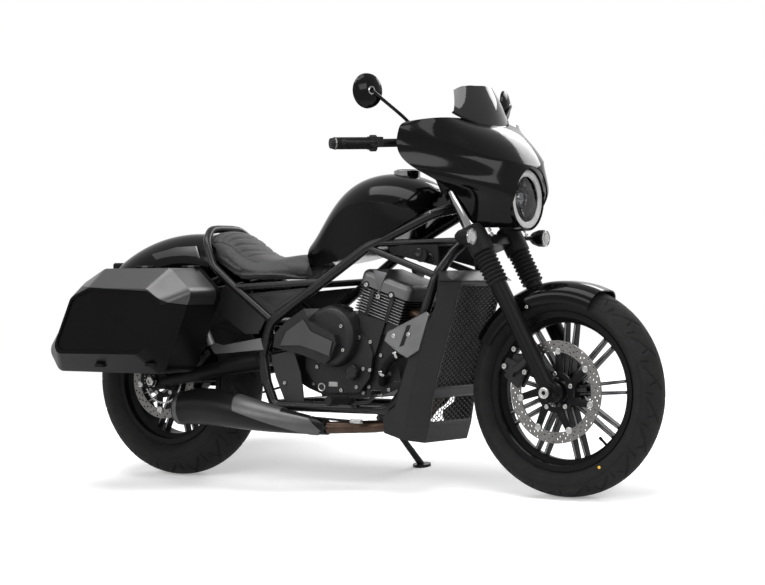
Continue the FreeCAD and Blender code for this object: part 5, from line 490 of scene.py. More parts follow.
def add_round(bm: Shape, profile: Iterable[tuple[float, float]], seat: Vector, way: Vector,
              steps: int = 32, closed: bool = False) -> None:
    """Adds a small part that is turned about its own axis.

    Args:
        bm: The shape to add to.
        profile: Its section as radius and height values above its seat.
        seat: Middle of its seat.
        way: The way it faces.
        steps: Faces round the turn.
        closed: Whether the section's ends are joined.
    """
    base = towards(way, seat)
    add_turned(bm, [base @ Vector((r, 0, h)) for r, h in profile], seat, way, steps=steps, closed=closed)


def add_plate(bm: Shape, outline: Outline, y_from: float, y_to: float,
              bevel: float = 0.0) -> None:
    """Adds a plate with an outline of x and z values between two y values.

    Args:
        bm: The shape to add to.
        outline: Corners of the plate.
        y_from: One face's y.
        y_to: The other face's y.
        bevel: Rounding of its edges.
    """
    verts = [bm.verts.new((x, y_from, z)) for x, z in outline]
    face = bm.faces.new(verts)
    made = bmesh.ops.extrude_face_region(bm, geom=[face])
    moved = corners_of(made)
    bmesh.ops.translate(bm, verts=moved, vec=(0, y_to - y_from, 0))
    round_edges(bm, {edge for vert in verts + moved for edge in vert.link_edges}, bevel)


def add_bolt(bm: Shape, foot: Vector, direction: Vector, radius: float, height: float) -> None:
    """Adds a round bolt head with a hexagonal socket.

    Args:
        bm: The shape to add to.
        foot: Middle of its seat.
        direction: The way it faces.
        radius: Radius of the head.
        height: Height of the head.
    """
    shares = [(0, 0), (1, 0), (1, 0.7), (0.85, 1), (0.5, 1), (0.45, 0.45), (0, 0.45)]
    add_round(bm, [(radius * across, height * up) for across, up in shares], foot, direction.normalized(),
              steps=12)


def add_path(bm: Shape, points: Sequence[Vector], radius: float, segments: int) -> None:
    """Adds a round bar along a smooth line.

    Args:
        bm: The shape to add to.
        points: Points that the line follows.
        radius: Radius of the bar.
        segments: Sides of the bar.
    """
    curve = bpy.data.curves.new("path", "CURVE")
    curve.dimensions = "3D"
    curve.bevel_depth = radius
    curve.bevel_resolution = max(1, segments // 4)
    curve.use_fill_caps = True
    curve.resolution_u = 6
    spline = curve.splines.new("NURBS")
    spline.points.add(len(points) - 1)
    for item, point in zip(spline.points, points):
        item.co = (*point, 1)
    spline.order_u = 3
    spline.use_endpoint_u = True
    holder = bpy.data.objects.new("path", curve)
    mesh = bpy.data.meshes.new_from_object(holder)
    bm.from_mesh(mesh)
    bpy.data.objects.remove(holder)
    bpy.data.meshes.remove(mesh)
    bpy.data.curves.remove(curve)


def settle(piece: bpy.types.Object, crease: float = 35.0) -> None:
    """Bakes a piece's modifiers into its mesh and marks its sharp edges again.

    Args:
        piece: The piece.
        crease: Edges sharper than this many degrees stay sharp.
    """
    graph = bpy.context.evaluated_depsgraph_get()
    made = bpy.data.meshes.new_from_object(piece.evaluated_get(graph))
    old = piece.data
    name = old.name
    piece.modifiers.clear()
    piece.data = made
    bpy.data.meshes.remove(old)
    made.name = name
    made.shade_smooth()
    made.set_sharp_from_angle(angle=math.radians(crease))


def tilted(along: float, up: float, y: float) -> Vector:
    """Point in the cylinders' leaning plane, along their row and up their axis."""
    cos, sin = math.cos(CYLINDER_LEAN), math.sin(CYLINDER_LEAN)
    return CYLINDER_FOOT + Vector((along * cos + up * sin, y, up * cos - along * sin))


def mirrored(point: Vector, side: int) -> Vector:
    """The same point on the given side of the machine."""
    return Vector((point.x, abs(point.y) * side, point.z))


@dataclass
class Tyre:
    """Road tyre with a grooved crown and ringed sidewalls, turned round its axle."""

    name: str
    node: str
    body: Body
    axle: Vector
    radius: float
    width: float
    crown: float
    bead_y: float
    bead_radius: float
    lip_radius: float
    pitch_count: int
    steps: int = 880
    wall: float = 11.0
    groove_depth: float = 4.2
    groove_half_width: float = 2.6
    shoulder_share: float = 0.88
    wide_share: float = 0.52
    side_shares: tuple[float, ...] = (0.15, 0.3, 0.36, 0.37, 0.42, 0.43, 0.6, 0.74, 0.75, 0.79, 0.8, 0.9)
    ring_shares: tuple[float, ...] = (0.37, 0.42, 0.75, 0.79)
    ring_depth: float = 0.7
    crown_steps: int = 46
    bead_width: float = 14.0
    groove_taper: float = 0.08
    # from and to across the crown as shares of the shoulder, start and slope along it, bend
    grooves: tuple[tuple[float, float, float, float, float], ...] = (
        (0.10, 1.02, 0.04, 0.62, 0.28), (0.34, 0.86, 0.52, -0.34, 0.06), (0.62, 1.04, 0.86, 0.20, 0.0),
    )

    def build(self) -> None:
        """Makes the tyre and puts it in place of its node."""
        bm = bmesh.new()
        points = [self.axle + Vector((0, y, r)) for y, r in self._section()]
        add_turned(bm, points, self.axle, Y_AXIS, steps=self.steps, closed=True)
        bmesh.ops.remove_doubles(bm, verts=bm.verts, dist=0.01)
        bmesh.ops.recalc_face_normals(bm, faces=bm.faces)
        self._cut_grooves(bm)
        finish_piece(bm, self.name, TREAD_RUBBER, self.body, crease=50, stands_for=(self.node,),
                     outward=False)

    def _shoulder(self) -> tuple[float, float]:
        """Half width and radius of the shoulder."""
        half = self.width / 2 * self.shoulder_share
        return half, self.radius - self.crown + math.sqrt(self.crown ** 2 - half ** 2)

    def _section(self) -> list[tuple[float, float]]:
        """Closed section of the tyre as y and radius values.

        Returns:
            The outside from the left bead over the crown to the right bead, and the inside back.
        """
        half, shoulder = self._shoulder()
        side = [(self.bead_y, self.lip_radius)]
        for share in self.side_shares:
            ring = self.ring_depth if share in self.ring_shares else 0.0
            side.append((self._bulge(share) - ring, self.lip_radius + (shoulder - self.lip_radius) * share))
        crown = []
        centre = self.radius - self.crown
        reach = math.asin(half / self.crown)
        for index in range(self.crown_steps + 1):
            turn = reach * (1 - 2 * index / self.crown_steps)
            crown.append((self.crown * math.sin(turn), centre + self.crown * math.cos(turn)))
        outside = [(self.bead_y, self.bead_radius)] + side + crown
        outside += [(-y, r) for y, r in reversed(side)] + [(-self.bead_y, self.bead_radius)]
        inner_y = half - self.wall
        inner = [(-self.bead_y + self.bead_width, self.bead_radius), (-inner_y, shoulder - self.wall / 2),
                 (0, self.radius - self.wall), (inner_y, shoulder - self.wall / 2),
                 (self.bead_y - self.bead_width, self.bead_radius)]
        return outside + inner

    def _bulge(self, share: float) -> float:
        """Half width of the sidewall at a share of its height, on an arc through its widest point."""
        half, _ = self._shoulder()
        wide = self.width / 2
        if share < self.wide_share:
            rise = share / self.wide_share
            return self.bead_y + (wide - self.bead_y) * math.sin(rise * math.pi / 2) ** 0.8
        fall = (share - self.wide_share) / (1 - self.wide_share)
        return wide - (wide - half) * fall ** 1.6

    def _cut_grooves(self, bm: Shape) -> None:
        """Sinks the tread's grooves into the crown.

        Args:
            bm: The turned tyre.
        """
        half, shoulder = self._shoulder()
        pitch = math.tau * self.radius / self.pitch_count
        for vert in bm.verts:
            place = vert.co - self.axle
            reach = math.hypot(place.x, place.z)
            if reach < shoulder - 9 or reach < self.radius - self.crown:
                continue
            if abs(place.y) < half and reach < shoulder - 0.5:
                continue
            around = math.atan2(place.z, place.x) * self.radius
            side = 1 if place.y > 0 else -1
            across = abs(place.y) / half
            depth = self._depth(around / pitch + (0.5 if side > 0 else 0.0), across, pitch, half)
            if depth:
                vert.co -= place.normalized() * depth

    def _depth(self, along: float, across: float, pitch: float, half: float) -> float:
        """Depth of the tread at a point.

        Args:
            along: Place along the tread in pitches.
            across: Place across the tread, 1 at the shoulder.
            pitch: Length of one pitch.
            half: Half width of the tread.

        Returns:
            The depth below the crown.
        """
        deepest = 0.0
        for start, end, offset, slope, bend in self.grooves:
            if not start <= across <= end:
                continue
            line = offset + slope * across + bend * across * across
            off = (along - line + 0.5) % 1.0 - 0.5
            lean = math.atan((slope + 2 * bend * across) * pitch / half)
            distance = abs(off * pitch) * math.cos(lean)
            taper = min(1.0, (across - start) / self.groove_taper, (end - across) / self.groove_taper)
            if distance < self.groove_half_width:
                sink = 1 - (distance / self.groove_half_width) ** 4
                deepest = max(deepest, self.groove_depth * taper * sink)
        return deepest


@dataclass
class Rotor:
    """Drilled brake disc on a black carrier with bright rivets."""

    name: str
    node: str
    body: Body
    axle: Vector
    y: float
    radius: float
    band: float
    arms: int
    hub_radius: float
    hole_rows: int = 4
    hole_columns: int = 32
    hole_radius: float = 3.1
    thickness: float = 5.0
    bolts: int = 5
    arm_width: float = 13.0
    arm_sweep: float = 0.16
    hub_ring: float = 16.0
    row_offsets: tuple[float, ...] = (0.0, 0.55, 0.2, 0.75)
    tone_ring: float = 0.0
    tone_slots: int = 44

    def build(self) -> None:
        """Makes the band, the carrier, the rivets and the toothed ring."""
        self._band()
        self._carrier()
        self._fasteners()
        if self.tone_ring:
            self._toothed_ring()

    def _ring(self, bm: Shape, inner: float, outer: float, y_from: float, y_to: float, steps: int) -> None:
        """Adds a flat ring round the axle."""
        corners = [(y_from, inner), (y_from, outer), (y_to, outer), (y_to, inner)]
        points = [self.axle + Vector((0, y, r)) for y, r in corners]
        add_turned(bm, points, self.axle, Y_AXIS, steps=steps, closed=True)

    def _at(self, angle: float, reach: float, y: float) -> Vector:
        """Point at an angle and a distance from the axle."""
        return self.axle + Vector((math.cos(angle) * reach, y, math.sin(angle) * reach))

    def _band(self) -> None:
        """Makes the drilled band by taking slanted rows of holes out of a ring."""
        half = self.thickness / 2
        bm = bmesh.new()
        self._ring(bm, self.radius - self.band, self.radius, self.y - half, self.y + half, steps=144)
        band = finish_piece(bm, self.name + "_band", STEEL, self.body, stands_for=(self.node,))
        cutter = bmesh.new()
        for column in range(self.hole_columns):
            for row in range(self.hole_rows):
                reach = self.radius - self.band + self.band * (row + 0.72) / (self.hole_rows + 0.45)
                angle = math.tau * (column + self.row_offsets[row % 4]) / self.hole_columns
                near = self._at(angle, reach, self.y - half * 3)
                far = self._at(angle, reach, self.y + half * 3)
                add_rod(cutter, near, far, self.hole_radius, segments=10)
        cutter.transform(STANCE.matrix)
        mesh = mesh_of(cutter, "holes")
        tool = add_object("holes", mesh)
        cut = band.modifiers.new("holes", "BOOLEAN")
        cut.object = tool
        cut.solver = "EXACT"
        settle(band)
        bpy.data.objects.remove(tool)
        bpy.data.meshes.remove(mesh)

    def _carrier(self) -> None:
        """Makes the carrier: a hub ring with tapering arms that reach in under the band."""
        half = self.thickness / 2
        bm = bmesh.new()
        self._ring(bm, self.hub_radius - self.hub_ring, self.hub_radius, self.y - half - 1,
                   self.y + half + 1, steps=64)
        for index in range(self.arms):
            angle = math.tau * (index + 0.5) / self.arms
            sweep = angle + self.arm_sweep
            outer = self.radius - self.band + 7
            across = Vector((-math.sin(angle), 0, math.cos(angle)))
            tip = Vector((-math.sin(sweep), 0, math.cos(sweep)))
            root = self._at(angle, self.hub_radius - 5, 0)
            end = self._at(sweep, outer, 0)
            outline = [root - across * self.arm_width, root + across * self.arm_width,
                       end + tip * 10, end - tip * 10]
            add_plate(bm, [(p.x, p.z) for p in outline], self.y - half - 0.6, self.y + half + 0.6, bevel=1.2)
        finish_piece(bm, self.name + "_carrier", SATIN_BLACK, self.body, stands_for=(self.node,))

    def _fasteners(self) -> None:
        """Makes the rivets in the arms' ends and the hub's bolts."""
        half = self.thickness / 2
        bm = bmesh.new()
        for face in SIDES:
            for index in range(self.arms):
                sweep = math.tau * (index + 0.5) / self.arms + self.arm_sweep
                seat = self._at(sweep, self.radius - self.band + 2, self.y + half * face)
                profile = [(0, -0.5), (10.5, -0.5), (10.5, 2.0), (7.5, 3.2), (6.5, 1.6), (0, 1.6)]
                add_round(bm, profile, seat, Y_AXIS * face, steps=20)
        finish_piece(bm, self.name + "_rivets", ZINC, self.body)
        bm = bmesh.new()
        way = -1 if self.y < 0 else 1
        for index in range(self.bolts):
            angle = math.tau * index / self.bolts + 0.35
            foot = self._at(angle, self.hub_radius - self.hub_ring / 2, self.y + way * (half + 0.6))
            add_bolt(bm, foot, Y_AXIS * way, 7.5, 3.2)
        finish_piece(bm, self.name + "_bolts", ZINC, self.body)

    def _toothed_ring(self) -> None:
        """Makes the speed sensor's slotted ring inside the band."""
        bm = bmesh.new()
        outer = self.tone_ring
        self._ring(bm, outer - 7, outer - 3, self.y - 4.5, self.y - 2.5, steps=64)
        for index in range(self.tone_slots):
            angle = math.tau * index / self.tone_slots
            across = Vector((-math.sin(angle), 0, math.cos(angle)))
            near = self._at(angle, outer - 4, 0)
            far = self._at(angle, outer, 0)
            outline = (near - across * 1.6, near + across * 1.6, far + across * 1.6, far - across * 1.6)
            add_plate(bm, [(p.x, p.z) for p in outline], self.y - 4.5, self.y - 2.5)
        finish_piece(bm, self.name + "_toothed_ring", ZINC, self.body)


@dataclass
class Wheels:
    """Tyres, discs, spoke faces, valve stems and the balance dot."""

    front_disc_y: float = -70.4
    rear_disc_y: float = -94.3
    spoke_pairs: int = 9
    first_spoke: float = 5.0
    spoke_from: float = 52.0
    spread: tuple[float, float] = (11.6, 16.6)
    half_widths: tuple[float, float] = (2.9, 2.3)
    dot_radius: float = 262.0
    face_from: float = 32.0
    face_y: float = 17.0
    face_drop: float = 5.0

    def build(self) -> None:
        """Makes everything that turns with the wheels."""
        Tyre("front_tread", "front_tyre", Body.FRONT_WHEEL, FRONT_AXLE, radius=320, width=130, crown=75,
             bead_y=37.7, bead_radius=228.9, lip_radius=243.1, pitch_count=20).build()
        Tyre("rear_tread", "rear_tyre", Body.REAR_WHEEL, REAR_AXLE, radius=320, width=180, crown=100,
             bead_y=60.7, bead_radius=203.5, lip_radius=217.7, pitch_count=18).build()
        Rotor("front_rotor", "front_disc", Body.FRONT_WHEEL, FRONT_AXLE, self.front_disc_y, radius=154.5,
              band=34, arms=7, hub_radius=62).build()
        Rotor("rear_rotor", "rear_disc", Body.REAR_WHEEL, REAR_AXLE, self.rear_disc_y, radius=128, band=30,
              arms=5, hub_radius=58, hole_rows=3, hole_columns=24, tone_ring=80).build()
        self._spoke_faces()
        self._small_parts()

    def _spoke_faces(self) -> None:
        """Makes the machined faces of the twin-bar spokes."""
        for axle, outer, body, name in ((FRONT_AXLE, 203, Body.FRONT_WHEEL, "front_spoke_faces"),
                                        (REAR_AXLE, 178, Body.REAR_WHEEL, "rear_spoke_faces")):
            bm = bmesh.new()
            for pair in range(self.spoke_pairs):
                turn = math.radians(self.first_spoke + 360 / self.spoke_pairs * pair)
                out = Vector((math.cos(turn), 0, math.sin(turn)))
                across = Vector((-math.sin(turn), 0, math.cos(turn)))
                for shift in (-1, 1):
                    root = axle + out * self.spoke_from + across * (self.spread[0] * shift)
                    tip = axle + out * outer + across * (self.spread[1] * shift)
                    wide, narrow = (across * half for half in self.half_widths)
                    outline = [root - wide, root + wide, tip + narrow, tip - narrow]
                    for side in SIDES:
                        known = set(bm.verts)
                        add_plate(bm, [(p.x, p.z) for p in outline], -0.6 * side, 0.6 * side)
                        for vert in set(bm.verts) - known:
                            reach = math.hypot(vert.co.x - axle.x, vert.co.z - axle.z)
                            share = (reach - self.face_from) / (outer + 14 - self.face_from)
                            vert.co.y += side * (self.face_y - self.face_drop * share)
            finish_piece(bm, name, MACHINED, body)

    def _small_parts(self) -> None:
        """Makes the valve stems and the balance dot."""
        for axle, reach, angle, body, name in ((FRONT_AXLE, 214, -48, Body.FRONT_WHEEL, "front_valve"),
                                               (REAR_AXLE, 188, 40, Body.REAR_WHEEL, "rear_valve")):
            bm = bmesh.new()
            turn = math.radians(angle)
            out = Vector((math.cos(turn), 0, math.sin(turn)))
            foot = axle + out * reach + Vector((0, -14, 0))
            add_rod(bm, foot, foot - out * 34 - Y_AXIS * 8, 4.2, 3.4, segments=12, bevel=0.6)
            add_rod(bm, foot - out * 22 - Y_AXIS * 5.2, foot - out * 33 - Y_AXIS * 7.8, 4.8, segments=12,
                    bevel=0.8)
            finish_piece(bm, name, MATT_BLACK, body)
        bm = bmesh.new()
        turn = math.radians(-57)
        out = Vector((math.cos(turn), 0, math.sin(turn)))
        spot = FRONT_AXLE + out * self.dot_radius - Y_AXIS * 64.3
        add_rod(bm, spot, spot - Y_AXIS * 0.6, 5, segments=16, bevel=0.15)
        finish_piece(bm, "balance_dot", YELLOW_DOT, Body.FRONT_WHEEL)


@dataclass
class ForkDress:
    """Bright tubes, nuts and bolts of the fork."""

    tube_from: float = 567.0
    tube_to: float = 702.0
    tube_radius: float = 21.9
    axle_end_y: float = 141.0
    clamp_bolts: tuple[float, float] = (513.0, 528.0)
    side_bolts: Line = ((625, -110, 448), (663, -112, 380), (590, -108, 396))
    fender_nut: float = 300.0

    def build(self) -> None:
        """Makes the fork's visible small parts."""
        bm = bmesh.new()
        for side in SIDES:
            add_rod(bm, on_leg(self.tube_from, side), on_leg(self.tube_to, side), self.tube_radius,
                    segments=32, bevel=0.5)
        finish_piece(bm, "fork_tubes", CHROME, Body.STEERING)
        bm = bmesh.new()
        for side in SIDES:
            self._axle_end(bm, FRONT_AXLE + Y_AXIS * (side * self.axle_end_y), Y_AXIS * side)
        finish_piece(bm, "axle_ends", ZINC, Body.STEERING)
        bm = bmesh.new()
        for side in SIDES:
            for along in self.clamp_bolts:
                add_bolt(bm, on_leg(along, side, 50), FORK_AHEAD, 6.5, 6)
        for point in self.side_bolts:
            add_bolt(bm, Vector(point), -Y_AXIS, 8.5, 7)
        finish_piece(bm, "fork_bolts", ZINC, Body.STEERING)
        bm = bmesh.new()
        for side in SIDES:
            self._axle_end(bm, on_leg(self.fender_nut, side, 20), FORK_AHEAD, 0.55)
        finish_piece(bm, "fender_nuts", GUNMETAL, Body.STEERING)

    def _axle_end(self, bm: Shape, seat: Vector, way: Vector, scale: float = 1.0) -> None:
        """Adds a round end with a rim and a hexagonal hole.

        Args:
            bm: The shape to add to.
            seat: Middle of its seat.
            way: The way it faces.
            scale: Its size against the axle's end.
        """
        profile = [(0, -4), (17, -4), (17, 5), (14.5, 6.5), (12.5, 6.5), (11.5, 5), (6.5, 5), (5.5, -2),
                   (0, -2)]
        add_round(bm, [(r * scale, h * scale) for r, h in profile], seat, way, steps=32)


@dataclass
class Headlamp:
    """Round headlight with a white light ring, a dark bowl, a projector and a clear cover."""

    centre: Vector = point_at(587.0, 0.0, 902.0)
    projector: Vector = point_at(-12.0, -16.0, 2.0)
    rib_count: int = 5
    rib_pitch: float = 17.0
    rib_reach: float = 54.0

    def build(self) -> None:
        """Makes the headlight's parts in place of its node."""
        self._turn("headlight_shell", GLOSS_BLACK, [
            (-70, 0), (-70, 40), (-26, 97), (20, 97), (22.5, 95.5), (22, 92), (4, 90.5), (-12, 70), (-14, 0)])
        self._turn("headlight_ring", LAMP_WHITE, [
            (2, 69), (2, 90), (15, 91), (19, 88.5), (21, 80), (19, 72), (15, 69)], closed=True)
        self._turn("headlight_bowl", LAMP_DARK, [
            (-13, 0), (-13, 68.5), (12, 68.8), (2, 64), (-6, 56), (-10, 40), (-12, 24), (-12, 0)])
        bm = bmesh.new()
        profile = [(0, 0), (30, 0), (30, 8), (27, 11), (25, 9), (22, 12), (15, 16), (7, 18), (0, 18.5)]
        add_round(bm, profile, self.centre + self.projector, X_AXIS, steps=40)
        finish_piece(bm, "headlight_projector", LAMP_LENS, Body.STEERING)
        bm = bmesh.new()
        for index in range(self.rib_count):
            height = self.rib_pitch * (index - (self.rib_count - 1) / 2)
            half = math.sqrt(self.rib_reach ** 2 - height ** 2)
            add_block(bm, self.centre + Vector((-9, 0, height)), Vector((3, half * 2, 2.2)), bevel=0.6)
        finish_piece(bm, "headlight_ribs", LAMP_DARK, Body.STEERING)
        self._turn("headlight_glass", CLEAR, [
            (15, 69.5), (17, 60), (20, 46), (23, 26), (24, 0), (22.4, 0), (21.4, 26), (18.4, 45), (15.4, 59),
            (13.4, 68.5)])

    def _turn(self, name: str, finish: Finish, section: Outline,
              closed: bool = False) -> None:
        """Turns one part about the headlight's axis."""
        bm = bmesh.new()
        points = [self.centre + Vector((x, 0, r)) for x, r in section]
        add_turned(bm, points, self.centre, X_AXIS, steps=72, closed=closed)
        stands = ("headlight",) if name == "headlight_shell" else ()
        finish_piece(bm, name, finish, Body.STEERING, crease=28, stands_for=stands)


@dataclass
class Indicators:
    """Lenses and rims of the front indicators."""

    front: Vector = point_at(514.0, 222.0, 786.0)

    def build(self) -> None:
        """Makes the front lenses and their rims."""
        lenses = bmesh.new()
        rims = bmesh.new()
        for side in SIDES:
            centre = mirrored(self.front, side) + X_AXIS * 29
            lens = [(0, -2), (22, -2), (22, 1), (18, 3.5), (12, 5), (5, 5.6), (0, 5.6)]
            rim = [(22.4, -3), (25.6, -3), (25.6, 1.5), (24, 2.4), (22.4, 1.5)]
            add_round(lenses, lens, centre, X_AXIS, steps=36)
            add_round(rims, rim, centre, X_AXIS, steps=36, closed=True)
            for ring in (6, 12, 17):
                points = [(ring - 0.8, 4.4), (ring, 6.4 - ring * 0.1), (ring + 0.8, 4.2)]
                add_round(rims, points, centre, X_AXIS, steps=30, closed=True)
        finish_piece(lenses, "indicator_lenses", LENS_PALE, Body.STEERING)
        finish_piece(rims, "indicator_rims", CHROME, Body.STEERING)


@dataclass
class Cockpit:
    """Grips, mirrors, gauge, screen and filler cap."""

    tip: Vector = point_at(199.0, 440.0, 1065.0)
    root: Vector = point_at(276.0, 336.0, 1068.0)
    mirror: Vector = point_at(294.0, 400.0, 1221.0)
    mirror_turn: float = math.radians(20)
    grip_length: float = 108.0
    grip_ribs: int = 13
    grip_pitch: float = 7.0
    gauge: Vector = point_at(352.0, 0.0, 1088.0)
    screen_low: float = 1120.0
    screen_rise: float = 130.0
    screen_bow: float = 9.0
    screen_wall: float = 4.0
    screen_fastener: Vector = point_at(456.0, 110.0, 1146.0)
    cap_x: float = 168.0
    stem: Line = ((328.8, 194.0, 1074.0), (346.0, 226.0, 1104.0),
                  (352.0, 272.0, 1134.0), (326.0, 336.0, 1180.0))
    screen_top: Line = ((398.0, -96.0, 1238.0), (424.0, -88.0, 1249.0),
                        (452.0, -44.0, 1252.0), (462.0, 0.0, 1252.5))
    screen_foot: Line = ((430.0, -156.0, 1164.0), (452.0, -138.0, 1148.0),
                         (486.0, -74.0, 1124.0), (500.0, 0.0, 1114.0))

    def build(self) -> None:
        """Makes what the rider sees and holds."""
        self._grips()
        self._mirrors()
        self._gauge()
        self._screen()
        self._screen_trim()
        self._cap()

    def _grips(self) -> None:
        """Makes ribbed rubber grips with a bright ring at the inner end."""
        rubber = bmesh.new()
        rings = bmesh.new()
        for side in SIDES:
            tip = mirrored(self.tip, side)
            way = (tip - mirrored(self.root, side)).normalized()
            start = tip - way * self.grip_length
            profile = [(16.2, 0), (20, 0.5), (20, 5), (17.6, 7)]
            for rib in range(self.grip_ribs):
                place = 9 + self.grip_pitch * rib
                profile += [(17.4, place), (18.5, place + 1), (18.5, place + 4.5), (17.4, place + 5.5)]
            profile += [(18.2, 101), (18.2, 105), (16.2, 106)]
            add_round(rubber, profile, start, way, steps=28, closed=True)
            ring = [(16, 107), (19, 107.2), (19.4, 109), (19, 111.6), (16, 112)]
            add_round(rings, ring, start, way, steps=28, closed=True)
        finish_piece(rubber, "grip_rubbers", RUBBER, Body.STEERING)
        finish_piece(rings, "grip_rings", STEEL, Body.STEERING)

    def _mirrors(self) -> None:
        """Makes the mirrors' shells with their stems, the glasses and the bright rings behind them."""
        glass = bmesh.new()
        rings = bmesh.new()
        shells = bmesh.new()
        for side in SIDES:
            centre = mirrored(self.mirror, side)
            way = Vector((-math.cos(self.mirror_turn), -math.sin(self.mirror_turn) * side, 0))
            shape = [(0, 13), (50.9, 13), (53, 10), (51.4, 3), (39.2, -5.7), (20.1, -11.4), (0, -13)]
            add_round(shells, shape, centre, way, steps=56)
            stem = [mirrored(Vector(point), side) for point in self.stem]
            add_path(shells, stem + [centre - way * 14], 5.5, segments=16)
            face = [(0, 11.6), (49, 11.6), (49, 12.6), (48, 13.4), (0, 13.6)]
            add_round(glass, face, centre, way, steps=48)
            seat = centre - way * 13
            ring = [(9, -1), (12.5, -1), (12.5, 1.5), (9, 3), (7, 1)]
            add_round(rings, ring, seat, -way, steps=28, closed=True)
        finish_piece(shells, "mirror_shells", GLOSS_BLACK, Body.STEERING, stands_for=("mirrors",))
        finish_piece(glass, "mirror_glasses", MIRROR_GLASS, Body.STEERING)
        finish_piece(rings, "mirror_rings", CHROME, Body.STEERING)

    def _gauge(self) -> None:
        """Makes the gauge's bezel and its dark glass."""
        way = Vector((-1, 0, 0.5)).normalized()
        for name, finish, profile in (
                ("gauge_bezel", CHROME, [(45, -3), (52, -3), (53, 0), (52, 2), (48, 2.4), (45, 0.5)]),
                ("gauge_glass", SMOKED, [(0, -2), (46.5, -2), (46.5, 0.4), (44, 1.0), (0, 1.6)])):
            bm = bmesh.new()
            add_round(bm, profile, self.gauge, way, steps=48, closed=name == "gauge_bezel")
            finish_piece(bm, name, finish, Body.STEERING)

    def _screen(self) -> None:
        """Makes the short bowed screen between its foot and its top line, and the strip under its foot."""
        bm = bmesh.new()
        rows = []
        for line in (self.screen_foot, self.screen_top):
            half = [Vector(point) for point in line]
            whole = half + [Vector((point.x, -point.y, point.z)) for point in reversed(half[:-1])]
            rows.append([bm.verts.new(point) for point in whole])
        for row in rows:
            for pair in zip(row, row[1:]):
                bm.edges.new(pair)
        bmesh.ops.bridge_loops(bm, edges=list(bm.edges))
        rising = [edge for edge in bm.edges if abs(edge.verts[0].co.z - edge.verts[1].co.z) > 40]
        bmesh.ops.subdivide_edges(bm, edges=rising, cuts=5, use_grid_fill=True)
        for vert in bm.verts:
            share = min(1.0, max(0.0, (vert.co.z - self.screen_low) / self.screen_rise))
            vert.co.x += self.screen_bow * math.sin(share * math.pi)
        bmesh.ops.subdivide_edges(bm, edges=list(bm.edges), cuts=1, use_grid_fill=True, smooth=0.6)
        bmesh.ops.recalc_face_normals(bm, faces=bm.faces)
        bmesh.ops.solidify(bm, geom=list(bm.faces), thickness=self.screen_wall)
        finish_piece(bm, "screen", SMOKED, Body.STEERING, crease=50, stands_for=("windscreen",))
        strip = bmesh.new()
        foot = [Vector(point) for point in self.screen_foot]
        line = foot + [Vector((point.x, -point.y, point.z)) for point in reversed(foot[:-1])]
        add_path(strip, [point + Vector((4, 0, 2)) for point in line], 4.0, segments=12)
        finish_piece(strip, "screen_strip", RUBBER, Body.STEERING, outward=False)

    def _screen_trim(self) -> None:
        """Makes the screen's two fasteners."""
        bm = bmesh.new()
        for side in SIDES:
            seat = mirrored(self.screen_fastener, side)
            way = Vector((0.55, 0.25 * side, 0.8)).normalized()
            profile = [(0, -4), (6.5, -4), (6.5, 2), (5, 3.6), (0, 4)]
            add_round(bm, profile, seat, way, steps=18)
        finish_piece(bm, "screen_fasteners", CHROME, Body.STEERING)

    def _cap(self) -> None:
        """Makes the filler cap's ring, its raised lid and its lock."""
        low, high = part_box("filler_cap")
        top = Vector(((low[0] + high[0]) / 2, (low[1] + high[1]) / 2, high[2]))
        centre = Vector((self.cap_x, 0, (STANCE.matrix.inverted() @ top).z - 3.5))
        for name, finish, profile in (
                ("cap_ring", CHROME,
                 [(0, -9), (42.3, -9), (42.3, -3), (40, -1.5), (36, -1.5), (35, -3), (0, -3)]),
                ("cap_lid", GLOSS_BLACK,
                 [(0, -4), (35.5, -4), (34, 0.5), (30, 1.5), (14, 2), (12, 1), (0, 1)]),
                ("cap_lock", ZINC,
                 [(0, 0.5), (11.5, 0.5), (11, 2.4), (4, 2.6), (3.4, 1.4), (0, 1.4)])):
            bm = bmesh.new()
            add_turned(bm, [centre + Vector((r, 0, h)) for r, h in profile], centre, Z_AXIS, steps=48)
            finish_piece(bm, name, finish, Body.FRAME)


@dataclass
class Shell:
    """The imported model's surfaces, on which small pieces are seated."""

    frame: dict
    trees: dict[tuple[str, ...], BVHTree] = field(default_factory=dict)

    def tree(self, nodes: tuple[str, ...]) -> BVHTree:
        """Search tree of the named nodes' faces, upright and in millimetres."""
        if nodes not in self.trees:
            back = STANCE.matrix.inverted()
            points: list[Vector] = []
            faces: list[list[int]] = []
            for node in nodes:
                mesh = self.frame["nodes"][node].data
                first = len(points)
                points += [back @ vert.co for vert in mesh.vertices]
                faces += [[first + corner for corner in face.vertices] for face in mesh.polygons]
            self.trees[nodes] = BVHTree.FromPolygons(points, faces)
        return self.trees[nodes]

    def seat(self, x: float, z: float, side: int, default: float, *nodes: str) -> Vector:
        """Point of the outermost surface at a place in the side view.

        Args:
            x: Its x value.
            z: Its z value.
            side: -1 for the right side and 1 for the left.
            default: The y value's size where nothing is met.
            *nodes: The nodes that are looked at.

        Returns:
            The point on the surface.
        """
        start = Vector((x, 600.0 * side, z))
        hit = self.tree(nodes).ray_cast(start, -Y_AXIS * side)[0]
        return hit if hit is not None else Vector((x, default * side, z))

    def under(self, x: float, y: float, default: float, *nodes: str) -> Vector:
        """Point of the lowest surface at a place in the plan view.

        Args:
            x: Its x value.
            y: Its y value.
            default: The z value where nothing is met.
            *nodes: The nodes that are looked at.

        Returns:
            The point on the surface.
        """
        hit = self.tree(nodes).ray_cast(Vector((x, y, 100.0)), Z_AXIS)[0]
        return hit if hit is not None else Vector((x, y, default))


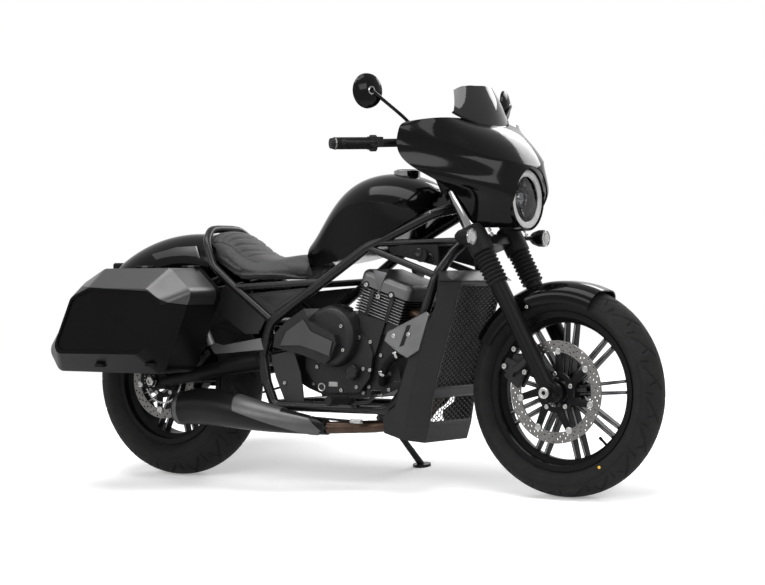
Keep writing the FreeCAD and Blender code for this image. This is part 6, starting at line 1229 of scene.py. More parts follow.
def add_frame(bm: Shape, outline: Outline, y_from: float, y_to: float,
              width: float, bevel: float = 0.0) -> None:
    """Adds a flat frame that follows an outline of x and z values.

    Args:
        bm: The shape to add to.
        outline: Outer corners of the frame.
        y_from: One face's y.
        y_to: The other face's y.
        width: Width of its bars.
        bevel: Rounding of its edges.
    """
    verts = [bm.verts.new((x, y_from, z)) for x, z in outline]
    face = bm.faces.new(verts)
    ring = bmesh.ops.inset_region(bm, faces=[face], thickness=width, depth=0.0, use_boundary=True,
                                  use_even_offset=True)["faces"]
    bmesh.ops.delete(bm, geom=[face], context="FACES_ONLY")
    moved = corners_of(bmesh.ops.extrude_face_region(bm, geom=ring))
    bmesh.ops.translate(bm, verts=moved, vec=(0, y_to - y_from, 0))
    sharp = {edge for vert in moved for edge in vert.link_edges
             if all(end in moved for end in edge.verts) and edge.is_manifold
             and edge.calc_face_angle(0) > 0.5}
    round_edges(bm, sharp, bevel)


@dataclass
class Saddle:
    """Padded single seat with sewn channels on the hump's front slope."""

    voxel: float = 0.0055
    shrink: float = 4.0
    most_rise: float = 7.0
    steps: int = 20
    channel_depth: float = 4.2
    channel_half_width: float = 4.5
    channel_rows: tuple[float, ...] = (-512.0, -484.0, -456.0, -428.0, -400.0, -372.0)
    field_half_width: float = 96.0
    seam_depth: float = 3.4
    seam_half_width: float = 3.0
    flank_seam_z: float = 668.0
    flank_seam_from: float = 60.0
    pressure: float = 4.0
    row_bow: float = 20.0
    field_margin: float = 24.0
    top_from: float = 0.15
    top_blend: float = 0.25

    def build(self, frame: dict) -> None:
        """Makes the cushion in place of the seat's solid.

        Args:
            frame: The loaded frame.
        """
        bm = bmesh.new()
        bm.from_mesh(frame["nodes"]["seat"].data)
        bmesh.ops.remove_doubles(bm, verts=bm.verts, dist=0.00002)
        bmesh.ops.recalc_face_normals(bm, faces=bm.faces)
        mesh = mesh_of(bm, "seat_cushion")
        mesh.materials.append(VINYL.material())
        cushion = add_object("seat_cushion", mesh)
        remesh = cushion.modifiers.new("remesh", "REMESH")
        remesh.mode = "VOXEL"
        remesh.voxel_size = self.voxel
        remesh.use_smooth_shade = True
        settle(cushion, 60)
        self._shrink(cushion)
        self._swell(cushion)
        smooth = cushion.modifiers.new("smooth", "SUBSURF")
        smooth.levels = 1
        smooth.render_levels = 1
        settle(cushion, 80)
        self._sew(cushion)
        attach(cushion, Body.FRAME.value)
        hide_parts("seat")
        LOG.info("piece seat_cushion: %d faces", len(cushion.data.polygons))

    def _shrink(self, cushion: bpy.types.Object) -> None:
        """Draws the upper surface in, so that there is room to swell."""
        up = (STANCE.matrix.to_3x3() @ Z_AXIS).normalized()
        normals = [vert.normal.copy() for vert in cushion.data.vertices]
        for vert, normal in zip(cushion.data.vertices, normals):
            if normal.dot(up) > -0.5:
                vert.co -= normal * self.shrink * MM
        bm = bmesh.new()
        bm.from_mesh(cushion.data)
        for _ in range(3):
            bmesh.ops.smooth_vert(bm, verts=bm.verts, factor=0.5, use_axis_x=True, use_axis_y=True,
                                  use_axis_z=True)
        bm.to_mesh(cushion.data)
        bm.free()

    def _swell(self, cushion: bpy.types.Object) -> None:
        """Blows the cover up with the cloth simulation and caps how far each point moves."""
        up = (STANCE.matrix.to_3x3() @ Z_AXIS).normalized()
        start = [vert.co.copy() for vert in cushion.data.vertices]
        held = [vert.normal.dot(up) < -0.3 for vert in cushion.data.vertices]
        cloth = cushion.modifiers.new("cloth", "CLOTH")
        cloth.settings.use_pressure = True
        cloth.settings.uniform_pressure_force = self.pressure
        cloth.settings.effector_weights.gravity = 0.0
        scene = bpy.context.scene
        for step in range(1, self.steps + 1):
            scene.frame_set(step)
        graph = bpy.context.evaluated_depsgraph_get()
        swollen = cushion.evaluated_get(graph).to_mesh()
        ends = [vert.co.copy() for vert in swollen.vertices]
        cushion.evaluated_get(graph).to_mesh_clear()
        cushion.modifiers.clear()
        scene.frame_set(1)
        most = self.most_rise * MM
        for vert, first, last, fixed in zip(cushion.data.vertices, start, ends, held):
            move = last - first
            if move.length > most:
                move *= most / move.length
            vert.co = first if fixed else first + move

    def _sew(self, cushion: bpy.types.Object) -> None:
        """Presses the channels and the border seam into the hump's front slope."""
        back = STANCE.matrix.inverted()
        normals = [vert.normal.copy() for vert in cushion.data.vertices]
        turn = back.to_3x3()
        for vert, normal in zip(cushion.data.vertices, normals):
            place = back @ vert.co
            upward = (turn @ normal).normalized().z
            if upward < self.top_from:
                depth = self._side_seam(place)
            else:
                depth = self._top_depth(place) * min(1.0, (upward - self.top_from) / self.top_blend)
            if depth:
                vert.co -= normal * depth * MM

    def _side_seam(self, place: Vector) -> float:
        """Depth of the long seam low on the seat's flank."""
        if place.z < self.flank_seam_z - 13 or abs(place.y) < self.flank_seam_from:
            return 0.0
        return self.seam_depth * math.exp(-((place.z - self.flank_seam_z) / self.seam_half_width) ** 2)

    def _top_depth(self, place: Vector) -> float:
        """Depth of the channels and the seam at a point of the upper surface.

        Args:
            place: The point, upright and in millimetres.

        Returns:
            The depth in millimetres.
        """
        if not self.channel_rows[0] - self.field_margin < place.x < self.channel_rows[-1] + self.field_margin:
            return 0.0
        across = abs(place.y) / self.field_half_width
        if across < 1:
            along = place.x + self.row_bow * across * across
            near = min(abs(along - row) for row in self.channel_rows)
            channel = self.channel_depth * math.exp(-(near / self.channel_half_width) ** 2)
            return channel * min(1.0, (1 - across) * 12)
        edge = abs(place.y) - self.field_half_width
        return self.seam_depth * math.exp(-(edge / self.seam_half_width) ** 2)


@dataclass
class Bodywork:
    """Panel frames, tank dots, fender strips and bolts, case feet, tail lens and panel knobs."""

    panel: Outline = ((-346.0, 609.0), (-116.0, 628.0), (-248.0, 554.0))
    fender_strip: Outline = ((-770.0, 742.0), (-664.0, 765.0), (-588.0, 768.0),
                             (-572.0, 726.0), (-746.0, 716.0))
    strip_end: Outline = ((-588.0, 768.0), (-580.0, 768.0), (-564.0, 726.0),
                          (-572.0, 726.0))
    inlay_share: float = 0.66
    foot_places: tuple[float, float] = (-560.0, -770.0)
    foot_y: float = 386.0
    knobs: Line = ((292, 740, 14), (322, 722, 15))

    def build(self, shell: Shell) -> None:
        """Makes the trim of the painted parts.

        Args:
            shell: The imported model's surfaces.
        """
        self._panels(shell)
        self._tank(shell)
        self._fender(shell)
        self._cases(shell)
        self._tail()
        self._knob(shell)

    def _panels(self, shell: Shell) -> None:
        """Makes the raised frame and the inlaid triangle of both side panels."""
        rims = bmesh.new()
        inlays = bmesh.new()
        middle = Vector((sum(x for x, _ in self.panel) / 3, 0, sum(z for _, z in self.panel) / 3))
        for side in SIDES:
            face = abs(shell.seat(middle.x, middle.z, side, 143.25, "side_panels").y) * side
            add_frame(rims, self.panel, face - side, face + side * 2.4, 6, bevel=0.8)
            share = self.inlay_share
            small = [(middle.x + (x - middle.x) * share, middle.z + (z - middle.z) * share)
                     for x, z in self.panel]
            add_plate(inlays, small, face - side, face + side * 1.2, bevel=0.9)
        finish_piece(rims, "panel_frames", PANEL_EDGE, Body.FRAME)
        finish_piece(inlays, "panel_inlays", PANEL_BLACK, Body.FRAME)

    def _tank(self, shell: Shell) -> None:
        """Makes the small bright dots on the tank's flanks."""
        bm = bmesh.new()
        for side in SIDES:
            seat = shell.seat(330, 865, side, 120, "fuel_tank")
            add_bolt(bm, seat - Y_AXIS * side * 0.5, Y_AXIS * side, 4.5, 3)
        finish_piece(bm, "tank_dots", CHROME, Body.FRAME)

    def _fender(self, shell: Shell) -> None:
        """Makes the rear fender's strips with their bright ends, and the front fender's bolts."""
        strips = bmesh.new()
        ends = bmesh.new()
        for side in SIDES:
            face = abs(shell.seat(-660, 742, side, 104, "rear_fender").y) * side
            add_plate(strips, self.fender_strip, face - side, face + side * 1.6, bevel=0.7)
            add_plate(ends, self.strip_end, face - side, face + side * 2.4, bevel=0.7)
        finish_piece(strips, "fender_strips", PANEL_EDGE, Body.FRAME)
        finish_piece(ends, "fender_strip_ends", MACHINED, Body.FRAME)
        bolts = bmesh.new()
        for side in SIDES:
            seat = shell.seat(648, 574, side, 72, "front_fender")
            add_bolt(bolts, seat - Y_AXIS * side * 0.6, Y_AXIS * side, 6, 4)
        finish_piece(bolts, "fender_bolts", ZINC, Body.STEERING)

    def _cases(self, shell: Shell) -> None:
        """Makes the cases' rubber feet."""
        feet = bmesh.new()
        for side in SIDES:
            for x in self.foot_places:
                seat = shell.under(x, self.foot_y * side, 355, "pannier_cases")
                add_block(feet, seat - Z_AXIS * 4, Vector((34, 22, 12)), bevel=3)
        finish_piece(feet, "case_feet", RUBBER, Body.FRAME)

    def _tail(self) -> None:
        """Makes the tail light's lens."""
        back = STANCE.matrix.inverted()
        low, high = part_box("tail_light")
        middle = back @ ((Vector(low) + Vector(high)) / 2)
        lens = bmesh.new()
        add_block(lens, Vector((middle.x - 3, 0, middle.z)), Vector((42, 108, 24)), bevel=7)
        finish_piece(lens, "tail_lens", RED_LENS, Body.FRAME)

    def _knob(self, shell: Shell) -> None:
        """Makes the knob and the disc on the panel behind the fork."""
        bm = bmesh.new()
        nodes = ("horn", "main_frame", "fuel_tank", "radiator_shroud", "cylinders")
        for x, z, radius in self.knobs:
            seat = shell.seat(x, z, -1, 124, *nodes)
            if abs(seat.y) < 60:
                continue
            profile = [(0, -3), (radius, -3), (radius, 3), (radius * 0.82, 5), (radius * 0.6, 3.4), (0, 3.4)]
            add_round(bm, profile, seat, -Y_AXIS, steps=28)
        if bm.verts:
            finish_piece(bm, "panel_knobs", FRAME_BLACK, Body.FRAME)
        else:
            bm.free()


@dataclass
class Engine:
    """Bright fin edges, valve cover details, cover rings, hoses, blank label and bolts of the engine."""

    fin_first: float = 11.2
    fin_pitch: float = 9.09
    fin_count: int = 9
    fin_y: float = 107.0
    groups: Outline = ((-84.0, -46.0), (-34.0, 30.0), (42.0, 84.0))
    case_bolts: Outline = (
        (-128, 324), (-7, 308), (52, 319), (86, 320), (65, 301), (120, 299), (146, 295), (161, 313),
        (165, 363), (131, 420), (154, 403), (21, 511), (63, 475), (101, 462), (78, 377), (103, 374),
        (-60, 404), (28, 436), (-100, 380), (-126, 420), (-205, 327))
    ridge: Outline = ((112, 690), (166, 678), (146, 642), (134, 612))
    elbow: Line = (
        (140, -100, 330), (146, -113, 352), (166, -118, 392), (196, -117, 420), (226, -112, 430))
    hose: Line = (
        (-104, -96, 540), (-78, -112, 562), (-40, -116, 572), (0, -112, 572), (26, -98, 560))
    bracket: Outline = ((-84, 562), (-66, 562), (-56, 526), (-62, 518), (-80, 520), (-86, 534))

    def build(self, shell: Shell) -> None:
        """Makes the engine's small parts.

        Args:
            shell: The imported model's surfaces.
        """
        self._fins()
        self._valve_cover(shell)
        self._bolts(shell)
        self._round_cover(shell)
        self._hoses()

    def _fins(self) -> None:
        """Makes the machined edges of the fins, in three groups a side."""
        bm = bmesh.new()
        turn = Matrix.Rotation(CYLINDER_LEAN, 4, "Y")
        for side in SIDES:
            for index in range(self.fin_count):
                up = self.fin_first + self.fin_pitch * index
                for start, end in self.groups:
                    start_at = start + 7 * index / self.fin_count
                    centre = tilted((start_at + end) / 2, up, self.fin_y * side)
                    add_block(bm, centre, Vector((end - start_at, 1.6, 2.1)), turn, bevel=0.4)
        finish_piece(bm, "fin_edges", MACHINED, Body.FRAME)
        gaps = bmesh.new()
        for side in SIDES:
            for start, end in ((-47, -33), (29, 43)):
                centre = tilted((start + end) / 2, 46, (self.fin_y - 3.5) * side)
                add_block(gaps, centre, Vector((end - start, 8, 84)), turn, bevel=2.5)
        finish_piece(gaps, "cylinder_studs", CAST_BLACK, Body.FRAME)

    def _valve_cover(self, shell: Shell) -> None:
        """Makes the wedge ridge and the bolt cut-outs of the valve cover."""
        ridge = bmesh.new()
        cuts = bmesh.new()
        bolts = bmesh.new()
        for side in SIDES:
            face = abs(shell.seat(130, 660, side, 110, "valve_cover").y) * side
            add_plate(ridge, self.ridge, face - 2 * side, face + 3.2 * side, bevel=2.2)
            for x, z in ((86, 641), (180, 608)):
                seat = Vector((x, face, z))
                add_rod(cuts, seat - Y_AXIS * side * 3, seat + Y_AXIS * side * 0.8, 13, segments=28,
                        bevel=0.4)
                add_bolt(bolts, seat + Y_AXIS * side * 0.5, Y_AXIS * side, 7, 4)
            add_bolt(bolts, Vector((132, face, 604)) - Y_AXIS * side * 6, Y_AXIS * side, 8.5, 10)
        finish_piece(ridge, "valve_cover_ridge", COVER_GREY, Body.FRAME)
        finish_piece(cuts, "valve_cover_pockets", CAST_BLACK, Body.FRAME)
        finish_piece(bolts, "valve_cover_bolts", ZINC, Body.FRAME)

    def _bolts(self, shell: Shell) -> None:
        """Makes the bolts round the case and the cylinders."""
        bm = bmesh.new()
        nodes = ("engine_case", "engine_covers", "cylinders", "side_panels", "main_frame")
        for side in SIDES:
            for x, z in self.case_bolts:
                seat = shell.seat(x, z, side, 112, *nodes)
                if not 70 < abs(seat.y) < 160:
                    continue
                add_bolt(bm, seat - Y_AXIS * side, Y_AXIS * side, 6.5, 7)
        finish_piece(bm, "engine_bolts", ZINC, Body.FRAME)

    def _round_cover(self, shell: Shell) -> None:
        """Makes the ring of the round end cover, the sight glass and the blank label."""
        nodes = ("engine_case", "engine_covers")
        ring = bmesh.new()
        seat = shell.seat(40, 366, -1, 132, *nodes)
        profile = [(19, -2), (24.6, -2), (24.6, 1.5), (23, 3), (20.5, 3), (19, 1.5)]
        add_round(ring, profile, seat, -Y_AXIS, steps=40, closed=True)
        finish_piece(ring, "end_cover_ring", FRAME_BLACK, Body.FRAME)
        rim = bmesh.new()
        glass = bmesh.new()
        seat = shell.seat(-84, 316, -1, 112, *nodes)
        profile = [(10, -3), (14, -3), (14, 2), (12.5, 3.4), (10, 2.6)]
        add_round(rim, profile, seat, -Y_AXIS, steps=32, closed=True)
        profile = [(0, -2), (10.4, -2), (10.4, 1.4), (6, 2.4), (0, 2.8)]
        add_round(glass, profile, seat, -Y_AXIS, steps=32)
        finish_piece(rim, "sight_glass_ring", ZINC, Body.FRAME)
        finish_piece(glass, "sight_glass", SMOKED, Body.FRAME)
        label = bmesh.new()
        seat = shell.seat(-40, 326, -1, 112, *nodes)
        add_block(label, seat, Vector((34, 1.6, 15)), bevel=0.6)
        finish_piece(label, "blank_label", LABEL_GREY, Body.FRAME)

    def _hoses(self) -> None:
        """Makes the coolant elbow with its clamps and the ribbed hose over the clutch."""
        elbow = [Vector(point) for point in self.elbow]
        bm = bmesh.new()
        add_path(bm, elbow, 13, segments=20)
        finish_piece(bm, "coolant_elbow", RUBBER, Body.FRAME, outward=False)
        clamps = bmesh.new()
        for start, end in ((elbow[1], elbow[2]), (elbow[3], elbow[4])):
            way = (end - start).normalized()
            centre = start.lerp(end, 0.3)
            profile = [(13, -4), (14.6, -4), (14.6, 4), (13, 4)]
            add_round(clamps, profile, centre, way, steps=28, closed=True)
            add_rod(clamps, centre + Vector((-7, -15, 6)), centre + Vector((7, -15, 6)), 3.2, segments=10,
                    bevel=0.5)
        finish_piece(clamps, "hose_clamps", ZINC, Body.FRAME)
        hose = [Vector(point) for point in self.hose]
        ribbed = bmesh.new()
        add_path(ribbed, hose, 7.5, segments=16)
        for start, end in zip(hose, hose[1:]):
            way = (end - start).normalized()
            for share in (0.15, 0.35, 0.55, 0.75):
                centre = start.lerp(end, share)
                add_rod(ribbed, centre - way * 1.6, centre + way * 1.6, 9.2, segments=16, bevel=0.8)
        finish_piece(ribbed, "ribbed_hose", RUBBER, Body.FRAME, outward=False)
        bracket = bmesh.new()
        add_plate(bracket, self.bracket, -119, -113, bevel=1.2)
        add_bolt(bracket, Vector((-72, -119, 548)), -Y_AXIS, 6, 5)
        finish_piece(bracket, "hose_bracket", ZINC, Body.FRAME)


@dataclass
class Shroud:
    """Hexagonal net in the radiator shroud's two windows, and the brackets' slots, bolts and painted
    highlight along their edges.
    """

    windows: tuple[tuple[tuple[float, float], tuple[float, float]], ...] = (
        ((348.2, 321.4), (443.5, 642.7)), ((329.4, 213.4), (342.8, 297.1)))
    half_width: float = 122.0
    cell_width: float = 18.6
    cell_height: float = 16.0
    wire: float = 3.4
    behind: float = 2.5
    rim_width: float = 6.0
    rim_thickness: float = 3.0
    bracket_y: float = 184.0
    slot: Outline = ((258, 450), (275, 456), (301, 519), (286, 517))
    bolts: Outline = ((238, 484), (292, 489))
    bracket: Outline = (
        (203, 470), (214, 496), (354, 559), (366, 550), (329, 442), (287, 418), (259, 431))

    def build(self) -> None:
        """Makes the mesh panels and the brackets' details."""
        bm = bmesh.new()
        rims = bmesh.new()
        for foot, top in self.windows:
            low = Vector((foot[0], 0, foot[1]))
            high = Vector((top[0], 0, top[1]))
            self._panel(bm, low, high)
            self._rim(rims, low, high)
        finish_piece(bm, "shroud_net", NET_BLACK, Body.FRAME, stands_for=("shroud_mesh",), outward=False)
        finish_piece(rims, "shroud_net_rims", NET_BLACK, Body.FRAME, stands_for=("shroud_mesh",))
        self._brackets()

    def _ahead(self, up: Vector) -> Vector:
        """Forward direction square to a window's slope."""
        ahead = Y_AXIS.cross(up).normalized()
        return ahead if ahead.x > 0 else -ahead

    def _panel(self, bm: Shape, low: Vector, high: Vector) -> None:
        """Adds one panel of hexagonal mesh.

        Args:
            bm: The shape to add to.
            low: Middle of the window's lower edge.
            high: Middle of its upper edge.
        """
        up = (high - low).normalized()
        ahead = self._ahead(up)
        length = (high - low).length
        net = bmesh.new()
        radius = self.cell_width / 2
        squash = self.cell_height / (radius * math.sqrt(3))
        column_pitch = radius * 1.5
        columns = int(self.half_width * 2 / column_pitch) + 3
        rows = int(length / self.cell_height) + 3
        for column in range(columns):
            for row in range(rows):
                x = (column - columns / 2) * column_pitch
                z = (row - 1 + (0.5 if column % 2 else 0.0)) * self.cell_height
                place = Matrix.Translation(Vector((x, z, 0))) @ Matrix.Diagonal((1, squash, 1, 1))
                bmesh.ops.create_circle(net, cap_ends=True, segments=6, radius=radius,
                                        matrix=place @ Matrix.Rotation(math.radians(90), 4, "Z"))
        bmesh.ops.remove_doubles(net, verts=net.verts, dist=0.4)
        for point, normal in (((-self.half_width, 0, 0), (-1, 0, 0)), ((self.half_width, 0, 0), (1, 0, 0)),
                              ((0, 0, 0), (0, -1, 0)), ((0, length, 0), (0, 1, 0))):
            geom = list(net.verts) + list(net.edges) + list(net.faces)
            bmesh.ops.bisect_plane(net, geom=geom, plane_co=point, plane_no=normal, clear_outer=True,
                                   dist=0.01)
        bmesh.ops.wireframe(net, faces=net.faces, thickness=self.wire, use_replace=True, use_even_offset=True,
                            use_boundary=True)
        basis = Matrix((-Y_AXIS, up, ahead)).transposed().to_4x4()
        net.transform(Matrix.Translation(low - ahead * self.behind) @ basis)
        bmesh.ops.recalc_face_normals(net, faces=net.faces)
        mesh = mesh_of(net, "net")
        bm.from_mesh(mesh)
        bpy.data.meshes.remove(mesh)

    def _rim(self, bm: Shape, low: Vector, high: Vector) -> None:
        """Adds the thin frame round one panel."""
        up = (high - low).normalized()
        ahead = self._ahead(up)
        turn = Matrix.Rotation(math.atan2(up.x, up.z), 4, "Y")
        middle = (low + high) / 2 - ahead * self.behind
        length = (high - low).length
        for side in SIDES:
            upright = Vector((self.rim_thickness, self.rim_width, length))
            level = Vector((self.rim_thickness, self.half_width * 2, self.rim_width))
            add_block(bm, middle + Y_AXIS * side * (self.half_width - 2.5), upright, turn, bevel=0.8)
            add_block(bm, middle + up * side * (length / 2 - 2.5), level, turn, bevel=0.8)

    def _brackets(self) -> None:
        """Makes the painted highlight along the edge (a lighter raised band), the slot and the bolts of both
        side brackets.
        """
        slots = bmesh.new()
        bolts = bmesh.new()
        edges = bmesh.new()
        for side in SIDES:
            face = self.bracket_y * side
            add_plate(slots, self.slot, face - side, face + side * 0.7, bevel=0.3)
            for x, z in self.bolts:
                add_bolt(bolts, Vector((x, face - side * 0.5, z)), Y_AXIS * side, 7, 4.5)
            # painted highlight: a lighter band along the bracket's outline stands for the light on its edges
            add_frame(edges, self.bracket, face - side, face + side * 1.8, 7, bevel=0.9)
        finish_piece(slots, "bracket_slots", MATT_BLACK, Body.FRAME)
        finish_piece(bolts, "bracket_bolts", ZINC, Body.FRAME)
        finish_piece(edges, "bracket_painted_highlights", BRACKET_PAINTED_HIGHLIGHT, Body.FRAME)


@dataclass
class Exhaust:
    """The muffler's end ring and mouth, the heat shield's hole and the brake rod."""

    rear: Vector = point_at(-574.0, -202.0, 238.0)
    hole: tuple[float, float] = (-36.0, 192.0)
    hole_reach: tuple[float, float] = (14.0, 6.0)
    hole_steps: int = 20
    rod: Line = ((-82.0, -172.0, 222.0), (72.0, -172.0, 216.0))

    def build(self, shell: Shell) -> None:
        """Makes the muffler's trim and the brake rod.

        Args:
            shell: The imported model's surfaces.
        """
        ring = bmesh.new()
        section = [(-11.0, 35), (-11.5, 38), (-10.5, 50), (-6, 54), (8, 54.8), (10, 53.5), (10, 40), (-8, 36)]
        points = [self.rear + Vector((x, 0, r)) for x, r in section]
        add_turned(ring, points, self.rear, X_AXIS, steps=64, closed=True)
        finish_piece(ring, "muffler_end_ring", GUNMETAL, Body.FRAME, crease=28)
        mouth = bmesh.new()
        section = [(-10, 35.4), (8, 34), (8, 24), (-2, 22), (-2, 0)]
        points = [self.rear + Vector((x, 0, r)) for x, r in section]
        add_turned(mouth, points, self.rear, X_AXIS, steps=48)
        finish_piece(mouth, "muffler_mouth", MATT_BLACK, Body.FRAME)
        self._hole(shell)
        self._brake_rod()

    def _hole(self, shell: Shell) -> None:
        """Makes the oval hole low on the heat shield."""
        bm = bmesh.new()
        seat = shell.seat(*self.hole, -1, 232, "heat_shields", "muffler", "exhaust_pipes")
        outline = []
        for index in range(self.hole_steps):
            turn = math.tau * index / self.hole_steps
            x = math.cos(turn) * self.hole_reach[0]
            z = math.sin(turn) * self.hole_reach[1]
            outline.append((seat.x + x * 0.9 + z * 0.4, seat.z - x * 0.35 + z))
        add_plate(bm, outline, seat.y - 0.8, seat.y + 2, bevel=0.3)
        finish_piece(bm, "shield_hole", MATT_BLACK, Body.FRAME)

    def _brake_rod(self) -> None:
        """Makes the brake rod and its fork ends."""
        rod = bmesh.new()
        start, end = (Vector(point) for point in self.rod)
        add_rod(rod, start, end, 4.0, segments=14, bevel=0.6)
        finish_piece(rod, "brake_rod", SATIN_BLACK, Body.FRAME)
        clevis = bmesh.new()
        for tip, way in ((end, 1), (start, -1)):
            along = X_AXIS * way
            add_rod(clevis, tip - along * 4, tip + along * 16, 6.2, segments=16, bevel=1)
            for shift in (-5.5, 5.5):
                add_block(clevis, tip + along * 24 + Y_AXIS * shift, Vector((26, 3, 13)), bevel=1)
            add_rod(clevis, tip + along * 30 - Y_AXIS * 10, tip + along * 30 + Y_AXIS * 10, 3.6, segments=14,
                    bevel=0.6)
        finish_piece(clevis, "rod_ends", ZINC, Body.FRAME)


@dataclass
class RunningGear:
    """Rear axle ends, shock springs, peg rubbers and rear lamp lenses."""

    shock_top: Vector = point_at(-519.0, 156.0, 640.0)
    shock_foot: Vector = point_at(-700.0, 156.0, 366.0)
    peg: Vector = point_at(74.0, 0.0, 284.0)
    peg_y: float = 206.0
    peg_ribs: int = 8
    axle_end_y: float = 162.0
    coil_turns: int = 9
    coil_steps: int = 10
    coil_radius: float = 21.5
    coil_wire: float = 4.0
    lens_y: float = 130.0

    def build(self) -> None:
        """Makes the chassis' small parts."""
        self._axle()
        self._springs()
        self._pegs()
        self._rear_lenses()

    def _axle(self) -> None:
        """Makes the rear axle's nuts and washers."""
        bm = bmesh.new()
        for side in SIDES:
            seat = REAR_AXLE + Y_AXIS * side * self.axle_end_y
            profile = [(0, -6), (22, -6), (22, -3), (17, -2.5), (16, 6), (13.5, 8), (9, 8), (8, 4), (0, 4)]
            add_round(bm, profile, seat, Y_AXIS * side, steps=6)
        finish_piece(bm, "rear_axle_nuts", ZINC, Body.FRAME)

    def _springs(self) -> None:
        """Makes the coils of the two shocks."""
        bm = bmesh.new()
        for side in SIDES:
            top, foot = mirrored(self.shock_top, side), mirrored(self.shock_foot, side)
            way = (foot - top).normalized()
            start = top + way * 62
            length = (foot - top).length - 150
            base = towards(way, start)
            count = self.coil_turns * self.coil_steps
            points = []
            for index in range(count + 1):
                turn = math.tau * index / self.coil_steps
                points.append(base @ Vector((math.cos(turn) * self.coil_radius,
                                             math.sin(turn) * self.coil_radius, length * index / count)))
            add_path(bm, points, self.coil_wire, segments=12)
        finish_piece(bm, "shock_coils", FRAME_BLACK, Body.FRAME, outward=False)

    def _pegs(self) -> None:
        """Makes the ribbed rubbers of the rider's pegs."""
        bm = bmesh.new()
        for side in SIDES:
            start = self.peg + Y_AXIS * side * self.peg_y
            profile = [(0, 0), (15, 0), (15, 4)]
            for rib in range(self.peg_ribs):
                place = 6 + 10 * rib
                profile += [(14, place), (16, place + 1.5), (16, place + 6), (14, place + 7.5)]
            profile += [(16, 90), (14.5, 94), (0, 94)]
            add_round(bm, profile, start, Y_AXIS * side, steps=28)
        finish_piece(bm, "peg_rubbers", RUBBER, Body.FRAME)

    def _rear_lenses(self) -> None:
        """Makes the lenses of the two rear indicators."""
        back = STANCE.matrix.inverted()
        low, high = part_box("plate_bracket")
        rear = (back @ Vector(low)).x
        height = (back @ ((Vector(low) + Vector(high)) / 2)).z
        bm = bmesh.new()
        for side in SIDES:
            seat = Vector((rear, self.lens_y * side, height))
            profile = [(0, -3), (16.5, -3), (16.5, 0.5), (12, 2), (0, 3)]
            add_round(bm, profile, seat, -X_AXIS, steps=28)
        finish_piece(bm, "rear_lenses", LENS_PALE, Body.FRAME)


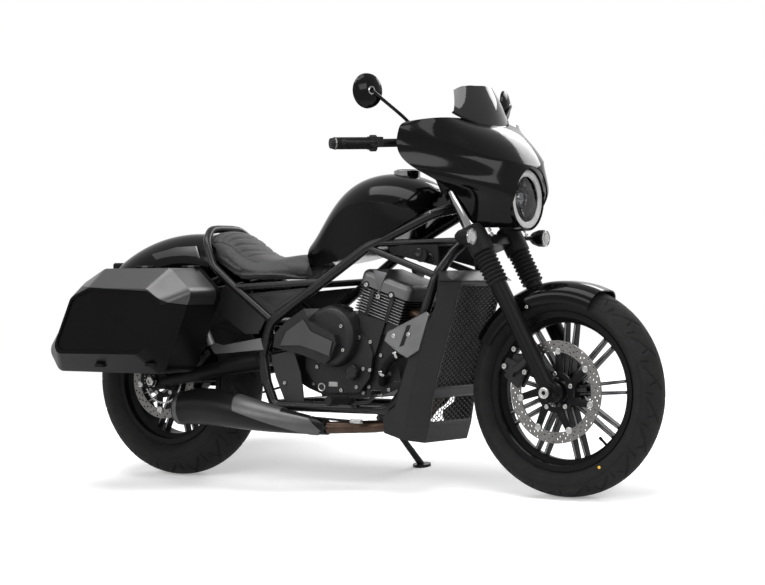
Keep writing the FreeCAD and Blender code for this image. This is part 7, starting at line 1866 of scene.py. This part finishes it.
@dataclass
class Studio:
    """The floor, the lamps, the pale surround and the camera."""

    camera_place: Vector = point_at(4098.18, -6010.67, 669.47)
    yaw: float = math.radians(33.8055)
    pitch: float = math.radians(-0.424)
    roll: float = math.radians(-0.0855)
    lens: float = 107.03
    sensor: float = 36.0
    floor_size: float = 60.0
    floor_colour: Colour = (0.9, 0.9, 0.9)
    surround: float = 1.0
    fill: float = 0.3
    floor_lift: float = 0.3
    shadow_reach: tuple[float, float] = (1.6, 3.2)

    def build(self) -> None:
        """Makes everything that isn't the motorcycle."""
        self._camera()
        self._floor()
        self._world()
        self._lamps()

    def _camera(self) -> None:
        """Puts the camera where the photograph was taken from."""
        data = bpy.data.cameras.new("camera")
        data.lens = self.lens
        data.sensor_width = self.sensor
        data.clip_end = 100.0
        camera = add_object("camera", data)
        turn = (Matrix.Rotation(self.yaw, 4, "Z") @ Matrix.Rotation(math.pi / 2 + self.pitch, 4, "X")
                @ Matrix.Rotation(self.roll, 4, "Z"))
        placed = STANCE.matrix @ (Matrix.Translation(self.camera_place) @ turn)
        camera.location, rotation, _ = placed.decompose()
        camera.rotation_mode = "QUATERNION"
        camera.rotation_quaternion = rotation
        bpy.context.scene.camera = camera

    def _floor(self) -> None:
        """Lays a plain pale floor that shows white to the camera and keeps the shadow."""
        bm = bmesh.new()
        bmesh.ops.create_grid(bm, x_segments=1, y_segments=1, size=self.floor_size / 2)
        mesh = mesh_of(bm, "floor")
        floor = add_object("floor", mesh)
        paint = bpy.data.materials.new("floor")
        paint.use_nodes = True
        shader = paint.node_tree.nodes["Principled BSDF"]
        shader.inputs["Base Color"].default_value = (*self.floor_colour, 1)
        set_inputs(shader, roughness=0.9, specular_ior_level=0.1)
        self._whiten(paint, shader)
        mesh.materials.append(paint)

    def _seen(self, nodes: bpy.types.Nodes, links: bpy.types.NodeLinks) -> bpy.types.NodeSocket:
        """Makes the value that is 1 for camera, glossy and transmission rays and 0 for others.

        Args:
            nodes: The nodes to add to.
            links: Their links.

        Returns:
            The socket that gives the value.
        """
        ray = nodes.new("ShaderNodeLightPath")
        socket = ray.outputs["Is Camera Ray"]
        for name in ("Is Glossy Ray", "Is Transmission Ray"):
            most = nodes.new("ShaderNodeMath")
            most.operation = "MAXIMUM"
            links.new(socket, most.inputs[0])
            links.new(ray.outputs[name], most.inputs[1])
            socket = most.outputs[0]
        return socket

    def _whiten(self, paint: bpy.types.Material, shader: bpy.types.ShaderNode) -> None:
        """Lifts the floor to white as it is seen, keeps its shadow near and lets it end in plain white.

        Args:
            paint: The floor's material.
            shader: Its principled shader.
        """
        nodes = paint.node_tree.nodes
        links = paint.node_tree.links
        lift = nodes.new("ShaderNodeEmission")
        set_inputs(lift, strength=self.floor_lift)
        both = nodes.new("ShaderNodeAddShader")
        links.new(shader.outputs[0], both.inputs[0])
        links.new(lift.outputs[0], both.inputs[1])
        white = nodes.new("ShaderNodeEmission")
        set_inputs(white, strength=1.0)
        place = nodes.new("ShaderNodeTexCoord")
        reach = nodes.new("ShaderNodeVectorMath")
        reach.operation = "LENGTH"
        links.new(place.outputs["Object"], reach.inputs[0])
        span = nodes.new("ShaderNodeMapRange")
        span.interpolation_type = "SMOOTHSTEP"
        set_inputs(span, from_min=self.shadow_reach[0], from_max=self.shadow_reach[1])
        links.new(reach.outputs["Value"], span.inputs["Value"])
        near = mixed(paint.node_tree, span.outputs["Result"], both, white)
        final = mixed(paint.node_tree, self._seen(nodes, links), shader, near)
        links.new(final.outputs[0], nodes["Material Output"].inputs["Surface"])

    def _world(self) -> None:
        """Makes the surround pale to the camera and in reflections, and a soft fill light elsewhere."""
        world = bpy.data.worlds.new("studio")
        bpy.context.scene.world = world
        world.use_nodes = True
        nodes = world.node_tree.nodes
        links = world.node_tree.links
        backdrop = nodes["Background"]
        backdrop.inputs["Color"].default_value = (self.surround, self.surround, self.surround, 1)
        soft = nodes.new("ShaderNodeBackground")
        soft.inputs["Color"].default_value = (self.fill, self.fill, self.fill, 1)
        final = mixed(world.node_tree, self._seen(nodes, links), soft, backdrop)
        links.new(final.outputs[0], nodes["World Output"].inputs["Surface"])

    def _lamps(self) -> None:
        """Hangs the soft boxes."""
        self._lamp("top_box", Vector((0.0, -0.6, 3.6)), Vector((0, 0, 0.5)), (4.2, 1.6), 150)
        self._lamp("right_box", Vector((-1.4, -4.4, 3.0)), Vector((-0.2, 0, 0.6)), (4.2, 1.6), 110)
        self._lamp("front_box", Vector((4.4, -1.6, 2.8)), Vector((0.4, 0, 0.7)), (2.8, 1.6), 90)
        self._lamp("left_box", Vector((0.5, 4.0, 2.4)), Vector((0, 0, 0.6)), (3.0, 1.2), 80)

    def _lamp(self, name: str, place: Vector, aim: Vector, size: tuple[float, float], power: float) -> None:
        """Hangs one soft box.

        Args:
            name: The lamp's name.
            place: Where it hangs.
            aim: The point that it faces.
            size: Its width and height.
            power: Its power in watts.
        """
        data = bpy.data.lights.new(name, "AREA")
        data.shape = "RECTANGLE"
        data.size, data.size_y = size
        data.energy = power
        lamp = add_object(name, data)
        lamp.location = place
        lamp.rotation_mode = "QUATERNION"
        lamp.rotation_quaternion = (aim - place).to_track_quat("-Z", "Y")


@dataclass
class Paintwork:
    """The finish of every carried-over node."""

    plan: dict[Finish, tuple[str, ...]] = field(default_factory=lambda: {
        GLOSS_BLACK: ("fairing", "fuel_tank", "rear_fender", "front_fender", "mirrors"),
        PANEL_BLACK: ("side_panels",),
        SATIN_BLACK: ("front_rim", "rear_rim", "fork_legs", "yokes", "handlebar", "swingarm",
                      "headlight", "instrument", "front_indicators", "tail_light", "plate_bracket"),
        FRAME_BLACK: ("main_frame", "rear_subframe", "side_stand", "foot_controls"),
        MATT_BLACK: ("fork_gaiters", "horn", "controls"),
        MOULDED_BLACK: ("radiator_shroud", "shroud_mesh"),
        CASE_BLACK: ("pannier_cases",),
        # painted highlight: the lids get a lighter copy of the cases' black
        LID_BLACK_PAINTED_HIGHLIGHT: ("lid_right", "lid_left"),
        CAST_BLACK: ("engine_case", "engine_covers", "cylinders", "front_caliper", "rear_caliper"),
        COVER_GREY: ("valve_cover",),
        PLATE_GREY: ("clutch_plate",),
        STEEL: ("front_disc", "rear_disc"),
        CHROME: ("filler_cap",),
        RUBBER: ("front_tyre", "rear_tyre", "drive_belt"),
        VINYL: ("seat",),
        BRONZE: ("exhaust_pipes",),
        MUFFLER_BLACK: ("muffler", "rear_pulley", "shocks"),
        GUNMETAL: ("heat_shields",),
        CORE_GREY: ("radiator",),
        BRACKET_GREY: ("shroud_brackets", "passenger_pegs"),
        SMOKED: ("windscreen",),
    })

    def build(self, frame: dict) -> None:
        """Dresses the nodes.

        Args:
            frame: The loaded frame.
        """
        for finish, nodes in self.plan.items():
            dress(frame, finish, *nodes)


def main() -> None:
    """Loads the frame, builds each assembly in order and sets the view transform."""
    global STANCE
    logging.basicConfig(level=logging.INFO, format="%(name)s %(message)s")
    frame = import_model()
    STANCE = Stance.from_joints(frame["joints"])
    bpy.context.scene.view_settings.view_transform = "Standard"
    Studio().build()
    Paintwork().build(frame)
    shell = Shell(frame)
    Wheels().build()
    ForkDress().build()
    Headlamp().build()
    Indicators().build()
    Cockpit().build()
    Saddle().build(frame)
    Bodywork().build(shell)
    Engine().build(shell)
    Shroud().build()
    Exhaust().build(shell)
    RunningGear().build()


if __name__ == "__main__":
    main()
